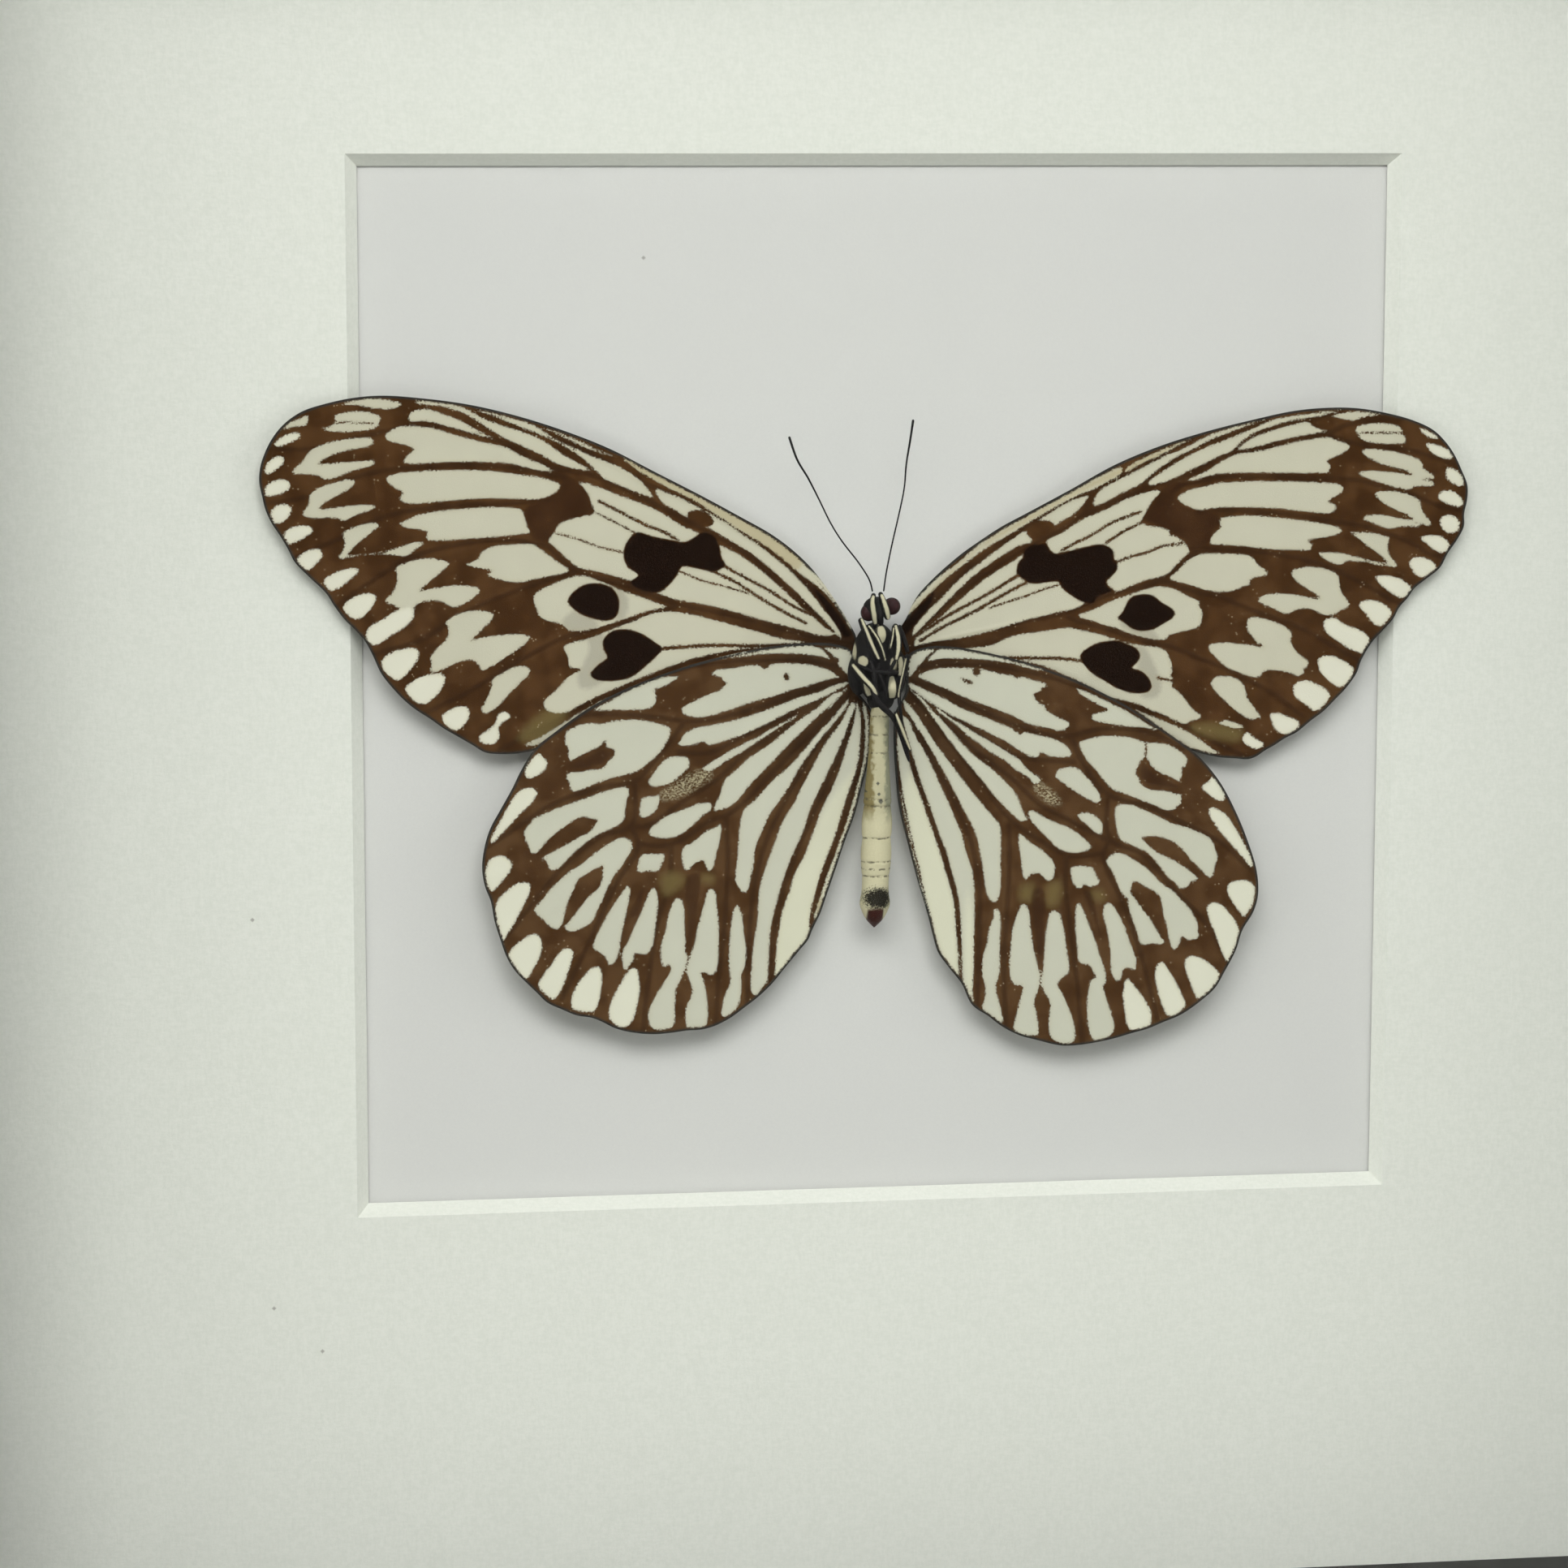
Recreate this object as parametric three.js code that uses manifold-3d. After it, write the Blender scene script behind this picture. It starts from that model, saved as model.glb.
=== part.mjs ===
// A butterfly set belly-forward in a square shadow-box frame, behind glass and in front of a pale mat.
// Millimetres. +X right, +Z up, and the glass faces -Y. The origin is the middle of the frame's base.

import * as THREE from 'three';
import { mergeVertices } from 'three/addons/utils/BufferGeometryUtils.js';
import Module from 'manifold-3d';

const wasm = await Module();
wasm.setup();

// ---- driving dimensions ----

const GAP = 0.3; // clear space between pieces that touch
const OPENING = 200; // side of the square opening in the front of the frame
const RAIL_WIDTH = 18; // face of a rail, seen from the front
const RAIL_DEPTH = 40; // front face to back face
const RABBET = 5; // how far the lip covers the glass
const LIP = 4; // thickness of the lip in front of the glass
const EDGE_ROUND = 2; // rounding of the outer front edge
const LIP_CHAMFER = 1.2; // small slope at the opening

const GLASS = 2;
const SPACER = 21.4; // depth of the strips that hold the mat away from the glass
const SPACER_THICK = 3.1;
const MAT = 1.3; // mat board, with a 45 degree bevel round its window
const WINDOW = 115; // side of the mat's window at its front face
const BACKING = 2;
const BACK_PANEL = 3;

const TAB = { length: 12, width: 8, thick: 0.6, along: 62 }; // metal tabs that hold the back panel in
const HANGER = { length: 44, height: 9, thick: 1, teeth: 9, tooth: 1.4, below_top: 32 };
const NAIL = { head_radius: 2.2, head: 0.7, inset: 4 };

const WING_THICK = 0.3;
const FOREWING_ROOT = -0.6; // heights are measured forward from the mat's front face
const HINDWING_ROOT = 0.2;
const WING_RISE = 0.034; // the wings climb this much for each millimetre away from the body
const HINDWING_TAIL_RISE = 0.03; // and the hindwings this much more for each millimetre below the body
const BODY_MIDDLE = -0.75; // the body stands a little left of the window's centre
const ANTENNA_RADIUS = 0.12;
const LEG_RADIUS = 0.26;

// ---- places that follow from them ----

const RABBET_HALF = OPENING / 2 + RABBET; // from the centre to the rabbet's wall
const INSERT_HALF = RABBET_HALF - GAP; // half the side of the glass, mat and boards
const OUTER = OPENING + 2 * RAIL_WIDTH;
const CENTRE_Z = OUTER / 2;
const FRONT_Y = -RAIL_DEPTH / 2;
const GLASS_Y = FRONT_Y + LIP + GAP;
const SPACER_Y = GLASS_Y + GLASS + GAP;
const MAT_Y = SPACER_Y + SPACER + GAP;
const BACKING_Y = MAT_Y + MAT + GAP;
const BACK_PANEL_Y = BACKING_Y + BACKING + GAP;
const TAB_Y = BACK_PANEL_Y + BACK_PANEL + GAP;

// ---- materials ----

function finish(color, roughness, metalness = 0) {
  return new THREE.MeshStandardMaterial({ color, roughness, metalness });
}

const BLACK_WOOD = finish(0x1d1d1b, 0.45);
const CLEAR_GLASS = finish(0xe8f0ee, 0.05);
const BLACK_BOARD = finish(0x24241f, 0.8);
const MAT_BOARD = finish(0xe2e6dc, 0.9);
const BACKING_PAPER = finish(0xd6d9d6, 0.9);
const HARDBOARD = finish(0x6b4a30, 0.85);
const STEEL = finish(0xb8b8b4, 0.35, 1);
const WING = finish(0xd8d6c0, 0.7);
const BLACK_CHITIN = finish(0x1c1a1a, 0.55);
const CREAM_CHITIN = finish(0xd9d3b4, 0.7);

// ---- helpers ----

const part = new THREE.Group();

function add(name, geometry, material) {
  const mesh = new THREE.Mesh(geometry, material);
  mesh.name = name;
  part.add(mesh);
}

// A plate with its middle on the window's centre line, its front face at frontY.
function plate(width, height, thick, frontY, x = 0, z = CENTRE_Z) {
  return new THREE.BoxGeometry(width, thick, height).translate(x, frontY + thick / 2, z);
}

// A place on the specimen: x and y from the window's centre, and the height in front of the mat.
function place(x, y, height) {
  return new THREE.Vector3(x, MAT_Y - height, CENTRE_Z + y);
}

function toManifold(geometry) {
  const bare = geometry.clone();
  bare.deleteAttribute('normal');
  bare.deleteAttribute('uv');
  const merged = mergeVertices(bare, 1e-4);
  return new wasm.Manifold(
    new wasm.Mesh({
      numProp: 3,
      vertProperties: new Float32Array(merged.attributes.position.array),
      triVerts: new Uint32Array(merged.index.array),
    }),
  );
}

function toGeometry(solid) {
  const mesh = solid.getMesh();
  const geometry = new THREE.BufferGeometry();
  geometry.setAttribute('position', new THREE.BufferAttribute(new Float32Array(mesh.vertProperties), 3));
  geometry.setIndex(new THREE.BufferAttribute(new Uint32Array(mesh.triVerts), 1));
  return geometry;
}

function join(geometries) {
  return toGeometry(geometries.map(toManifold).reduce((whole, next) => whole.add(next)));
}

// A round rod along a smooth curve through the given places.
function rod(places, radius, steps, sides) {
  const section = new THREE.Shape();
  for (let i = 0; i < sides; i += 1) {
    const turn = (2 * Math.PI * i) / sides;
    const x = radius * Math.cos(turn);
    const y = radius * Math.sin(turn);
    if (i === 0) section.moveTo(x, y);
    else section.lineTo(x, y);
  }
  const path = new THREE.CatmullRomCurve3(places.map((p) => place(...p)));
  return new THREE.ExtrudeGeometry(section, { steps, bevelEnabled: false, extrudePath: path });
}

// An egg shape with its three half-lengths along x, y and height.
function egg([x, y, height], [halfX, halfY, halfHeight], around = 20, along = 14) {
  const centre = place(x, y, height);
  return new THREE.SphereGeometry(1, around, along)
    .scale(halfX, halfHeight, halfY)
    .translate(centre.x, centre.y, centre.z);
}

// ---- the frame ----

// The section of a rail: u runs outward from the opening, and the depth from the front face.
function railSection() {
  const section = new THREE.Shape();
  section.moveTo(0, LIP);
  section.lineTo(0, LIP_CHAMFER);
  section.lineTo(LIP_CHAMFER, 0);
  section.lineTo(RAIL_WIDTH - EDGE_ROUND, 0);
  section.absarc(RAIL_WIDTH - EDGE_ROUND, EDGE_ROUND, EDGE_ROUND, -Math.PI / 2, 0, false);
  section.lineTo(RAIL_WIDTH, RAIL_DEPTH);
  section.lineTo(RABBET, RAIL_DEPTH);
  section.lineTo(RABBET, LIP);
  section.closePath();
  return section;
}

// A rail is its section drawn along one side, with each end sloped to a 45 degree mitre.
function rail(turn) {
  const options = { depth: 2, curveSegments: 4, bevelEnabled: false };
  const geometry = new THREE.ExtrudeGeometry(railSection(), options);
  const position = geometry.attributes.position;
  for (let i = 0; i < position.count; i += 1) {
    const u = position.getX(i);
    const depth = position.getY(i);
    const end = position.getZ(i) - 1;
    const halfLength = OPENING / 2 + u - GAP / 2;
    position.setXYZ(i, -end * halfLength, FRONT_Y + depth, OPENING / 2 + u);
  }
  return geometry.rotateY(turn).translate(0, 0, CENTRE_Z);
}

function addFrame() {
  add('rail_top', rail(0), BLACK_WOOD);
  add('rail_right', rail(Math.PI / 2), BLACK_WOOD);
  add('rail_bottom', rail(Math.PI), BLACK_WOOD);
  add('rail_left', rail(-Math.PI / 2), BLACK_WOOD);
}

// Four strips stand on edge round the display space, between the glass and the mat.
function addSpacers() {
  const across = INSERT_HALF - SPACER_THICK / 2;
  const full = 2 * INSERT_HALF;
  const between = full - 2 * (SPACER_THICK + GAP);
  for (const [name, side] of [['spacer_top', 1], ['spacer_bottom', -1]]) {
    add(name, plate(full, SPACER_THICK, SPACER, SPACER_Y, 0, CENTRE_Z + side * across), BLACK_BOARD);
  }
  for (const [name, side] of [['spacer_left', -1], ['spacer_right', 1]]) {
    add(name, plate(SPACER_THICK, between, SPACER, SPACER_Y, side * across), BLACK_BOARD);
  }
}

// The window is cut through the mat as a four-sided cone, so that its bevel shows from the front.
function matBoard() {
  const board = plate(2 * INSERT_HALF, 2 * INSERT_HALF, MAT, MAT_Y);
  const over = 1;
  const front = (WINDOW / 2 + over) * Math.SQRT2;
  const back = (WINDOW / 2 - MAT - over) * Math.SQRT2;
  const cutter = new THREE.CylinderGeometry(back, front, MAT + 2 * over, 4)
    .rotateY(Math.PI / 4)
    .translate(0, MAT_Y + MAT / 2, CENTRE_Z);
  return toGeometry(toManifold(board).subtract(toManifold(cutter)));
}

function addBoards() {
  const side = 2 * INSERT_HALF;
  add('glass', plate(side, side, GLASS, GLASS_Y), CLEAR_GLASS);
  add('mat', matBoard(), MAT_BOARD);
  add('backing_board', plate(side, side, BACKING, BACKING_Y), BACKING_PAPER);
  add('back_panel', plate(side, side, BACK_PANEL, BACK_PANEL_Y), HARDBOARD);
}

// ---- what holds the back in and hangs the frame ----

// Two tabs on each side reach out of the rabbet's wall over the back panel.
function addTabs() {
  const reach = RABBET_HALF - GAP - TAB.length / 2;
  for (const [side, turn] of [['top', 0], ['right', 1], ['bottom', 2], ['left', 3]]) {
    for (const [end, along] of [['a', -TAB.along], ['b', TAB.along]]) {
      const tab = new THREE.BoxGeometry(TAB.width, TAB.thick, TAB.length)
        .translate(along, TAB_Y + TAB.thick / 2, reach)
        .rotateY((turn * Math.PI) / 2)
        .translate(0, 0, CENTRE_Z);
      add(`tab_${side}_${end}`, tab, STEEL);
    }
  }
}

// A bar with a row of notches along its lower edge.
function hangerPlate() {
  const outline = new THREE.Shape();
  const left = -HANGER.length / 2;
  const toothed = HANGER.length - 4 * NAIL.inset;
  const pitch = toothed / HANGER.teeth;
  outline.moveTo(left, HANGER.height);
  outline.lineTo(left, 0);
  for (let i = 0; i < HANGER.teeth; i += 1) {
    const x = -toothed / 2 + i * pitch;
    outline.lineTo(x, 0);
    outline.lineTo(x + pitch / 2, HANGER.tooth);
  }
  outline.lineTo(toothed / 2, 0);
  outline.lineTo(-left, 0);
  outline.lineTo(-left, HANGER.height);
  outline.closePath();
  const z = OUTER - RAIL_WIDTH - HANGER.below_top;
  return new THREE.ExtrudeGeometry(outline, { depth: HANGER.thick, bevelEnabled: false })
    .rotateX(Math.PI / 2)
    .translate(0, TAB_Y + HANGER.thick, z);
}

function addHanger() {
  add('hanger', hangerPlate(), STEEL);
  const z = OUTER - RAIL_WIDTH - HANGER.below_top + HANGER.height / 2;
  const y = TAB_Y + HANGER.thick + GAP + NAIL.head / 2;
  for (const [name, side] of [['hanger_nail_left', -1], ['hanger_nail_right', 1]]) {
    const x = side * (HANGER.length / 2 - NAIL.inset);
    const nail = new THREE.CylinderGeometry(NAIL.head_radius, NAIL.head_radius, NAIL.head, 16);
    add(name, nail.translate(x, y, z), STEEL);
  }
}

// ---- the wings ----

// Each outline runs once round its wing: the root, the front edge, the outer edge and back.
const FOREWING_LEFT = {
  middle: [-36, 12],
  edge: [
    [-3.7, 4.4], [-3.7, 5.8], [-4.2, 7.2], [-5.6, 9.8], [-8, 13.1], [-10, 15.1], [-12.5, 17], [-16, 19],
    [-20, 21.2], [-25, 23.8], [-30, 26.4], [-35, 28.4], [-40, 30], [-45, 31.2], [-50, 31.9], [-54, 32.2],
    [-57, 32], [-60, 31.4], [-62.5, 30.6], [-64.3, 29.4], [-65.6, 27.9], [-66.5, 26.2], [-67, 24.6],
    [-67.1, 23.2], [-66.8, 21.6], [-66.5, 20.3], [-65.9, 18.9], [-65, 17.5], [-64.2, 16.1], [-63.5, 14.7],
    [-62, 13.1], [-60.2, 11.3], [-59.4, 10], [-58.3, 8.5], [-57.3, 7.5], [-56.2, 6.2], [-55.4, 4.7],
    [-54.5, 2.7], [-53.3, 1.1], [-52, -0.3], [-50.8, -1.3], [-49.3, -2.3], [-47.8, -3.4], [-46.3, -4.3],
    [-44.8, -5.2], [-43.5, -6], [-42.1, -6.2], [-40.2, -6.2], [-37.5, -5.7], [-32, -3.6], [-24, -0.9],
    [-14, 1.8],
  ],
};

const FOREWING_RIGHT = {
  middle: [34, 11],
  edge: [
    [1.4, 4.2], [1.4, 5.8], [2.1, 7.6], [3.3, 10], [5, 11.9], [8, 14.5], [10, 15.9], [12.5, 17.5], [15, 18.8],
    [20, 21.4], [25, 24.1], [30, 26.1], [35, 27.6], [40, 28.8], [45, 29.8], [49, 30.1], [52, 30], [55, 29.5],
    [58, 28.7], [60.4, 27.6], [61.9, 26.2], [62.9, 24.8], [63.7, 23.2], [64.4, 21.5], [64.4, 19.9],
    [64.1, 18.4], [64.1, 17], [63.4, 15.6], [62.3, 14], [61.5, 12.5], [60, 11.3], [58.7, 10.3], [57.9, 9.2],
    [57, 8.2], [56.3, 6.9], [55.6, 6.1], [54, 4.4], [52.8, 2.4], [52.3, 1], [51, -0.8], [50.1, -1.7],
    [48.7, -3.1], [47.2, -4.2], [45.7, -5.4], [44.3, -6.1], [43.2, -6.8], [42.1, -7.4], [41.2, -8],
    [40.3, -8.3], [38.8, -8.2], [36.8, -8], [34.4, -7.4], [28, -5.2], [20, -2.6], [10, 0.6],
  ],
};

const HINDWING_LEFT = {
  middle: [-22, -16],
  edge: [
    [-4, 0.2], [-4, 2.6], [-4.2, 4.3], [-6, 5.1], [-9, 5.2], [-12.5, 4.9], [-16, 4.3], [-20, 3.4],
    [-24, 2.2], [-28, 0.7], [-31, -0.7], [-33.5, -2.2], [-36, -4], [-38.1, -5.7], [-39.6, -8], [-40.6, -10],
    [-41.9, -12.3], [-43, -14.3], [-43.6, -16.2], [-43.9, -18.6], [-43.6, -20.6], [-43, -22.2],
    [-42.6, -24.4], [-42, -26.4], [-41.3, -28.4], [-40.4, -29.9], [-39.1, -31.3], [-38.1, -32.3],
    [-37, -33.4], [-35.4, -34.2], [-33.8, -34.9], [-32.2, -35.2], [-31, -35.7], [-29.7, -36.4], [-28, -36.9],
    [-25.5, -37.2], [-23.5, -37.1], [-21.8, -36.9], [-20, -36.8], [-18.6, -36.4], [-17, -35.6],
    [-15.2, -34.3], [-14, -33.4], [-12.5, -32], [-11, -30.2], [-9.5, -28.4], [-8.5, -27.2], [-8, -26],
    [-7.2, -24.4], [-6.5, -22.4], [-5.5, -19.5], [-4.5, -16.5], [-3.6, -13.5], [-2.8, -10.8], [-2.1, -8],
    [-1.8, -5.5], [-1.8, -3.5], [-2.4, -1.5],
  ],
};

const HINDWING_RIGHT = {
  middle: [20, -18],
  edge: [
    [2.2, -0.1], [2.2, 1.8], [2.5, 3.8], [4.5, 4.6], [7, 4.6], [9.1, 4.3], [14.9, 2.9], [18.9, 1.5],
    [21.6, 0.4], [25, -1.3], [27.3, -2.6], [30.4, -4.7], [33.5, -6.9], [35.2, -8.4], [37.2, -10.9],
    [38.9, -14], [40.2, -17], [41.4, -20.7], [41.6, -23.4], [41.1, -25.3], [39.9, -27.3], [39.2, -29.5],
    [37.9, -32], [36.9, -33.7], [35.2, -35.2], [33.1, -36.6], [31.1, -37.4], [29.3, -38.1], [27.7, -38.5],
    [25, -39.2], [21.6, -39.7], [19.6, -39.7], [16.9, -39], [14.9, -38.4], [12.9, -37.3], [11.5, -36.2],
    [9.7, -34.9], [8.5, -32.5], [7.1, -30.7], [5.9, -29], [5.3, -27.1], [4.8, -25.1], [3.7, -21.4],
    [2.7, -17.3], [1.8, -12.9], [1.3, -8.2], [1.1, -4.8], [1.4, -2.6],
  ],
};

function forewingHeight(x) {
  return FOREWING_ROOT + WING_RISE * Math.abs(x - BODY_MIDDLE);
}

function hindwingHeight(x, y) {
  return HINDWING_ROOT + WING_RISE * Math.abs(x - BODY_MIDDLE) + HINDWING_TAIL_RISE * Math.max(0, -y);
}

// The wings' outlines are drawn as they look from one place in front of the frame, against a plane 4 mm
// up. A point at another height lies along its line of sight.
const SIGHT = { foot: [-83.6, 62.2], away: 503.94, plane: 4 };

function placeInSight(x, y, height, lift) {
  const [footX, footY] = SIGHT.foot;
  const spread = (SIGHT.away - height) / (SIGHT.away - SIGHT.plane);
  return place(footX + (x - footX) * spread, footY + (y - footY) * spread, height + lift);
}

// A thin shell: rings of points step from the wing's middle out to its edge, once for each face.
function wing({ middle, edge }, heightAt, rings = 4, around = 64) {
  const corners = edge.map(([x, y]) => new THREE.Vector3(x, y, 0));
  const curve = new THREE.CatmullRomCurve3(corners, true, 'centripetal');
  const rim = curve.getSpacedPoints(around).slice(0, around);
  if (THREE.ShapeUtils.isClockWise(rim)) rim.reverse();
  const points = [];
  const faces = [];
  const face = (a, b, c) => faces.push(a, b, c);
  const layers = [WING_THICK / 2, -WING_THICK / 2].map((lift) => {
    const start = points.length / 3;
    const [mx, my] = middle;
    points.push(...placeInSight(mx, my, heightAt(mx, my), lift).toArray());
    for (let ring = 1; ring <= rings; ring += 1) {
      for (const corner of rim) {
        const x = mx + ((corner.x - mx) * ring) / rings;
        const y = my + ((corner.y - my) * ring) / rings;
        points.push(...placeInSight(x, y, heightAt(x, y), lift).toArray());
      }
    }
    return start;
  });
  const at = (layer, ring, i) => layers[layer] + 1 + (ring - 1) * around + (i % around);
  for (let i = 0; i < around; i += 1) {
    face(layers[0], at(0, 1, i), at(0, 1, i + 1));
    face(layers[1], at(1, 1, i + 1), at(1, 1, i));
    for (let ring = 1; ring < rings; ring += 1) {
      face(at(0, ring, i), at(0, ring + 1, i), at(0, ring + 1, i + 1));
      face(at(0, ring, i), at(0, ring + 1, i + 1), at(0, ring, i + 1));
      face(at(1, ring, i), at(1, ring + 1, i + 1), at(1, ring + 1, i));
      face(at(1, ring, i), at(1, ring, i + 1), at(1, ring + 1, i + 1));
    }
    face(at(0, rings, i), at(1, rings, i), at(1, rings, i + 1));
    face(at(0, rings, i), at(1, rings, i + 1), at(0, rings, i + 1));
  }
  const geometry = new THREE.BufferGeometry();
  geometry.setAttribute('position', new THREE.Float32BufferAttribute(points, 3));
  geometry.setIndex(faces);
  return geometry;
}

function addWings() {
  add('forewing_left', wing(FOREWING_LEFT, forewingHeight), WING);
  add('forewing_right', wing(FOREWING_RIGHT, forewingHeight), WING);
  add('hindwing_left', wing(HINDWING_LEFT, hindwingHeight), WING);
  add('hindwing_right', wing(HINDWING_RIGHT, hindwingHeight), WING);
}

// ---- the body ----

// The skull, two round eyes and the two upturned palps between them grew as one piece.
function head() {
  return join([
    egg([-0.85, 8.8, 2.6], [1.45, 1.2, 1.3], 16, 10),
    egg([-2, 8.5, 2.7], [0.85, 0.9, 0.85], 14, 8),
    egg([0.45, 8.9, 2.7], [0.95, 0.95, 0.95], 14, 8),
    rod([[-1.35, 7.7, 3.9], [-1.6, 9.1, 4], [-1.3, 10.4, 3.5]], 0.36, 5, 8),
    rod([[-0.05, 7.7, 3.9], [-0.4, 9.1, 4], [-0.75, 10.4, 3.5]], 0.36, 5, 8),
  ]);
}

// Half-width of the abdomen at each distance behind its root, swelling and pinched between its rings.
const ABDOMEN = { root: [-0.75, -1.7, 2.4], tip: [-1.05, -26.35, 2.4] };
const ABDOMEN_RADII = [
  [0, 0], [0, 0.75], [1, 1.1], [2.4, 1.2], [5, 1.15], [8, 1.25], [10.7, 1.3], [11.1, 1.25], [12.8, 1.5],
  [14.4, 1.6], [14.8, 1.55], [16, 1.7], [17.2, 1.6], [18.3, 1.6], [19.3, 1.5], [20.8, 1.5], [22, 1.6],
  [22.8, 1.4], [23.8, 0.8], [24.65, 0],
];

function abdomen() {
  const root = place(...ABDOMEN.root);
  const tip = place(...ABDOMEN.tip);
  const along = tip.clone().sub(root);
  const profile = ABDOMEN_RADII.map(([distance, radius]) => new THREE.Vector2(radius, -distance));
  const turn = new THREE.Quaternion().setFromUnitVectors(new THREE.Vector3(0, -1, 0), along.normalize());
  const shell = new THREE.LatheGeometry(profile.reverse(), 16);
  return shell.applyQuaternion(turn).translate(root.x, root.y, root.z);
}

// Four walking legs, folded over the chest: thigh, shin and foot of each in one line of places.
const LEGS = {
  leg_left_middle: [
    [-2.8, 7.3, 3.8], [-2.2, 6, 4.6], [-1.5, 4.4, 4.9], [-0.9, 3.1, 5], [-1.3, 1.2, 4.9], [-1, -0.6, 4.4],
  ],
  leg_right_middle: [
    [0.95, 7.3, 3.8], [1.15, 5.8, 4.5], [1.1, 4.4, 4.7], [0.7, 3.1, 4.9], [0, 1.6, 4.9], [-0.1, -0.4, 4.6],
  ],
  leg_left_hind: [
    [-3.4, 2.9, 3.4], [-2.7, 1.9, 4.6], [-1.9, 0.5, 5.6], [-1, -1, 5.6], [0.2, -2.2, 5], [1.2, -4, 4.4],
    [2, -6, 3.8], [2.4, -7.2, 3.4],
  ],
  leg_right_hind: [
    [1.8, 6.6, 3], [2.2, 5.4, 3.4], [2.4, 3.9, 3.6], [2, 2.2, 3.8], [1.6, 0.3, 4], [1.4, -1.8, 4.1],
    [1.9, -4.2, 3.2], [2.7, -6.6, 2.4],
  ],
};

// Long thin feelers from the crown of the head.
const ANTENNAE = {
  antenna_left: [
    [-1.4, 11.1, 3.2], [-1.7, 11.8, 3.2], [-2.8, 13.6, 3.2], [-4.8, 16.2, 3.2], [-6, 18.1, 3.3],
    [-7.3, 20.7, 3.4], [-8.5, 23, 3.5], [-9.7, 25, 3.6], [-10.6, 27.5, 3.7],
  ],
  antenna_right: [
    [-0.2, 11.1, 3.2], [0.1, 12.6, 3.2], [0.7, 15.6, 3.2], [1.5, 19.2, 3.3], [2, 21.8, 3.4],
    [2.2, 24.4, 3.5], [2.6, 27, 3.6], [2.9, 29.2, 3.7],
  ],
};

function addBody() {
  add('head', head(), BLACK_CHITIN);
  add('thorax', egg([BODY_MIDDLE, 2.9, 1.5], [2.6, 4.2, 2.8]), BLACK_CHITIN);
  add('abdomen', abdomen(), CREAM_CHITIN);
  for (const [name, places] of Object.entries(ANTENNAE)) {
    add(name, rod(places, ANTENNA_RADIUS, 20, 6), BLACK_CHITIN);
  }
  for (const [name, places] of Object.entries(LEGS)) {
    add(name, rod(places, LEG_RADIUS, 14, 6), BLACK_CHITIN);
  }
}

addFrame();
addSpacers();
addBoards();
addTabs();
addHanger();
addWings();
addBody();

export default part;
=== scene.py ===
"""Looks of the framed butterfly: wings, body, frame, mat and glass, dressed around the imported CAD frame.

The specimen is laid out in millimetres on the mat's front plane: x to the right and y up from the
middle of its window, and height h forward from the plane, towards the glass.
"""

import math

import bpy
import numpy as np
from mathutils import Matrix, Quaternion, Vector


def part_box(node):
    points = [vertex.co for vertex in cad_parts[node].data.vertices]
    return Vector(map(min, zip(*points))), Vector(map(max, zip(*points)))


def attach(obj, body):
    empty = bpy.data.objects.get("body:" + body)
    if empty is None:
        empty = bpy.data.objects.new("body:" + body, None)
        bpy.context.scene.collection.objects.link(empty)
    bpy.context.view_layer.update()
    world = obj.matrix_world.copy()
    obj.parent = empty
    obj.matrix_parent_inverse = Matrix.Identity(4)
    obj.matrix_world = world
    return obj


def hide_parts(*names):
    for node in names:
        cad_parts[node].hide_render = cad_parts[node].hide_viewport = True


MM = 0.001

# ---- driving dimensions, in millimetres ----

WING_THICK = 0.16
FOREWING_ROOT = -0.6
HINDWING_ROOT = 0.2
WING_RISE = 0.034  # how fast a wing climbs away from the body
HINDWING_TAIL_RISE = 0.03
BODY_MIDDLE = -0.75

CAMERA_AT = (-83.6, 62.2, 503.9)  # x, y and height of the lens
CAMERA_LOOKS_AT = (-10.54, -10.67, 0.0)
CAMERA_ROLL = 0.05  # degrees
FOCAL_PIXELS = 5811.0
IMAGE_PIXELS = 1932.0
SENSOR = 36.0

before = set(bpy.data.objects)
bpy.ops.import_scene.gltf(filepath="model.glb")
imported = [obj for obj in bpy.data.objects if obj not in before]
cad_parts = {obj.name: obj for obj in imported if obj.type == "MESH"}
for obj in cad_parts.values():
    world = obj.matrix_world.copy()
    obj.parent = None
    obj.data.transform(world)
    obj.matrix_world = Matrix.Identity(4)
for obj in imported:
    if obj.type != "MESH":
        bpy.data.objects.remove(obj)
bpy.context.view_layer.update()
MAT_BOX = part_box("mat")
MAT_FRONT = MAT_BOX[0][1]
WINDOW_Z = (MAT_BOX[0][2] + MAT_BOX[1][2]) / 2


def place(x, y, h):
    """World places in metres of specimen coordinates in millimetres: h goes forward, against +Y."""
    x, y, h = np.broadcast_arrays(x, y, h)
    return np.stack([x * MM, MAT_FRONT - h * MM, WINDOW_Z + y * MM], axis=-1)


# ---- curves ----


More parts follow.
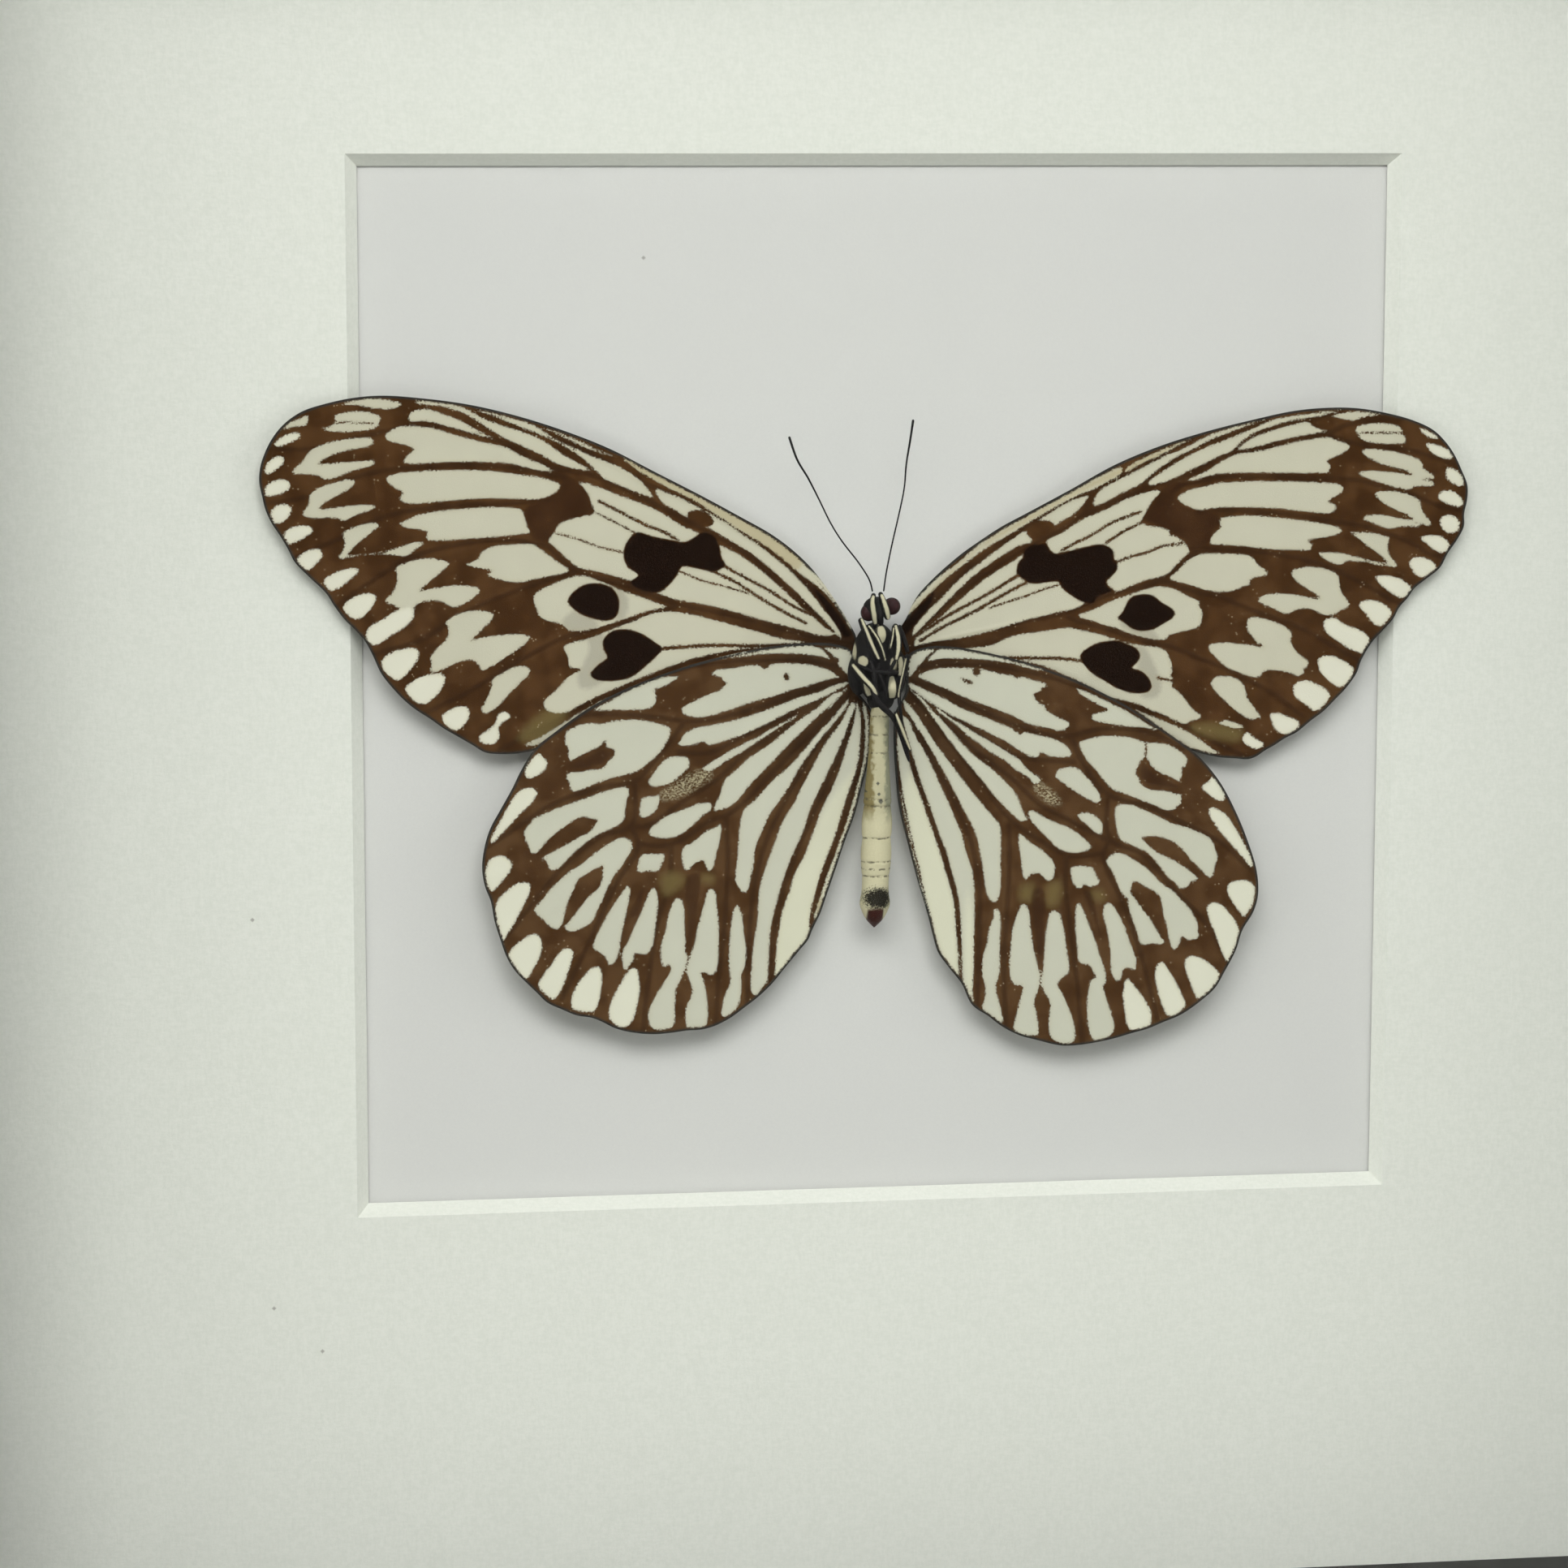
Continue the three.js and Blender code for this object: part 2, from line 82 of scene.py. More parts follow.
def smooth_line(points, closed, samples):
    """A centripetal Catmull-Rom curve through points: cubic spans whose knots lie the root of each
    chord apart, so that close points don't make it swing out."""
    p = np.asarray(points, float)
    if closed:
        p = np.vstack([p[-1:], p, p[:2]])
    else:
        p = np.vstack([2 * p[0] - p[1], p, 2 * p[-1] - p[-2]])
    p0, p1, p2, p3 = p[:-3], p[1:-2], p[2:-1], p[3:]
    spans = ((p0, p1), (p1, p2), (p2, p3))
    chord = [np.maximum(np.linalg.norm(b - a, axis=1), 1e-9) ** 0.5 for a, b in spans]
    t1 = chord[0]
    t2 = t1 + chord[1]
    t3 = t2 + chord[2]
    s = np.linspace(0, 1, samples, endpoint=False)
    t = (t1[:, None] + (t2 - t1)[:, None] * s)[..., None]
    t1, t2, t3 = (v[:, None, None] for v in (t1, t2, t3))
    p0, p1, p2, p3 = (v[:, None, :] for v in (p0, p1, p2, p3))
    a1 = (t1 - t) / t1 * p0 + t / t1 * p1
    a2 = (t2 - t) / (t2 - t1) * p1 + (t - t1) / (t2 - t1) * p2
    a3 = (t3 - t) / (t3 - t2) * p2 + (t - t2) / (t3 - t2) * p3
    b1 = (t2 - t) / t2 * a1 + t / t2 * a2
    b2 = (t3 - t) / (t3 - t1) * a2 + (t - t1) / (t3 - t1) * a3
    curve = ((t2 - t) / (t2 - t1) * b1 + (t - t1) / (t2 - t1) * b2).reshape(-1, p.shape[1])
    return curve if closed else np.vstack([curve, np.asarray(points, float)[-1:]])


def even_steps(curve, count):
    """count points at equal distances along a curve."""
    run = np.concatenate([[0], np.cumsum(np.linalg.norm(np.diff(curve, axis=0), axis=1))])
    at = np.linspace(0, run[-1], count)
    return np.stack([np.interp(at, run, curve[:, k]) for k in range(curve.shape[1])], axis=1)


# ---- meshes ----


def make_object(name, points, faces, node=None):
    """A mesh object from arrays, smooth shaded, riding on the frame's one body."""
    mesh = bpy.data.meshes.new(name)
    mesh.from_pydata(points.reshape(-1, 3).tolist(), [], faces)
    mesh.shade_smooth()
    obj = bpy.data.objects.new(name, mesh)
    bpy.context.scene.collection.objects.link(obj)
    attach(obj, "root")
    if node:
        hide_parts(node)
    return obj


def grid_faces(rows, columns, start=0, wrap_columns=False, flip=False):
    """Quads between neighbouring rows and columns of a grid of points, as an integer array."""
    r = np.arange(rows - 1)
    c = np.arange(columns if wrap_columns else columns - 1)
    r, c = np.meshgrid(r, c, indexing="ij")
    r2 = r + 1
    c2 = (c + 1) % columns
    quads = np.stack([r * columns + c, r * columns + c2, r2 * columns + c2, r2 * columns + c], axis=-1)
    quads = quads.reshape(-1, 4) + start
    return quads[:, ::-1] if flip else quads


def set_attribute(obj, name, values):
    """Gives each of an object's points a number that materials can read."""
    layer = obj.data.attributes.new(name, "FLOAT", "POINT")
    layer.data.foreach_set("value", np.asarray(values, np.float32).ravel())


# ---- materials ----


class Nodes:
    """A short way to write one material's node tree."""

    def __init__(self, name):
        self.material = bpy.data.materials.new(name)
        self.material.use_nodes = True
        self.tree = self.material.node_tree
        self.shader = self.tree.nodes["Principled BSDF"]
        self.output = self.tree.nodes["Material Output"]

    def node(self, kind, **settings):
        made = self.tree.nodes.new(kind)
        for key, value in settings.items():
            setattr(made, key, value)
        return made

    def feed(self, socket, value):
        if isinstance(value, bpy.types.NodeSocket):
            self.tree.links.new(value, socket)
        else:
            socket.default_value = value

    def millimetres(self):
        """Object coordinates in millimetres."""
        coordinates = self.node("ShaderNodeTexCoord")
        scale = self.node("ShaderNodeVectorMath", operation="SCALE")
        self.feed(scale.inputs[0], coordinates.outputs["Object"])
        scale.inputs["Scale"].default_value = 1 / MM
        return scale.outputs[0]

    def stretched(self, vector, by):
        scaled = self.node("ShaderNodeVectorMath", operation="MULTIPLY")
        self.feed(scaled.inputs[0], vector)
        scaled.inputs[1].default_value = by
        return scaled.outputs[0]

    def axis(self, vector, which):
        parts = self.node("ShaderNodeSeparateXYZ")
        self.feed(parts.inputs[0], vector)
        return parts.outputs[which]

    def attribute(self, name):
        return self.node("ShaderNodeAttribute", attribute_name=name).outputs["Fac"]

    def noise(self, vector, per_mm, detail=2.0, roughness=0.5):
        made = self.node("ShaderNodeTexNoise")
        self.feed(made.inputs["Vector"], vector)
        made.inputs["Scale"].default_value = per_mm
        made.inputs["Detail"].default_value = detail
        made.inputs["Roughness"].default_value = roughness
        return made.outputs["Fac"]

    def cells(self, vector, per_mm, output="Distance"):
        made = self.node("ShaderNodeTexVoronoi")
        self.feed(made.inputs["Vector"], vector)
        made.inputs["Scale"].default_value = per_mm
        return made.outputs[output]

    def maths(self, operation, a, b=0.0):
        made = self.node("ShaderNodeMath", operation=operation)
        for socket, value in zip(made.inputs, (a, b)):
            self.feed(socket, value)
        return made.outputs[0]

    def plus(self, a, b):
        return self.maths("ADD", a, b)

    def minus(self, a, b):
        return self.maths("SUBTRACT", a, b)

    def times(self, a, b):
        return self.maths("MULTIPLY", a, b)

    def root_of_squares(self, a, b):
        """The square root of a squared plus b squared."""
        return self.maths("SQRT", self.plus(self.times(a, a), self.times(b, b)))

    def across_and_up(self, vector):
        """Specimen x and y of object coordinates in millimetres."""
        return self.axis(vector, 0), self.minus(self.axis(vector, 2), WINDOW_Z / MM)

    def steps_away(self, x, y, at_x, at_y):
        """The distance from a place, across plus up."""
        across = self.maths("ABSOLUTE", self.minus(x, at_x))
        up = self.maths("ABSOLUTE", self.minus(y, at_y))
        return self.plus(across, up)

    def between(self, value, low, high, to_low=0.0, to_high=1.0):
        """A soft step: to_low where value is at most low, to_high where it is at least high."""
        made = self.node("ShaderNodeMapRange", interpolation_type="SMOOTHSTEP")
        for socket, amount in zip(made.inputs, (value, low, high, to_low, to_high)):
            self.feed(socket, amount)
        return made.outputs[0]

    def mix(self, factor, a, b):
        made = self.node("ShaderNodeMix", data_type="RGBA")
        self.feed(made.inputs[0], factor)
        self.feed(made.inputs[6], a)
        self.feed(made.inputs[7], b)
        return made.outputs[2]

    def bump(self, height, distance_mm, strength=1.0):
        made = self.node("ShaderNodeBump")
        self.feed(made.inputs["Height"], height)
        made.inputs["Distance"].default_value = distance_mm * MM
        made.inputs["Strength"].default_value = strength
        return made.outputs[0]

    def finish(self, color=None, roughness=None, normal=None, **plain):
        """Links what varies to the shader and sets what is the same all over on its own sockets."""
        for name, value in (("Base Color", color), ("Roughness", roughness), ("Normal", normal)):
            if value is not None:
                self.feed(self.shader.inputs[name], value)
        for name, value in plain.items():
            self.shader.inputs[name.replace("_", " ")].default_value = value
        return self.material


def rgb(red, green, blue):
    """A colour as it looks on screen, 0 to 255 a channel, in the linear values that shaders take."""
    channel = np.array([red, green, blue]) / 255
    linear = np.where(channel <= 0.04045, channel / 12.92, ((channel + 0.055) / 1.055) ** 2.4)
    return (*linear.tolist(), 1.0)


# ---- wings ----

FOREWING_LEFT = {
    "corners": [(-3.3, 5.8), (-64.3, 29.4), (-42.1, -6.2), (-3.3, 4.4)],
    "edge": [
        (-3.3, 4.4), (-3.3, 5.8), (-4, 7.2), (-5.6, 9.8), (-8, 13.1), (-10, 15.1), (-12.5, 17), (-16, 19),
        (-20, 21.2), (-25, 23.8), (-30, 26.4), (-35, 28.4), (-40, 30), (-45, 31.2), (-50, 31.9),
        (-54, 32.2), (-57, 32), (-60, 31.4), (-62.5, 30.6), (-64.3, 29.4), (-65.6, 27.9), (-66.5, 26.2),
        (-67, 24.6), (-67.1, 23.2), (-66.8, 21.6), (-66.5, 20.3), (-65.9, 18.9), (-65, 17.5),
        (-64.2, 16.1), (-63.5, 14.7), (-62, 13.1), (-60.2, 11.3), (-59.4, 10), (-58.3, 8.5), (-57.3, 7.5),
        (-56.2, 6.2), (-55.4, 4.7), (-54.5, 2.7), (-53.3, 1.1), (-52, -0.3), (-50.8, -1.3), (-49.3, -2.3),
        (-47.8, -3.4), (-46.3, -4.3), (-44.8, -5.2), (-43.5, -6), (-42.1, -6.2), (-40.2, -6.2),
        (-37.5, -5.7), (-32, -3.6), (-24, -0.9), (-14, 1.8),
    ],
}
FOREWING_RIGHT = {
    "corners": [(1, 5.8), (61.9, 26.2), (41.2, -8), (1, 4.2)],
    "edge": [
        (1, 4.2), (1, 5.8), (2.1, 7.6), (3.3, 10), (5, 11.9), (8, 14.5), (10, 15.9), (12.5, 17.5),
        (15, 18.8), (20, 21.4), (25, 24.1), (30, 26.1), (35, 27.6), (40, 28.8), (45, 29.8), (49, 30.1),
        (52, 30), (55, 29.5), (58, 28.7), (60.4, 27.6), (61.9, 26.2), (62.9, 24.8), (63.7, 23.2),
        (64.4, 21.5), (64.4, 19.9), (64.1, 18.4), (64.1, 17), (63.4, 15.6), (62.3, 14), (61.5, 12.5),
        (60, 11.3), (58.7, 10.3), (57.9, 9.2), (57, 8.2), (56.3, 6.9), (55.6, 6.1), (54, 4.4),
        (52.8, 2.4), (52.3, 1), (51, -0.8), (50.1, -1.7), (48.7, -3.1), (47.2, -4.2), (45.7, -5.4),
        (44.3, -6.1), (43.2, -6.8), (42.1, -7.4), (41.2, -8), (40.3, -8.3), (38.8, -8.2), (36.8, -8),
        (34.4, -7.4), (28, -5.2), (20, -2.6), (10, 0.6),
    ],
}
HINDWING_LEFT = {
    "corners": [(-3.8, 4.3), (-39.6, -8), (-15.2, -34.3), (-3.5, 0.2)],
    "edge": [
        (-3.5, 0.2), (-3.5, 2.6), (-3.8, 4.3), (-6, 5.1), (-9, 5.2), (-12.5, 4.9), (-16, 4.3), (-20, 3.4),
        (-24, 2.2), (-28, 0.7), (-31, -0.7), (-33.5, -2.2), (-36, -4), (-38.1, -5.7), (-39.6, -8),
        (-40.6, -10), (-41.9, -12.3), (-43, -14.3), (-43.6, -16.2), (-43.9, -18.6), (-43.6, -20.6),
        (-43, -22.2), (-42.6, -24.4), (-42, -26.4), (-41.3, -28.4), (-40.4, -29.9), (-39.1, -31.3),
        (-38.1, -32.3), (-37, -33.4), (-35.4, -34.2), (-33.8, -34.9), (-32.2, -35.2), (-31, -35.7),
        (-29.7, -36.4), (-28, -36.9), (-25.5, -37.2), (-23.5, -37.1), (-21.8, -36.9), (-20, -36.8),
        (-18.6, -36.4), (-17, -35.6), (-15.2, -34.3), (-14, -33.4), (-12.5, -32), (-11, -30.2),
        (-9.5, -28.4), (-8.5, -27.2), (-8, -26), (-7.2, -24.4), (-6.5, -22.4), (-5.5, -19.5),
        (-4.5, -16.5), (-3.4, -13.5), (-2.7, -10.8), (-2, -8), (-1.5, -5.5), (-1.25, -3.5), (-1.7, -2),
        (-2.6, -0.8),
    ],
}
HINDWING_RIGHT = {
    "corners": [(2.5, 3.8), (37.2, -10.9), (12.9, -37.3), (2.2, -0.1)],
    "edge": [
        (2.2, -0.1), (2.2, 1.8), (2.5, 3.8), (4.5, 4.6), (7, 4.6), (9.1, 4.3), (14.9, 2.9), (18.9, 1.5),
        (21.6, 0.4), (25, -1.3), (27.3, -2.6), (30.4, -4.7), (33.5, -6.9), (35.2, -8.4), (37.2, -10.9),
        (38.9, -14), (40.2, -17), (41.4, -20.7), (41.6, -23.4), (41.1, -25.3), (39.9, -27.3),
        (39.2, -29.5), (37.9, -32), (36.9, -33.7), (35.2, -35.2), (33.1, -36.6), (31.1, -37.4),
        (29.3, -38.1), (27.7, -38.5), (25, -39.2), (21.6, -39.7), (19.6, -39.7), (16.9, -39),
        (14.9, -38.4), (12.9, -37.3), (11.5, -36.2), (9.7, -34.9), (8.5, -32.5), (7.1, -30.7), (5.9, -29),
        (5.3, -27.1), (4.8, -25.1), (3.7, -21.4), (2.5, -17), (1.5, -12.9), (1, -8.2), (0.85, -4.8),
        (1, -2.6),
    ],
}
COLUMNS, ROWS = 270, 165  # points of a wing's grid along it and across it
REACH = 1.5  # distances to a marking's edge are worked out this far from it
SIGHT_PLANE = 4.0  # height of the plane that the wings' outlines and markings are drawn in
VEIN_RISE = 0.07  # how far a vein stands proud of the wing
VEIN_SPREAD = 0.22
RIM_ANGLE = 50  # degrees: a wing's edge is sharper than this, and its faces are smooth


def forewing_height(x, y):
    """The root's height plus the rise for each millimetre away from the body; y has no part in it."""
    return FOREWING_ROOT + WING_RISE * np.abs(x - BODY_MIDDLE)


def hindwing_height(x, y):
    """As a forewing's, plus a rise for each millimetre below the body."""
    return HINDWING_ROOT + WING_RISE * np.abs(x - BODY_MIDDLE) + HINDWING_TAIL_RISE * np.maximum(0, -y)


def distance_to(points, line):
    """Distance from every point to a line of straight steps."""
    best = np.full(len(points), np.inf)
    for start, end in zip(line[:-1], line[1:]):
        step = end - start
        along = np.clip((points - start) @ step / max(step @ step, 1e-12), 0, 1)
        best = np.minimum(best, np.hypot(*(points - start - along[:, None] * step).T))
    return best


def depth_inside(points, corners, smooth=3):
    """Distance from every point to a closed outline, positive inside it and at most REACH."""
    ring = smooth_line(corners, True, smooth)
    depth = np.full(len(points), -REACH)
    near = np.all((points > ring.min(0) - REACH) & (points < ring.max(0) + REACH), axis=1)
    p = points[near]
    closed = np.vstack([ring, ring[:1]])
    inside = np.zeros(len(p), bool)
    for (x0, y0), (x1, y1) in zip(closed[:-1], closed[1:]):
        crossed = (y0 > p[:, 1]) != (y1 > p[:, 1])
        inside ^= crossed & (p[:, 0] < x0 + (p[:, 1] - y0) / (y1 - y0 + 1e-12) * (x1 - x0))
    away = np.minimum(distance_to(p, closed), REACH)
    depth[near] = np.where(inside, away, -away)
    return depth


def deepest(points, outlines):
    """How deep every point lies in any of several outlines."""
    depth = np.full(len(points), -REACH)
    for corners in outlines:
        depth = np.maximum(depth, depth_inside(points, corners))
    return depth


def nearest_line(points, lines, half_width=0.0):
    """Distance from every point to the nearest of several smooth lines, less their half width."""
    best = np.full(len(points), REACH)
    for line in lines:
        curve = smooth_line(line, False, 4)
        near = np.all((points > curve.min(0) - REACH) & (points < curve.max(0) + REACH), axis=1)
        if near.any():
            best[near] = np.minimum(best[near], distance_to(points[near], curve) - half_width)
    return best


def place_in_sight(x, y, h, lift):
    """A point that the camera sees at x, y in the plane SIGHT_PLANE up, moved along its line of sight to
    its own height h, and then lifted."""
    spread = (CAMERA_AT[2] - h) / (CAMERA_AT[2] - SIGHT_PLANE)
    x = CAMERA_AT[0] + (x - CAMERA_AT[0]) * spread
    y = CAMERA_AT[1] + (y - CAMERA_AT[1]) * spread
    return place(x, y, h + lift)


def wing_sheet(shape):
    """A grid over a wing's outline, by Coons' rule: the blend of its front and rear sides, plus the
    blend of its root and outer sides, less the blend of its four corners."""
    ring = smooth_line(shape["edge"], True, 12)
    at = [int(np.argmin(np.hypot(*(ring - corner).T))) for corner in shape["corners"]]

    def side(start, end, count):
        picked = ring[start:end + 1] if end > start else np.vstack([ring[start:], ring[:end + 1]])
        return even_steps(picked, count)

    front = side(at[0], at[1], COLUMNS)
    outer = side(at[1], at[2], ROWS)
    rear = side(at[2], at[3], COLUMNS)[::-1]
    root = side(at[3], at[0], ROWS)[::-1]
    u = np.linspace(0, 1, COLUMNS)[None, :, None]
    v = np.linspace(0, 1, ROWS)[:, None, None]
    across = (1 - v) * front[None] + v * rear[None]
    along = (1 - u) * root[:, None] + u * outer[:, None]
    corner = ((1 - u) * (1 - v) * front[0] + u * (1 - v) * front[-1]
              + (1 - u) * v * rear[0] + u * v * rear[-1])
    return across + along - corner, ring


def make_wing(name, shape, marks, height_at, material):
    """A thin closed shell: the grid of the wing's outline once for each face, raised a little along
    its veins, with a band round the rim. Its points carry how deep they lie in each marking."""
    sheet, ring = wing_sheet(shape)
    flat = sheet.reshape(-1, 2)
    vein = nearest_line(flat, marks["veins"])
    ridge = VEIN_RISE * np.exp(-((vein / VEIN_SPREAD) ** 2))
    height = height_at(flat[:, 0], flat[:, 1])
    front = place_in_sight(flat[:, 0], flat[:, 1], height, WING_THICK / 2 + ridge)
    back = place_in_sight(flat[:, 0], flat[:, 1], height, ridge / 2 - WING_THICK / 2)
    count = len(flat)
    index = np.arange(count).reshape(ROWS, COLUMNS)
    rim = np.concatenate([index[0, :-1], index[:-1, -1], index[-1, :0:-1], index[:0:-1, 0]])
    following = np.roll(rim, -1)
    band = np.stack([rim, following, following + count, rim + count], axis=-1)
    front_faces = grid_faces(ROWS, COLUMNS)
    back_faces = grid_faces(ROWS, COLUMNS, start=count, flip=True)
    faces = np.vstack([front_faces, back_faces, band[:, ::-1]])
    x = sheet[..., 0]
    y = sheet[..., 1]
    turned = (x[0, 1] - x[0, 0]) * (y[1, 0] - y[0, 0]) - (x[1, 0] - x[0, 0]) * (y[0, 1] - y[0, 0])
    if turned < 0:  # this wing's grid runs clockwise, so its faces are turned to look outwards
        faces = faces[:, ::-1]
    obj = make_object(name, np.vstack([front, back]), faces.tolist(), name)
    obj.data.set_sharp_from_angle(angle=math.radians(RIM_ANGLE))
    obj.data.materials.append(material)
    rim_distance = np.minimum(distance_to(flat, np.vstack([ring, ring[:1]])), REACH)
    pale = deepest(flat, marks["cells"] + marks["spots"])
    for half_width, lines in marks["streaks"]:
        pale = np.minimum(pale, nearest_line(flat, lines, half_width))
    for solid in ("blots", "dark"):
        pale = np.minimum(pale, -deepest(flat, marks[solid]))
    pale = np.minimum(pale, rim_distance - marks["rim"])
    for half_width, lines in marks["slivers"]:
        pale = np.maximum(pale, -nearest_line(flat, lines, half_width))
    values = {
        "pale": pale,
        "spot": deepest(flat, marks["spots"]),
        "vein": vein,
        "rim": rim_distance,
    }
    for key in ("dark", "dusky", "halo", "warm", "yellow", "worn", "olive"):
        values[key] = deepest(flat, marks[key])
    for key, value in values.items():
        set_attribute(obj, key, np.concatenate([value, value]))
    return obj


# ---- wing markings, in millimetres on the specimen ----

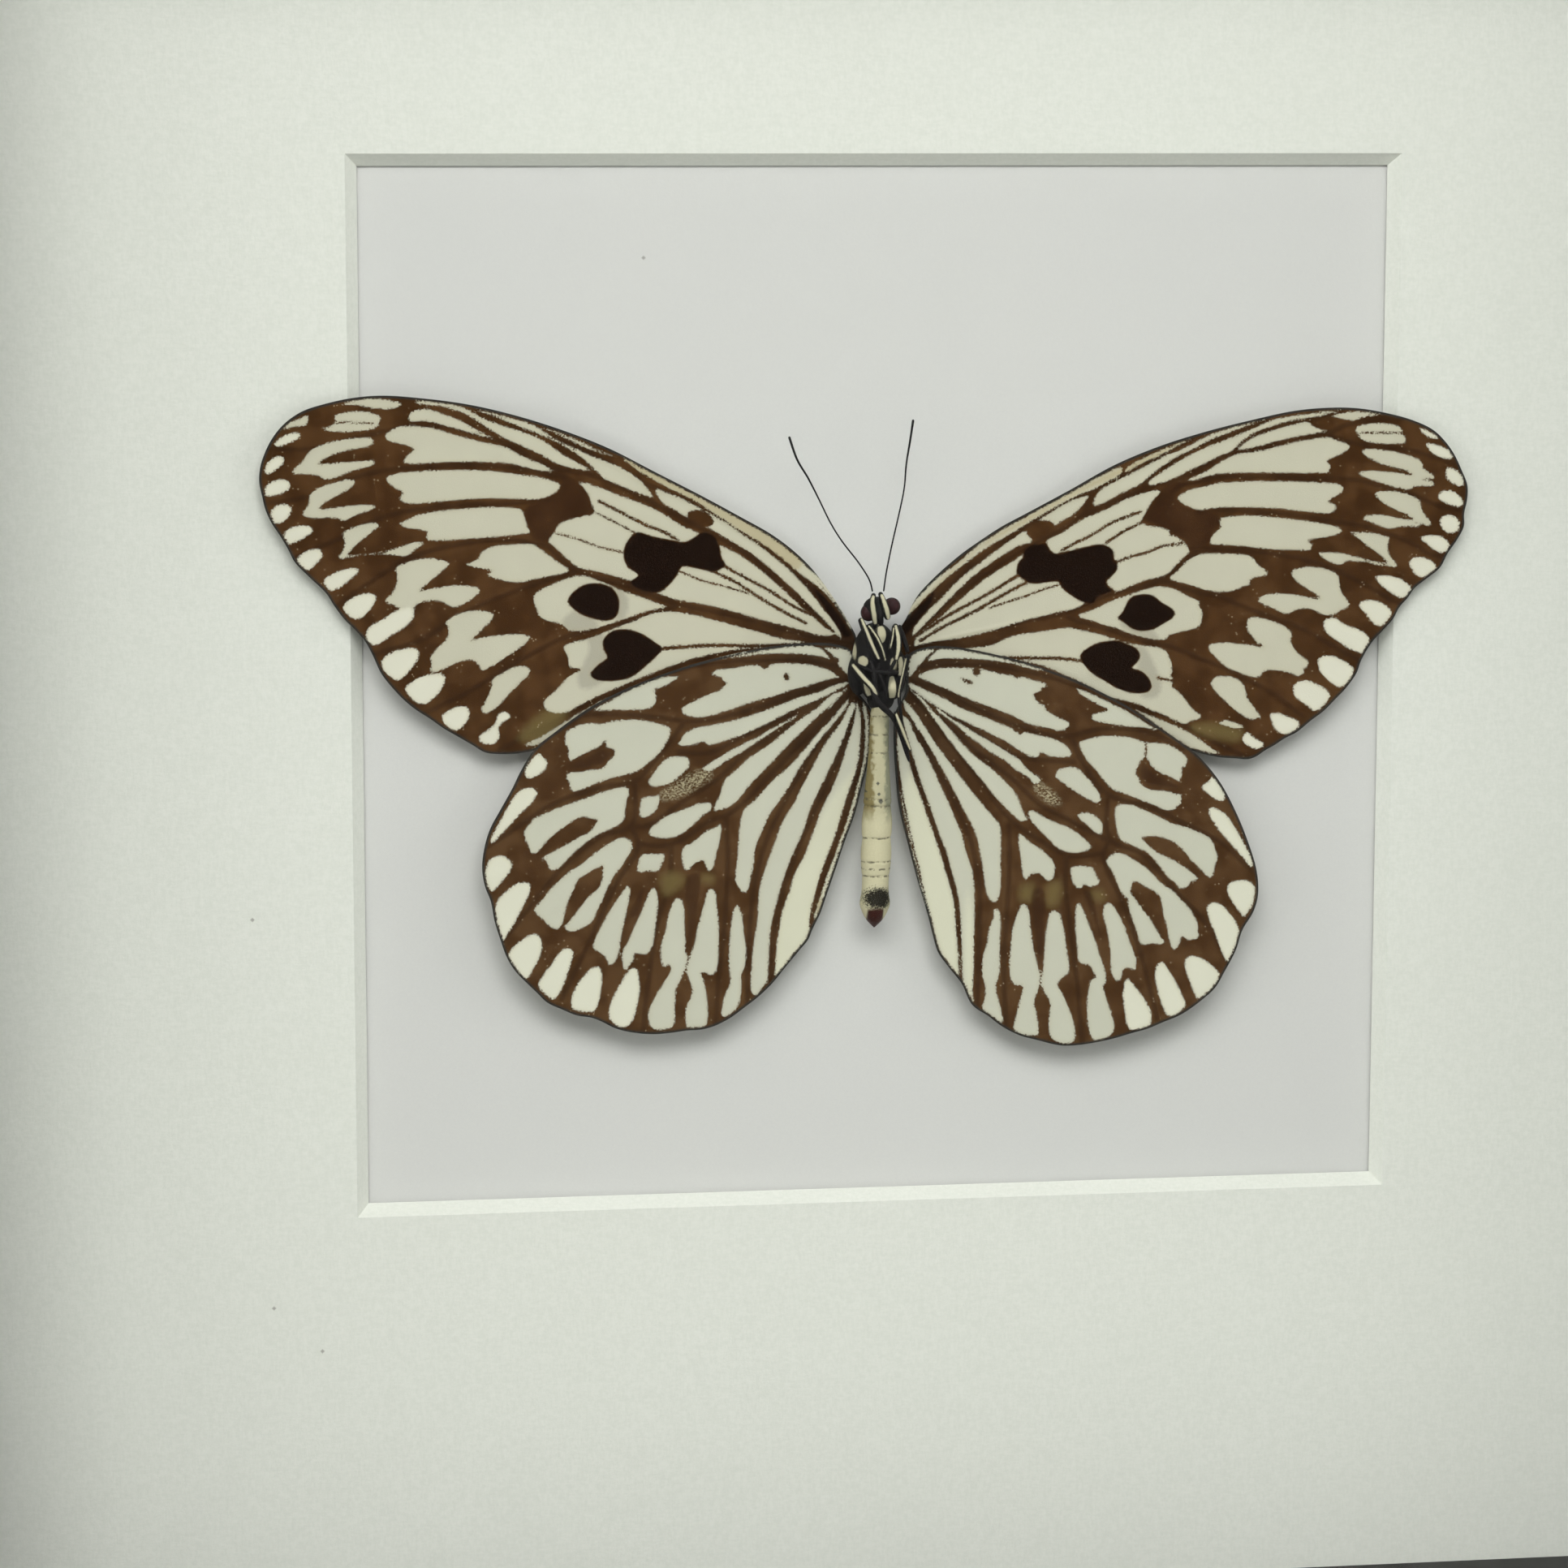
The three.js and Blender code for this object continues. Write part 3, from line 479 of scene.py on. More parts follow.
# Pale cells between the veins, round cream spots along the margin, near-black blots, grey haloes beside
# them, warm tints, olive patches where scales are thin, a worn patch, thin dark streaks and thin pale
# slivers with their half widths, and the veins' middle lines.
FOREWING_LEFT_MARKS = {
    "rim": 0.26,
    "spots": [
        [(-65.5, 27.1), (-65.1, 27.7), (-64.2, 28.2), (-63.1, 28.4), (-62.65, 28.15), (-63, 27.7),
         (-64.1, 27.2), (-65.1, 26.9)],
        [(-66.55, 24.4), (-66.3, 25.1), (-65.4, 25.9), (-64.7, 25.9), (-64.4, 25.4), (-64.9, 24.8),
         (-65.8, 24.15), (-66.35, 24)],
        [(-66.6, 22.2), (-66.3, 22.9), (-65.1, 23.5), (-63.95, 23.2), (-63.9, 22.55), (-64.4, 22.1),
         (-65.7, 21.7), (-66.4, 21.7)],
        [(-66.05, 19.6), (-65.7, 20.45), (-64.7, 20.9), (-63.9, 20.65), (-63.75, 20.1), (-64.2, 19.35),
         (-64.95, 18.8), (-65.7, 18.9)],
        [(-64.7, 17.4), (-64.2, 18.2), (-62.85, 18.6), (-61.7, 18.4), (-61.5, 18), (-62.1, 17.45),
         (-63.3, 16.8), (-64.3, 16.6)],
        [(-63.3, 14.9), (-63, 15.4), (-61.9, 16), (-60.75, 16), (-60.55, 15.3), (-61.2, 14.5), (-62, 13.8),
         (-62.85, 14.2)],
        [(-60.5, 12.7), (-59.6, 13.4), (-58.2, 13.9), (-56.9, 13.95), (-56.7, 13.7), (-57.7, 12.7),
         (-58.9, 11.8), (-59.9, 11.6)],
        [(-58.5, 9.8), (-57.4, 10.9), (-55.6, 11.3), (-54.95, 11), (-55.2, 10), (-56.3, 8.8), (-57.2, 8.5),
         (-58, 9)],
        [(-56.1, 6.7), (-55.8, 7.6), (-54.1, 8.6), (-52.5, 9.6), (-51.2, 9.7), (-50.9, 8.8), (-51.9, 7.6),
         (-53.4, 6.7), (-54.7, 5.8), (-55.3, 5.7), (-55.8, 6.05)],
        [(-54.5, 3.6), (-54.3, 4.3), (-53, 5.1), (-51.2, 5.4), (-50.5, 5.1), (-50.5, 4.3), (-51.2, 3.2),
         (-52.3, 2.1), (-52.85, 1.9), (-53.85, 2.5)],
        [(-52, 1), (-51.6, 1.5), (-50.3, 2.3), (-48.5, 2.6), (-47.7, 2.3), (-47.8, 1.5), (-48.5, 0.3),
         (-49.65, -0.6), (-50.5, -0.7), (-51.4, 0)],
        [(-48.15, -2.2), (-47.7, -1.6), (-46.45, -1), (-45.5, -1), (-45.1, -1.6), (-45.35, -2.6),
         (-46.1, -3.4), (-46.7, -3.6), (-47.7, -3)],
        [(-44.2, -4.5), (-44, -4.1), (-42.8, -3.3), (-42.3, -2.6), (-42.15, -2), (-41.3, -1.6),
         (-40.7, -2.2), (-41.5, -2.8), (-42, -3.3), (-41.9, -4.3), (-42.5, -5.1), (-43.6, -5.1)],
    ],
    "cells": [
        [(-64.9, 28.6), (-64.1, 29.3), (-62.6, 29.95), (-61.9, 30.2), (-62, 29.2), (-63.3, 29)],
        [(-58.4, 31.3), (-57.3, 31.7), (-55.2, 31.9), (-53.7, 31.8), (-51.9, 31.3), (-53.2, 30.8),
         (-55.2, 30.9), (-56.6, 31.2)],
        [(-60.5, 28.8), (-59.1, 29.3), (-59.1, 30.1), (-58.2, 30.45), (-56.2, 30.6), (-54.6, 30.2),
         (-54.2, 29.8), (-54.8, 28.85), (-56.2, 28.5), (-58.2, 28.4), (-59.6, 28.5)],
        [(-63.2, 24.8), (-62.6, 25.3), (-61.9, 26.3), (-61, 26.9), (-59.4, 27.4), (-57.2, 27.75),
         (-55.2, 27.75), (-55, 27.3), (-55.4, 26.9), (-57.6, 26.5), (-59.6, 25.9), (-60.9, 25.05),
         (-59.2, 25.15), (-56.2, 25.35), (-55, 25.4), (-55, 25), (-57.2, 24.3), (-60.1, 23.4),
         (-60.9, 23.8), (-62.8, 24), (-63.7, 24.05)],
        [(-62.6, 19.7), (-61.9, 20.95), (-61.9, 21.7), (-60.9, 22.55), (-59.4, 23.05), (-57.7, 23.4),
         (-57, 23.2), (-57.4, 22.55), (-58.9, 21.7), (-60.4, 20.8), (-60.8, 20.3), (-59.1, 20.45),
         (-57.2, 20.65), (-55.4, 20.7), (-54.9, 20.5), (-55.2, 20.2), (-56.7, 19.7), (-58.3, 19),
         (-59.1, 19.3), (-61.4, 19.3)],
        [(-58.4, 17.7), (-57.2, 18.35), (-55.2, 18.8), (-54.5, 18.6), (-55.2, 17.85), (-56.3, 17),
         (-57.4, 16), (-57.9, 15.4), (-56.2, 15.5), (-54.2, 15.65), (-52.2, 16.25), (-50.5, 16.7),
         (-49.8, 16.5), (-50.6, 15.95), (-51.25, 15.4), (-51.9, 15.15), (-53, 15.3), (-55.2, 15.4),
         (-56.7, 15.3), (-58.9, 15), (-58.4, 15.9), (-58.2, 16.75)],
        [(-54, 10.35), (-53, 11.6), (-52.7, 13.05), (-52.85, 13.9), (-51.7, 14.5), (-49.8, 14.95),
         (-47.8, 14.7), (-47.1, 14.3), (-48.3, 13.2), (-49.8, 11.95), (-50.3, 11.5), (-49, 11.7),
         (-47.05, 12), (-45.1, 11.95), (-43.85, 11.5), (-44.6, 10.6), (-46.3, 9.7), (-47.1, 9.7),
         (-47.8, 10.2), (-49.5, 10.35), (-50.8, 9.85), (-51, 9.3), (-52.5, 9.6), (-53.2, 10)],
        [(-49.3, 4.3), (-48.55, 5.3), (-47.45, 6.4), (-47.3, 7.4), (-47.55, 8), (-46.6, 8.8), (-45, 9.25),
         (-43.25, 9.2), (-42.4, 8.75), (-43.25, 7.6), (-44.35, 6.6), (-44.85, 6.1), (-43.7, 6.4),
         (-41.9, 6.6), (-39.7, 6.7), (-38.6, 6.3), (-39.5, 5.3), (-41.05, 4.3), (-42.4, 3.4),
         (-43.7, 2.85), (-44.1, 3.4), (-44.8, 3.95), (-46.35, 3.7), (-47.7, 3.1), (-48.5, 2.8),
         (-49.3, 2.85), (-49.1, 3.6)],
        [(-43.9, -1.45), (-43.35, -0.35), (-42.8, 1), (-42.6, 1.9), (-41.5, 2.6), (-40.2, 3.2),
         (-38.8, 3.1), (-38.6, 2.5), (-39.5, 1.6), (-40.6, 0.5), (-41.7, -0.7), (-42.8, -1.6),
         (-43.5, -1.8)],
        [(-37, 28.75), (-34, 27.6), (-31, 26.2), (-29.3, 25.5), (-32, 26.3), (-34, 27.2), (-36, 28.2)],
        [(-44.6, 30.8), (-41, 29.9), (-38, 28.95), (-36, 27.6), (-33.5, 26.4), (-31, 25.3), (-28.6, 24.3),
         (-26.6, 22.9), (-26, 22.2), (-25.3, 21.1), (-26.6, 21.5), (-28.6, 22.3), (-30.7, 23.3),
         (-31.4, 24), (-33, 25.5), (-35, 26.8), (-37.5, 28), (-40, 29), (-42.5, 30)],
        [(-50.6, 31.7), (-47.5, 31.35), (-45.5, 30.9), (-43.8, 29.95), (-41.5, 29), (-39, 28.2),
         (-37, 27.3), (-35.2, 26), (-33.2, 24.85), (-31.9, 24.05), (-35.3, 24.7), (-37, 25.6),
         (-39, 26.6), (-41, 27.5), (-42.5, 28.4), (-44, 29.4), (-45.6, 30.3), (-48, 31.05),
         (-50.5, 31.4)],
        [(-51.2, 30.3), (-49.5, 30.8), (-47.8, 30.3), (-45.8, 29.5), (-43.8, 28.35), (-42.1, 27.5),
         (-44.1, 28), (-47.05, 28.85), (-49.5, 29.5), (-51.2, 29.5)],
        [(-53.8, 28), (-53, 28.7), (-51.7, 29), (-49, 28.8), (-46.3, 28), (-43.35, 27.2), (-41.1, 26.7),
         (-38.9, 25.5), (-36.9, 24.65), (-35.8, 24), (-37.9, 24.2), (-40.4, 24.85), (-44.1, 25.1),
         (-47.8, 25.1), (-51.9, 25.1), (-51.5, 25.9), (-50.75, 26.5), (-51.25, 26.8), (-52.7, 27.2),
         (-53.6, 27.5)],
        [(-53.8, 23.4), (-53, 23.9), (-50.3, 24.2), (-46.6, 24.3), (-42.9, 24.2), (-39.9, 23.8),
         (-36.9, 23.3), (-35.2, 22.55), (-35.7, 21.8), (-37.4, 21.1), (-40.4, 21.15), (-44.1, 21.2),
         (-47.8, 20.95), (-51.7, 20.8), (-52.4, 21.3), (-52, 21.9), (-53, 22.55)],
        [(-52.4, 18.6), (-51.7, 19), (-50.3, 19.6), (-47.8, 20), (-45.3, 20.2), (-42.1, 20.3),
         (-39.65, 20.1), (-39.2, 19.7), (-38.8, 18.2), (-38.5, 17.6), (-40.4, 17.25), (-44.1, 17),
         (-47.8, 16.8), (-49.5, 16.9), (-49.5, 17.7), (-50.5, 18), (-51.7, 18.2)],
        [(-45.3, 14.2), (-44.1, 14.8), (-43.7, 15.5), (-42.6, 16.1), (-40.4, 16.3), (-38.2, 16.3),
         (-36.9, 15.4), (-35.45, 14.3), (-34.35, 13.5), (-34.7, 13.2), (-37.2, 12.7), (-39.9, 12.2),
         (-42.1, 12.6), (-43.1, 13.05), (-42.6, 13.5), (-44.1, 13.8)],
        [(-38.2, 10.7), (-37.5, 11.35), (-35.3, 12.35), (-33.1, 12.9), (-31.1, 12.3), (-28.6, 11.2),
         (-26.6, 10.5), (-24.6, 9.7), (-23.9, 9.4), (-26.1, 8.9), (-29.1, 7.9), (-32.3, 7), (-34.4, 6.95),
         (-35.1, 7.6), (-37.3, 8.3), (-37.95, 9.4)],
        [(-35, 5.2), (-34.4, 5.6), (-33.1, 5.9), (-31.5, 6.4), (-29.5, 7.2), (-27.5, 7.9), (-25.5, 8.7),
         (-23.7, 8.9), (-21.5, 8.6), (-18, 7.7), (-14.5, 6.7), (-11.5, 5.8), (-9, 5.35), (-12, 5),
         (-17, 4.55), (-21, 3.75), (-25, 2.4), (-28, 1.2), (-31, 0), (-33.1, -1), (-34.6, -1.8),
         (-35.95, -1.9), (-37, -1.45), (-37.2, -0.7), (-35.7, 0.75), (-34.4, 2.1), (-33.2, 2.75),
         (-34.3, 3), (-34.6, 4.3)],
        [(-33.3, 22.9), (-32.3, 21.6), (-31.9, 20.35), (-31.6, 19.6), (-33.5, 19.1), (-35.3, 18.5),
         (-35.95, 17.6), (-36.6, 16.5), (-36.2, 16.2), (-34.8, 14.9), (-33.5, 13.8), (-31.1, 13.2),
         (-27.9, 12.2), (-25.1, 11), (-23.2, 10.2), (-20, 9.6), (-16.2, 8.6), (-12.5, 7.5), (-9.3, 6.65),
         (-7.1, 6), (-5.4, 6.15), (-6.4, 6.7), (-7.6, 7.7), (-9.2, 9.1), (-11.3, 11.1), (-13.8, 13.3),
         (-16.2, 15), (-18.2, 16), (-20, 17.1), (-22.2, 18.1), (-24.4, 19.5), (-26.1, 20.35),
         (-28.6, 21.3), (-31.1, 22.3)],
        [(-5, 5.7), (-5, 6.5), (-6, 7.8), (-7, 9.1), (-8.5, 11), (-10, 12.6), (-11, 13.6), (-12.5, 14.8),
         (-14, 16), (-16, 17.3), (-17.5, 18.4), (-18.4, 18.9), (-20.2, 19.9), (-22, 20.9), (-23.7, 21.6),
         (-25.1, 22.1), (-24.4, 20.6), (-22.7, 19.6), (-21.2, 18.6), (-19.4, 17.8), (-18, 17),
         (-16.5, 16.1), (-15, 15.2), (-13, 13.6), (-11.5, 12.3), (-10, 10.9), (-9, 9.9), (-8, 8.9),
         (-7, 7.9), (-6, 6.8)],
        [(-28.6, 25.4), (-26.1, 24.1), (-24, 23), (-20, 20.9), (-16, 18.7), (-13, 17), (-10, 14.8),
         (-8.5, 13.5), (-7, 12), (-6, 10.8), (-5, 9.2), (-4.1, 7.6), (-4.1, 7.1), (-5, 8.5), (-6, 9.8),
         (-7, 10.9), (-8, 11.7), (-9.5, 12.8), (-11, 14.1), (-12.5, 15.3), (-14, 16.3), (-16, 17.5),
         (-17.5, 18.5), (-19, 19.5), (-21, 20.8), (-24, 22.3), (-25.6, 23.2), (-27.9, 24.7)],
        [(-39.3, -5.3), (-37.5, -4.4), (-35.5, -3.2), (-33.5, -2), (-31.5, -0.9), (-30.3, -0.3),
         (-31.5, -1.2), (-33, -2.2), (-34.5, -3.1), (-36, -4.1), (-37.5, -5.1), (-38.6, -5.4)],
    ],
    "streaks": [
        (0.17, [[(-24.3, 4.9), (-19, 5.15), (-14, 5), (-10, 5.1)]]),
        (0.13, [[(-17.7, 13.7), (-15, 12.2), (-12.3, 10.7), (-10.1, 9.2), (-7.9, 8.2)],
                [(-19, 13.2), (-16.2, 11.8), (-13.8, 10.2), (-11.3, 8.7), (-8.8, 7.4)],
                [(-31.1, 20.8), (-28.6, 19.5), (-26.1, 18.2), (-24.1, 17.4), (-22.7, 16.5)]]),
        (0.06, [[(-22.5, 13.2), (-20.2, 12.2), (-17.7, 11.5), (-15, 10.7)],
                [(-31.3, 19.5), (-28.8, 18.2), (-27.4, 17.4)],
                [(-36, 17.5), (-33.5, 16.8), (-31.1, 15.9), (-28.6, 15.3)],
                [(-60, 29.4), (-57.5, 29.4), (-55, 29.3)]]),
    ],
    "slivers": [(0.1, [[(-3.9, 6.8), (-4.6, 8.2), (-5.4, 9.5)]]), (0.25, [[(-5.6, 9.9), (-7.5, 12.1),
                                                                           (-9.5, 13.8)]])],
    "dark": [
        [(-3.8, 6), (-4.3, 6.9), (-6, 9.4), (-8, 11.4), (-7.2, 9.7), (-5.6, 7.3), (-4.5, 5.8)],
        [(-28.5, 15.2), (-28.1, 16.4), (-27.1, 17.4), (-25.6, 17), (-23.7, 16.6), (-21.9, 16.3),
         (-20.7, 16.9), (-20, 17.4), (-18.7, 16.9), (-18.2, 15.9), (-18, 14.7), (-17.6, 13.8),
         (-18.7, 13.1), (-20.2, 13.4), (-22.2, 13.7), (-22.7, 12.9), (-23.4, 12), (-24.6, 11),
         (-26.1, 11), (-27.9, 12), (-26.9, 12.8), (-28.1, 13.8)],
        [(-34.5, 10.1), (-34, 11), (-32.8, 11.8), (-31.6, 12), (-30, 11.6), (-29.2, 10.7), (-29, 9.7),
         (-29.3, 8.5), (-30.3, 8), (-32.3, 8.4), (-33.5, 9)],
        [(-30.7, 5.9), (-29.8, 6.8), (-28.3, 7), (-26.6, 6.5), (-25.1, 5.5), (-24.4, 4.9), (-24.9, 4.2),
         (-26.1, 3.1), (-27.9, 1.8), (-30.1, 1.5), (-31.6, 1.7), (-32.1, 2.2), (-31.3, 3.2), (-30.3, 4),
         (-30.7, 5)],
    ],
    "blots": [
        [(-21.6, 19.4), (-20.2, 19.7), (-19.2, 19.1), (-18.8, 18.4), (-19.7, 17.8), (-21.2, 18.1)],
    ],
    "dusky": [
        [(-35.2, 23.9), (-33.3, 22.9), (-32.3, 21.6), (-31.9, 20.3), (-31.6, 19.6), (-33.5, 19.1),
         (-35.5, 18.2), (-36.6, 16.5), (-38.4, 16.9), (-38.5, 17.6), (-39.2, 19.6), (-38.5, 20.6),
         (-36.5, 21.2), (-35.2, 22.3)],
        [(-3.7, 5.6), (-4.2, 7), (-6, 9.6), (-8.6, 12), (-11, 13.6), (-8.5, 11), (-6, 7.9), (-4.4, 5.4)],
    ],
    "halo": [
        [(-30, 12.2), (-28.6, 11.1), (-28.1, 9.9), (-28.5, 8.4), (-29.3, 8.1), (-29, 9.7), (-29.2, 10.7)],
        [(-35, 8), (-33.4, 9.1), (-32.2, 8.5), (-31.4, 7.4), (-33.2, 6.9), (-34.5, 7.1)],
        [(-32.4, 6.6), (-31, 6.7), (-30.5, 5.6), (-30.5, 4), (-31.5, 3), (-31.9, 1.9), (-31, 1.4),
         (-33, 0.8), (-33.4, 2), (-32.7, 3.4), (-32.1, 5)],
    ],
    "warm": [
        [(-28.6, 25.6), (-23.2, 22.9), (-17.2, 19.6), (-12.5, 16.9), (-9, 14.1), (-9.8, 13),
         (-14.3, 16.2), (-19.2, 19.4), (-23.7, 22), (-27.9, 24.2)],
    ],
    "yellow": [],
    "olive": [[(-40, -4.6), (-37, -1.5), (-34.5, -1.2), (-35.5, -3.6), (-37.5, -5.2)]],
    "worn": [],
    "veins": [
        [(-3.2, 5.2), (-9, 6.2), (-16, 8.2), (-23, 9.8), (-28, 11.7), (-33.5, 13.4), (-36.5, 16)],
        [(-33.5, 13.4), (-39, 11.7), (-44.5, 9.6), (-51, 5.9), (-55.6, 4.8)],
        [(-23, 9.4), (-29, 7.6), (-34.5, 6.4), (-40, 3.7), (-45, 0.7), (-50, -1.7)],
        [(-36.5, 16), (-40.5, 16.8), (-46, 16.4), (-51.5, 14.9), (-56.5, 11.8), (-59.3, 9.9)],
        [(-36.5, 21), (-41, 20.7), (-48, 20.4), (-54, 19.4), (-60, 16.6), (-63.9, 15)],
        [(-34.8, 23.4), (-41, 24.6), (-49, 24.7), (-56, 23.9), (-62, 21.6), (-66, 21)],
        [(-4.6, 5.8), (-7, 7.9), (-9, 9.5), (-12.5, 12.6), (-15, 14.8), (-20.5, 18), (-26, 20.9),
         (-31.5, 23.5), (-36, 24.3)],
        [(-36, 24.3), (-42, 27.4), (-49, 29.1), (-55, 28.2), (-62, 26.6), (-66, 26.8)],
        [(-4.6, 6.4), (-7, 9.9), (-9.5, 12.3), (-12.5, 15), (-15.5, 17), (-21, 20.4), (-26, 22.6),
         (-32, 25.9), (-38, 28.5)],
        [(-4.4, 5), (-12, 5.1), (-20, 3.9), (-28, 0.8), (-36, -2.5), (-42, -5.8)],
    ],
}
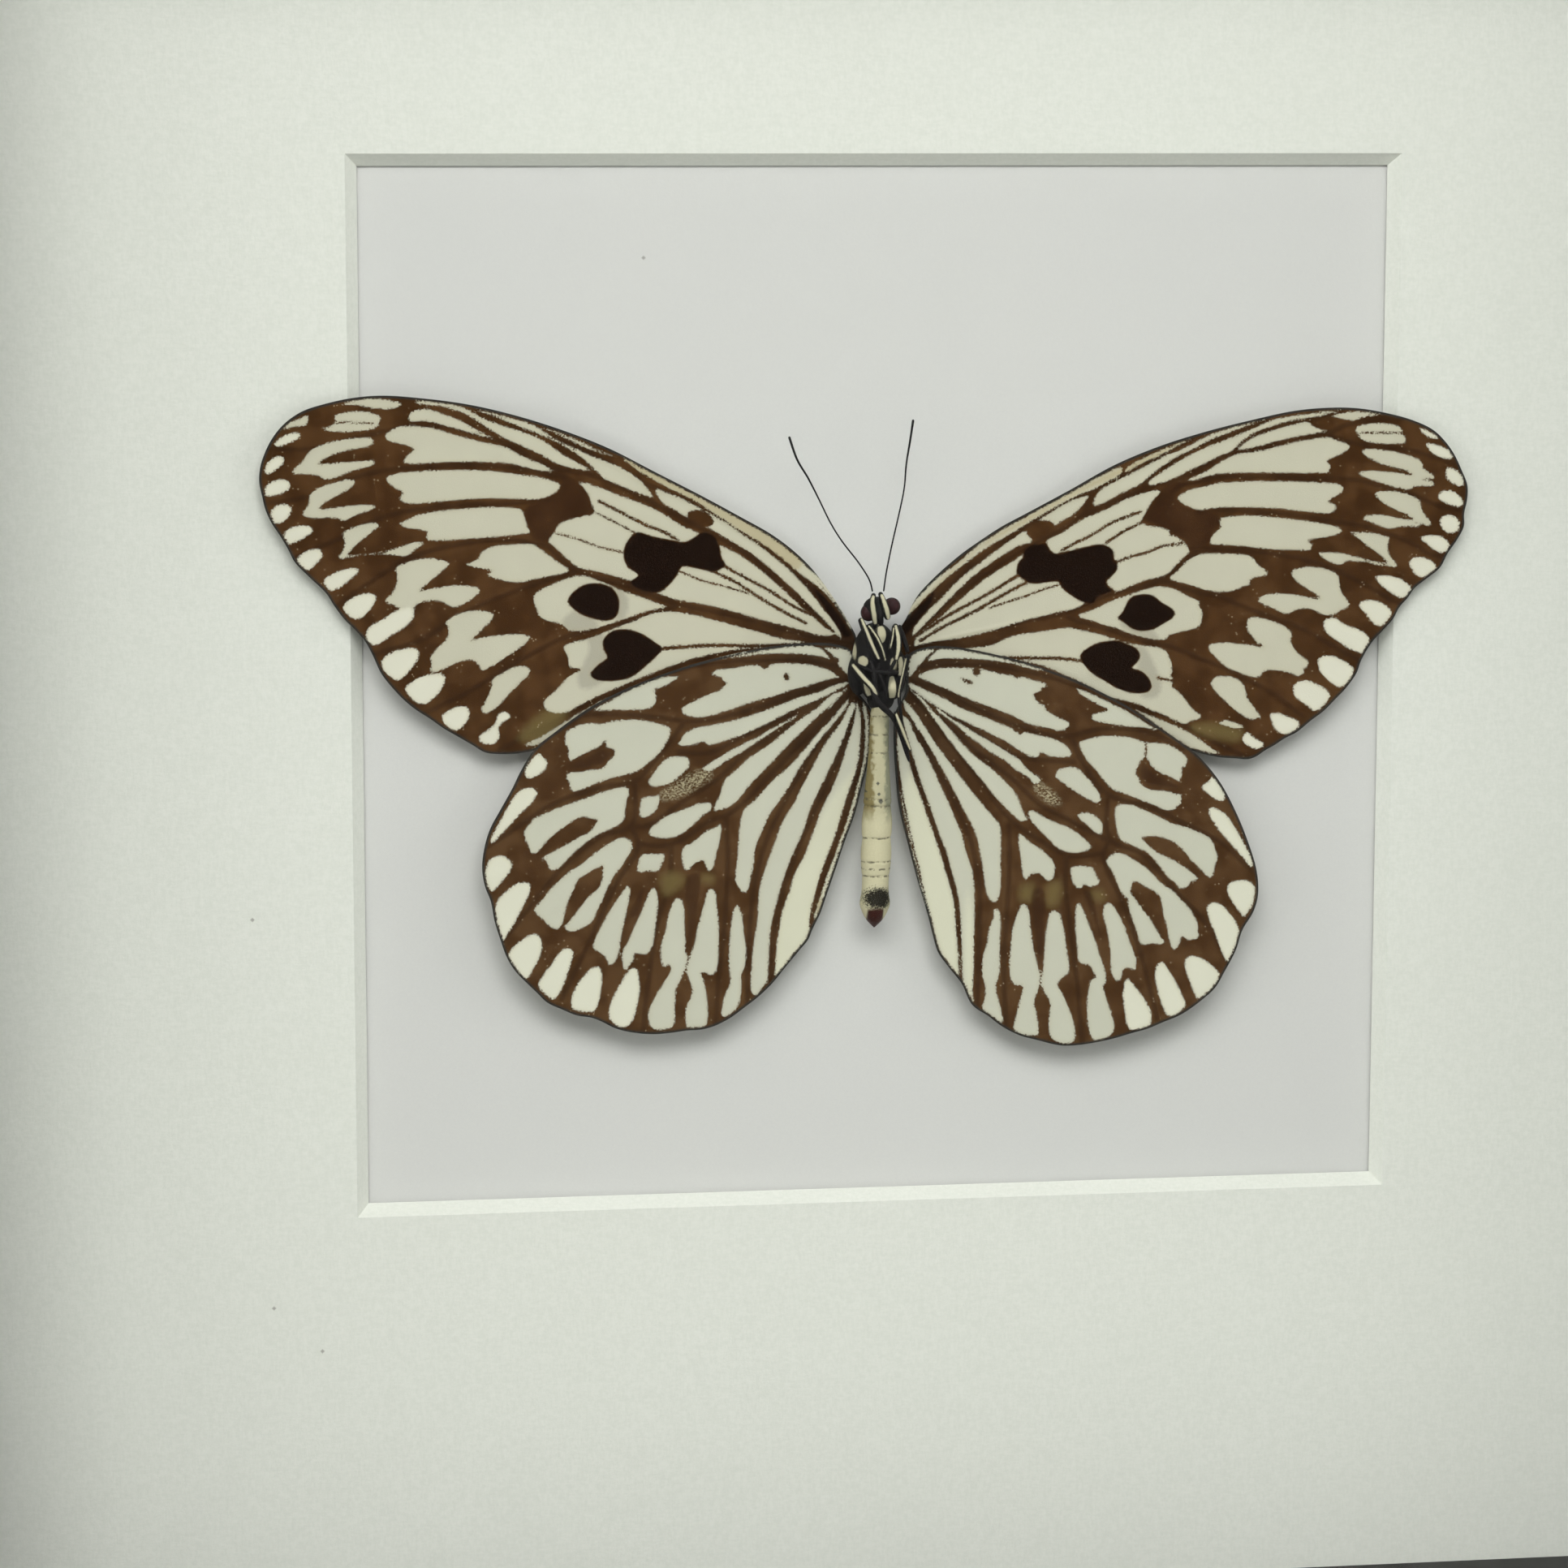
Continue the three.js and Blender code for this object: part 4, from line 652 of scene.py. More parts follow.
FOREWING_RIGHT_MARKS = {
    "rim": 0.26,
    "spots": [
        [(58.8, 27.9), (59.4, 27.7), (60.25, 27.3), (61.1, 26.75), (60.7, 26.6), (59.9, 26.8),
         (59.3, 27.2)],
        [(59.6, 26.1), (60.4, 26.1), (61.4, 25.8), (62.2, 25.4), (62.7, 24.8), (62.5, 24.4), (61.7, 24.45),
         (60.7, 24.8), (60, 25.4)],
        [(62, 23.4), (62.7, 23.4), (63.5, 22.9), (63.95, 22.2), (63.95, 21.45), (63.3, 21.45), (62.5, 21.8),
         (62, 22.4)],
        [(61.1, 20.3), (61.5, 20.9), (62.5, 20.95), (63.3, 20.6), (63.9, 19.85), (63.8, 19.1), (63, 19.2),
         (61.85, 19.6), (61.25, 19.95)],
        [(61.4, 17.25), (61.5, 18), (62.2, 18.3), (63.1, 18.1), (63.6, 17.5), (63.5, 16.6), (62.85, 16.2),
         (62, 16.4)],
        [(59.15, 15.8), (59.8, 16.05), (60.7, 16.1), (61.7, 15.9), (62.5, 15.15), (62.4, 14.4),
         (61.7, 14.1), (60.7, 14.5), (59.9, 15.15)],
        [(58, 13.05), (58.4, 13.6), (59.4, 13.7), (60.4, 13.35), (61.1, 12.6), (60.6, 11.95), (59.9, 11.4),
         (59, 11.5), (58.4, 12.2)],
        [(54.2, 11.6), (54.95, 11.75), (56.3, 11.6), (57.5, 11.1), (58.35, 10.2), (57.9, 9.5), (57.3, 9.15),
         (56.3, 9.6), (55.2, 10.35), (54.45, 11.1)],
        [(52.4, 8.6), (53, 9), (54.2, 9), (55.4, 8.5), (56.2, 7.6), (55.7, 6.75), (54.95, 6.1), (54.1, 6.4),
         (53.3, 7.4), (52.7, 8)],
        [(48.5, 6.8), (49, 7.1), (49.9, 7.1), (50.7, 6.5), (51.85, 6.05), (52.95, 5.6), (53.6, 5.05),
         (53.7, 4.4), (53.4, 3.6), (52.95, 3.2), (52.3, 3.3), (51.2, 3.8), (50.3, 4.4), (49.2, 5.15),
         (48.6, 5.9)],
        [(47.9, 2.5), (48.5, 2.95), (49.6, 2.95), (50.5, 2.6), (51.4, 2.05), (51.95, 1.5), (51.85, 0.85),
         (51.4, 0.1), (50.95, -0.35), (50.4, -0.6), (49.75, -0.25), (49, 0.3), (48.3, 1.05), (48, 1.7)],
        [(45.2, -0.35), (45.55, 0.1), (46.3, 0.3), (47.2, 0.2), (48.1, -0.25), (49, -0.8), (49.4, -1.35),
         (49.2, -1.9), (48.75, -2.45), (48.1, -3.05), (47.5, -3.1), (47, -2.7), (46.1, -2.1), (45.4, -1.5),
         (45.2, -0.9)],
        [(42.6, -3.45), (43.2, -3.2), (43.9, -3.35), (44.8, -3.7), (45.7, -4.1), (46, -4.55), (45.7, -5.1),
         (45, -5.55), (44.2, -5.65), (43.7, -5.45), (43.2, -5), (42.8, -4.2)],
        [(39.7, -5.55), (40.15, -5.3), (40.6, -5.65), (41.25, -6.1), (41.8, -6.45), (42, -6.8),
         (41.5, -7.15), (40.8, -7.15), (40.15, -6.8), (39.6, -6.3)],
    ],
    "cells": [
        [(49, 29.2), (50.1, 29.5), (51.5, 29.7), (53.2, 29.55), (54.7, 29.3), (53.7, 29.2), (52.5, 29),
         (51.5, 28.7), (50.5, 28.8)],
        [(51.7, 27.9), (52.5, 28.2), (53.7, 28.4), (55.2, 28.35), (56.4, 28.1), (57, 27.5), (56.9, 27.2),
         (57.4, 26.75), (57.35, 26.25), (56.4, 26.1), (55, 26.1), (53.5, 26.25), (52.4, 26.6),
         (51.9, 27.25)],
        [(52.5, 25.4), (53.2, 25.6), (54.7, 25.5), (56.7, 25.15), (58.15, 24.7), (59.15, 24.2),
         (59.4, 23.5), (59.9, 23.05), (60.7, 22.55), (60.6, 22.2), (60.1, 22.3), (59.4, 22.2),
         (60.25, 22), (60.7, 21.7), (60.4, 21.4), (59.4, 21.45), (58.4, 21.4), (57.9, 21.1),
         (56.7, 21.25), (55.4, 21.6), (54.2, 22), (53, 22.4), (52.2, 22.8), (52, 23.05), (53, 23.2),
         (54.2, 23.2), (55.7, 23.05), (56.9, 22.9), (58.15, 22.7), (57.7, 23.05), (56.2, 23.5),
         (54.7, 23.9), (53.5, 24.45), (52.7, 24.9)],
        [(54, 20.75), (54.7, 20.95), (56.2, 20.95), (57.7, 20.6), (58.65, 20.2), (59.15, 19.7), (59.3, 19),
         (59.6, 18.4), (60.4, 17.5), (60.25, 17.1), (59.4, 17.25), (58.4, 17.5), (59.15, 17.2), (58.9, 17),
         (57.7, 17.05), (56.7, 17), (55.9, 16.8), (54.7, 17.1), (53.5, 17.6), (52.6, 18.05), (53.2, 18.3),
         (54.7, 18.4), (55.9, 18.2), (57.2, 17.9), (58.4, 17.8), (57.7, 18.3), (56.4, 18.85), (55.2, 19.5),
         (54.3, 20.2)],
        [(51.2, 16.5), (52.5, 16.5), (54, 16.4), (55.2, 16.05), (55.8, 15.8), (55.6, 15.3), (55.6, 14.5),
         (55.9, 13.8), (56.7, 12.8), (56.55, 12.6), (55.7, 12.75), (54.2, 12.9), (53.2, 13.2), (52, 13.3),
         (51, 13.35), (50.3, 12.9), (49.3, 13.2), (48.3, 13.7), (47.8, 14.3), (48.8, 14.35),
         (50.3, 14.25), (51.7, 13.9), (53.2, 13.5), (54.45, 13.2), (55.6, 13.05), (55.3, 13.4),
         (54.45, 14.15), (53.5, 14.8), (52.7, 15.4), (52, 16)],
        [(44.8, 12.1), (44.95, 12.45), (45.8, 12.7), (47, 12.8), (48.3, 12.6), (49.5, 12.2), (50.1, 11.7),
         (50.2, 11.1), (50.4, 10.1), (51, 9.2), (51.4, 8.6), (51.1, 8.2), (50.3, 7.9), (49.8, 7.5),
         (49, 7.4), (48.3, 7.5), (47.3, 8), (46.1, 8.2), (45.1, 7.9), (44.3, 7.6), (43.1, 8.1),
         (41.9, 8.6), (41.1, 9.1), (41.1, 9.35), (41.9, 9.8), (43.8, 9.9), (45.8, 9.65), (47.3, 9.3),
         (48.1, 9.25), (47.3, 9.9), (46.3, 10.5), (45.5, 11.1), (45, 11.6)],
        [(39.9, 6.8), (40, 7.1), (40.5, 7.35), (41.25, 7.3), (42.1, 7.1), (43.5, 6.6), (44.3, 6.15),
         (44.9, 5.6), (45, 5.15), (44.8, 4.8), (45, 4.3), (45.4, 3.6), (46.1, 2.95), (46.8, 2.4),
         (46.9, 2.05), (46.7, 1.75), (46.3, 1.5), (46.4, 1.2), (46.1, 0.85), (45.7, 0.7), (45, 1.05),
         (44.1, 1.3), (43.2, 1.4), (42.1, 1.45), (41.7, 1.1), (41.5, 0.75), (40.8, 0.7), (39.9, 0.95),
         (39, 1.3), (37.9, 1.75), (37.05, 2.4), (36.2, 3.2), (35.7, 3.8), (35.7, 4.4), (36.4, 4.55),
         (37.7, 4.6), (39, 4.45), (40.4, 4.3), (41.5, 4.05), (41.8, 4.05), (41, 4.6), (40.4, 5.3),
         (39.9, 6.05)],
        [(35.95, 0.1), (36.1, 0.5), (36.5, 0.85), (37.5, 0.95), (38.4, 0.8), (39.3, 0.3), (39.7, -0.25),
         (39.9, -0.8), (40, -1.35), (40.4, -2), (41, -2.8), (41.6, -3.6), (41.65, -3.9), (41.25, -3.8),
         (40.8, -3.95), (40.1, -3.8), (39.5, -3.45), (38.6, -2.8), (37.7, -2), (36.8, -1.15), (36.3, -0.5)],
        [(36.9, -4.2), (37.7, -3.95), (38.6, -4.2), (39.5, -4.55), (39.7, -4.8), (39, -4.9), (37.9, -4.7),
         (37.3, -4.45)],
        [(26.4, 23.9), (28.8, 25.15), (31.3, 26.15), (33.5, 26.9), (32, 26.15), (30.1, 25.15), (28.1, 24.3),
         (26.1, 23.3)],
        [(22.7, 19.7), (22.8, 20.6), (23.5, 21.5), (24.9, 22.3), (26.6, 23.1), (28.6, 24.1), (30.6, 25.1),
         (32, 25.6), (33.5, 26.3), (35, 27.1), (37.9, 28.05), (40.1, 28.6), (41.6, 28.85), (40.1, 28.35),
         (37.9, 27.6), (35, 26.5), (34, 25.9), (32.3, 25.15), (30.8, 24.3), (29.3, 23.2), (28.1, 22.2),
         (27.1, 21.6), (26.1, 21.2), (24.2, 20.2)],
        [(28.6, 22.1), (29.8, 23.05), (31.3, 24.05), (33.3, 25.15), (35, 25.9), (37.9, 27), (40.4, 28),
         (42.4, 28.85), (43.8, 29.15), (45.8, 29.4), (47.3, 29.6), (49.3, 29.8), (50.1, 29.85), (49, 29.55),
         (47.8, 29.2), (46.3, 29), (44.8, 28.8), (42.4, 28.15), (40.1, 27.3), (38.7, 26.25), (37.8, 25.4),
         (36.9, 25.1), (35, 24.2), (33, 23.3), (31.8, 22.7), (30.1, 22.1), (28.8, 21.9)],
        [(38.5, 25.65), (39.15, 26.25), (40.1, 26.9), (42.4, 27.7), (44.8, 28.35), (46.3, 28.6),
         (47.05, 28.1), (48.5, 27.6), (48.9, 27.5), (47.8, 27.4), (45.8, 27.1), (43.8, 26.7),
         (41.9, 26.25), (40.1, 25.8), (39.15, 25.65)],
        [(33.1, 22.4), (35, 23.3), (36.9, 24.45), (38.4, 25.15), (40.1, 25.35), (42.4, 25.8), (44.8, 26.4),
         (47.3, 26.8), (48.8, 26.9), (49.3, 26.7), (50.4, 26.3), (51.05, 26), (51.05, 25.7), (50.6, 25.3),
         (49.3, 24.65), (48.6, 24.35), (48.9, 23.9), (49, 23.65), (48.8, 23.2), (49.3, 23.05), (47.3, 23),
         (42.9, 23.05), (39.4, 23.1), (36.4, 23), (34.5, 22.55), (33.5, 22.3)],
        [(31.9, 20.5), (32.5, 20.95), (33.5, 21.4), (35, 21.7), (36.4, 22.05), (39.4, 22.2), (42.9, 22.2),
         (45.8, 22.1), (49.3, 21.9), (50.1, 21.75), (50.5, 21.2), (50.1, 20.7), (49, 20.1), (48.8, 19.85),
         (49.5, 19.6), (49.7, 19.2), (49.5, 18.85), (49, 18.6), (45.8, 18.85), (42.9, 19.2), (39.4, 19.35),
         (36.4, 19.35), (34.5, 19.1), (33.5, 19.35), (32.5, 19.85)],
        [(35.65, 15.8), (35.95, 16.5), (36.7, 17.1), (36.8, 17.6), (36.6, 18.1), (37.3, 18.3), (39.4, 18.5),
         (42.9, 18.25), (45.8, 17.9), (49.3, 17.3), (50.1, 17), (50.4, 16.6), (49.8, 16.25), (48.3, 15.95),
         (46.8, 15.7), (46.6, 15.55), (47.05, 15.25), (47, 14.8), (46.6, 14.55), (45.8, 14.6), (42.9, 14.7),
         (39.4, 15.1), (36.9, 15.3), (35.7, 15.4)],
        [(31.2, 11.8), (32, 12.5), (33, 13.5), (34, 14.15), (34.8, 14.35), (36.4, 14.4), (38.4, 14.3),
         (39.9, 14.15), (40.5, 13.8), (41.1, 13.05), (41.9, 12.45), (42.2, 12.05), (41.6, 11.8),
         (40.5, 11.6), (40.1, 11.3), (40.3, 10.95), (39.4, 10.7), (38.7, 10.35), (37.4, 10.15),
         (36, 10.2), (34.5, 10.6), (33, 11.1), (31.5, 11.5)],
        [(21.1, 7.8), (22.7, 8.4), (24.9, 9.4), (26.4, 9.9), (28.1, 10.45), (29.8, 10.85), (31.2, 10.75),
         (32.5, 10.2), (33.5, 9.65), (34.3, 9.3), (34.6, 9), (34.5, 8.7), (34.85, 8.2), (34.9, 7.5),
         (34.8, 6.9), (34.5, 6.35), (33.7, 6.1), (32.9, 5.9), (32, 5.7), (31.2, 5.4), (30.8, 5), (29.8, 5),
         (28.6, 5.2), (26.9, 5.7), (25.1, 6.4), (23.7, 6.8), (22.7, 7.15), (21.4, 7.55)],
        [(8.6, 4.3), (10.3, 4.55), (11.8, 4.8), (13.05, 5.4), (14.3, 5.8), (16.3, 6.05), (18.2, 6.3),
         (20.2, 6.5), (21.7, 6.15), (23.7, 5.7), (25.1, 5.2), (26.9, 4.7), (28.6, 4.4), (30.2, 4.15),
         (31, 3.7), (31.2, 3.2), (31.5, 2.5), (31.65, 1.85), (31.5, 1.2), (31.7, 0.6), (31.6, 0),
         (32.2, -0.6), (33.1, -1.5), (33.7, -2.35), (34.4, -3), (34.95, -3.45), (34.6, -3.8), (33.7, -4),
         (33.3, -4.3), (32, -3.9), (30.65, -3.2), (29.3, -2.7), (28, -2.1), (24.9, -1.25), (22.7, -0.15),
         (20.9, 0.75), (19.2, 1.5), (17.2, 2.35), (15.3, 2.8), (12.8, 3.3), (10.8, 3.9)],
        [(27.5, -2.6), (29, -3.2), (31, -4), (33, -4.9), (34.5, -5.8), (36, -6.9), (37, -7.6), (35.5, -7.5),
         (34, -7.2), (33.5, -6.8), (31.5, -5.5), (29.5, -4), (28, -3)],
        [(3.3, 5.7), (5.4, 7.4), (7.9, 9.6), (9.8, 11.2), (11.8, 12.6), (13.8, 13.8), (15, 14.55),
         (14.8, 13.9), (14.4, 13.2), (14.3, 12.5), (15, 11.8), (15.8, 11.4), (16.75, 11.5), (18.2, 11.6),
         (19, 11.4), (19.5, 10.7), (20.2, 10.1), (21.2, 9.5), (21.8, 9.1), (20.2, 8.4), (19.5, 8.3),
         (17.7, 7.9), (16.3, 7.6), (14, 7), (11.8, 6.3), (9.1, 5.7), (7.4, 5.4), (5.4, 5.2), (3.9, 4.9),
         (3.1, 4.8)],
        [(17.5, 15.8), (17.7, 16.15), (18.5, 16.5), (19.5, 17), (21.4, 18.25), (23.9, 19.25), (26.4, 20.5),
         (28.8, 21.2), (29.8, 21.35), (30.1, 21.1), (29.6, 20.6), (29.1, 20), (28.7, 19.35), (28.5, 18.9),
         (28.2, 18.4), (28, 17.9), (28.8, 17.5), (30.1, 17.3), (31.1, 16.9), (31.2, 16.5), (31.8, 16.3),
         (32.5, 15.9), (32.8, 15.65), (33.3, 14.9), (33.4, 14.55), (33, 14.2), (32, 13.2), (31.1, 12.3),
         (30.1, 11.85), (28.8, 11.6), (27.1, 11), (26.1, 10.6), (25.4, 10.35), (24.9, 10.6), (24.4, 11),
         (24.2, 11.4), (24.65, 12), (25.1, 12.6), (25.3, 13.2), (25.4, 13.6), (25, 13.9), (24.9, 14.7),
         (24.4, 15.2), (23.7, 15.35), (22.7, 15.3), (21.7, 15.2), (20.7, 14.9), (19.7, 14.8), (18.5, 14.55),
         (18, 14.9)],
        [(2.9, 6.5), (4, 8), (5, 9), (6, 9.9), (7.2, 11.2), (8.5, 12.4), (10, 13.5), (11, 14.3),
         (13, 15.7), (15.3, 17.1), (15.4, 16.65), (16, 15.95), (14.8, 15.6), (12.8, 14.5), (10.8, 13.2),
         (8.9, 11.7), (7.1, 10), (5.4, 8.3), (3.9, 6.8), (2.9, 5.9)],
        [(18.5, 17.6), (19.2, 18.1), (20.2, 18.6), (21.2, 19.5), (21.8, 20.2), (22.1, 20.8), (21, 20.6),
         (19.7, 20.1), (18.7, 19.5), (17.7, 18.9), (17, 18.5), (16.6, 18.2), (17.9, 18.1)],
        [(1.7, 7.6), (2.9, 9), (4.4, 10.9), (6.1, 12.4), (7.9, 13.8), (9.6, 15.3), (11.3, 16.4),
         (13.8, 17.9), (15.3, 18.6), (16.75, 19.5), (19.2, 20.85), (21.7, 22.1), (24.15, 23.3),
         (25.6, 23.9), (25.9, 23.6), (25.4, 22.9), (24.15, 22.3), (22.7, 21.5), (21.2, 21), (19.2, 20),
         (17.2, 18.9), (15.3, 17.8), (13.3, 16.6), (11.8, 15.8), (9.8, 14.5), (8.6, 13.6), (6.9, 12.3),
         (5.4, 11), (3.9, 9.6), (2.1, 7.8)],
    ],
    "streaks": [
        (0.15, [[(3.4, 5.9), (5.9, 7.5), (8.4, 8.9), (10.8, 10.1), (13.3, 11.6), (14.3, 12.2)],
                [(3.7, 5.3), (6.1, 6.7), (8.4, 7.8), (10.3, 8.75), (11.8, 9.6), (13.8, 10.7), (15.3, 11.4)],
                [(12.8, 3.33), (16.3, 3.2), (19.2, 3.13), (21.4, 2.85)]]),
        (0.12, [[(19.2, 14.9), (20.7, 15.7), (22.7, 16.65), (24.6, 17.8), (26.4, 18.5), (27.9, 19)],
                [(24.15, 15.7), (25.9, 16.8), (27.1, 17.4), (28, 17.8)],
                [(25.4, 13.6), (27.1, 14.2), (28.6, 14.55), (30.3, 15.2), (32.5, 15.5)],
                [(30, 0.85), (31.6, 0.45)]]),
        (0.07, [[(11.3, 8.75), (13.3, 9.4), (15.3, 10), (17.2, 10.7), (19, 11.2)], [(52.4, 27.36),
                                                                                    (56.9, 27.3)]]),
    ],
    "slivers": [(0.25, [[(2.4, 8.4), (4, 10.3), (5.6, 11.8), (7, 12.9)]]), ],
    "dark": [
        [(1.6, 7.3), (2.2, 7.6), (4, 9.5), (5.2, 10.6), (4.8, 9.2), (3.2, 7.2), (2, 5.9)],
        [(14.3, 12.95), (14.5, 13.7), (15, 14.2), (15, 14.9), (15.8, 15.5), (16.75, 15.7), (17.5, 15.65),
         (17.9, 14.9), (18.5, 14.55), (19.7, 14.7), (21, 15.05), (22.2, 15.3), (23.4, 15.5), (24.4, 15.2),
         (24.9, 14.7), (24.95, 13.95), (25.3, 13.4), (25.3, 12.7), (24.8, 12.1), (24.15, 11.5), (24.3, 11),
         (24.9, 10.4), (24.15, 10.1), (23.2, 9.75), (22.7, 9.1), (21.7, 9.25), (21, 9.6), (20, 10.25),
         (19.2, 11), (19, 11.5), (17.7, 11.5), (16.5, 11.35), (15.5, 11.5), (14.8, 12), (14.3, 12.45)],
        [(25.5, 7.5), (25.9, 7.9), (26.25, 8.5), (26.6, 9.25), (27.1, 9.75), (28.35, 10), (29.3, 9.85),
         (30.3, 9.1), (31.3, 8.5), (31.8, 7.9), (31.55, 7.4), (30.6, 6.8), (29.3, 6.15), (27.9, 6.05),
         (27.1, 6.3), (26.6, 6.65), (26.1, 7.05)],
        [(21.4, 3.1), (21.55, 3.7), (22.2, 4.2), (23.2, 4.7), (24.65, 4.95), (25.6, 4.95), (26.6, 4.55),
         (27.6, 4.05), (28, 3.3), (27.7, 2.6), (27.1, 2), (28.1, 1.6), (28.85, 1), (29.3, 0.1),
         (29.15, -0.5), (28.35, -0.8), (27.1, -0.75), (25.6, -0.25), (24.15, 0.6), (22.9, 1.35),
         (22.1, 2.1)],
    ],
    "blots": [
        [(15.6, 17.1), (15.4, 17.6), (16, 18), (17.2, 18.1), (18.2, 17.9), (18.5, 17.4), (19, 17.4),
         (18.5, 16.9), (18, 16.4), (17.4, 16.15), (17.2, 15.65), (16.25, 15.65), (16.1, 16.15),
         (15.6, 16.65)],
    ],
    "dusky": [
        [(28, 18.2), (28.9, 19.4), (29.9, 20.9), (30.6, 21.8), (31.8, 22.2), (33, 22.1), (32.4, 21.3),
         (31.9, 20.7), (32.1, 20.1), (33.1, 19.5), (34.5, 19.1), (36.3, 18.7), (36.7, 17.8), (35.9, 16.6),
         (35.5, 15.5), (34.3, 14.9), (33.5, 14.6), (33.2, 15.2), (32.8, 15.8), (31.8, 16.4), (31.1, 17),
         (29.8, 17.5)],
        [(1.4, 7.6), (2.2, 7.6), (4.5, 10.2), (6, 11.6), (5.6, 10.4), (3.4, 7.4), (2.2, 5.6), (1.6, 5.5)],
    ],
    "halo": [
        [(25.9, 6.8), (27.1, 5.8), (29.1, 4.9), (29.9, 5.2), (29.3, 5.9), (27.6, 6.3), (26.5, 6.9)],
        [(27.5, 4.2), (28.4, 4.1), (29.4, 2.4), (30.3, 0.2), (29.8, -1.2), (28.3, -1.1), (29.4, -0.2),
         (28.9, 1.1), (27.8, 2), (28.2, 3.2)],
    ],
    "warm": [
        [(1.7, 7.6), (6.1, 12.2), (11.3, 16.4), (16.8, 19.5), (21.7, 22.1), (26, 24.2), (33.5, 27.1),
         (30, 24.9), (25.5, 22.8), (21, 20.9), (15.3, 17.8), (9.8, 14.8), (5.4, 10.7), (2.1, 7.7)],
    ],
    "yellow": [],
    "olive": [[(34, -4.3), (39.5, -5), (39.3, -6.3), (36.5, -6), (34, -5)]],
    "worn": [],
    "veins": [
        [(22.6, 21.2), (24.6, 22.5), (25.9, 23), (28.6, 24.3), (30.1, 25.2), (33.5, 26.9)],
        [(27.9, 22), (29.8, 23.6), (32, 24.9), (34.5, 26.3), (37.9, 27.3), (40.4, 28.3), (41.9, 29)],
        [(37.7, 25.2), (38.7, 26), (40.1, 27.1), (42.4, 28), (44.8, 28.6), (46.6, 28.85), (49.3, 29.5),
         (50.3, 29.8)],
        [(30.1, 22.1), (32, 22.4), (34.5, 23.7), (36.9, 24.9), (38, 25.3), (40.1, 25.5), (42.4, 26.1),
         (44.8, 26.75), (47.3, 27.2), (49, 27.5), (50.3, 28.1), (52.5, 28.65), (54.7, 28.85), (56.9, 28.8)],
        [(48.8, 27.1), (50.8, 26.4), (53, 26), (55.4, 25.8), (57.9, 25.4), (59.1, 25.1), (61.1, 24.5),
         (62.8, 23.9)],
        [(32, 21.9), (34.5, 22.3), (36.4, 22.7), (39.4, 22.7), (42.9, 22.7), (45.8, 22.55), (49.3, 22.4),
         (52.5, 22.1), (55, 21.4), (57.9, 20.6), (59.9, 19.8), (61.6, 19.2), (63.8, 18.85)],
        [(34.2, 19), (36.4, 19.1), (39.4, 19), (42.9, 18.7), (45.8, 18.4), (49.3, 17.7), (52.5, 17.25),
         (55, 16.5), (56.9, 15.8), (58.65, 15), (60.4, 14), (61.9, 13.7)],
        [(34, 14.8), (36.4, 14.9), (39.4, 14.7), (42.6, 14.3), (45.8, 13.7), (49.3, 12.6), (51.2, 11.7),
         (53.5, 10.5), (55.4, 9.35), (56.9, 8.7)],
        [(30.3, 11.5), (32, 10.9), (34.5, 10.1), (36.9, 9.7), (39, 8.7), (43.8, 6.9), (46.3, 5.9),
         (50.1, 3.8), (52.5, 2.5)],
        [(20, 7.6), (24.9, 6.1), (28, 5.1), (31.5, 4.2), (35, 2.8), (37.5, 1.8), (40.8, 0.1), (43.5, -1.5),
         (46.3, -3.7)],
        [(3, 4.7), (8, 5.9), (12.8, 6.8), (16.3, 7.5), (19.5, 8.1), (21.7, 9), (24.9, 10.2), (28.6, 11),
         (30.3, 11.7), (34, 14.4)],
        [(2.5, 5.8), (5.4, 8.3), (7.9, 10.5), (10.3, 12.2), (12.8, 13.8), (15, 15.2), (17.5, 16.4),
         (19.5, 17.4), (21.4, 18.7), (23.9, 19.7), (26.4, 20.8), (28.8, 21.8), (30.1, 22.1)],
        [(2, 6.8), (5.4, 9.9), (7.9, 12.2), (10.3, 14.2), (12.8, 16), (15.3, 17.6), (18, 19.2),
         (20.9, 20.8), (22.7, 21.3)],
        [(21.6, 18.9), (22.1, 20), (22.6, 21.2)],
        [(10.8, 3.7), (15.3, 2.5), (19.2, 1.2), (22.7, -0.4), (24.9, -1.5), (28, -2.4), (30, -3),
         (32, -3.9), (34.8, -5.3), (37, -6.6), (40, -8)],
    ],
}
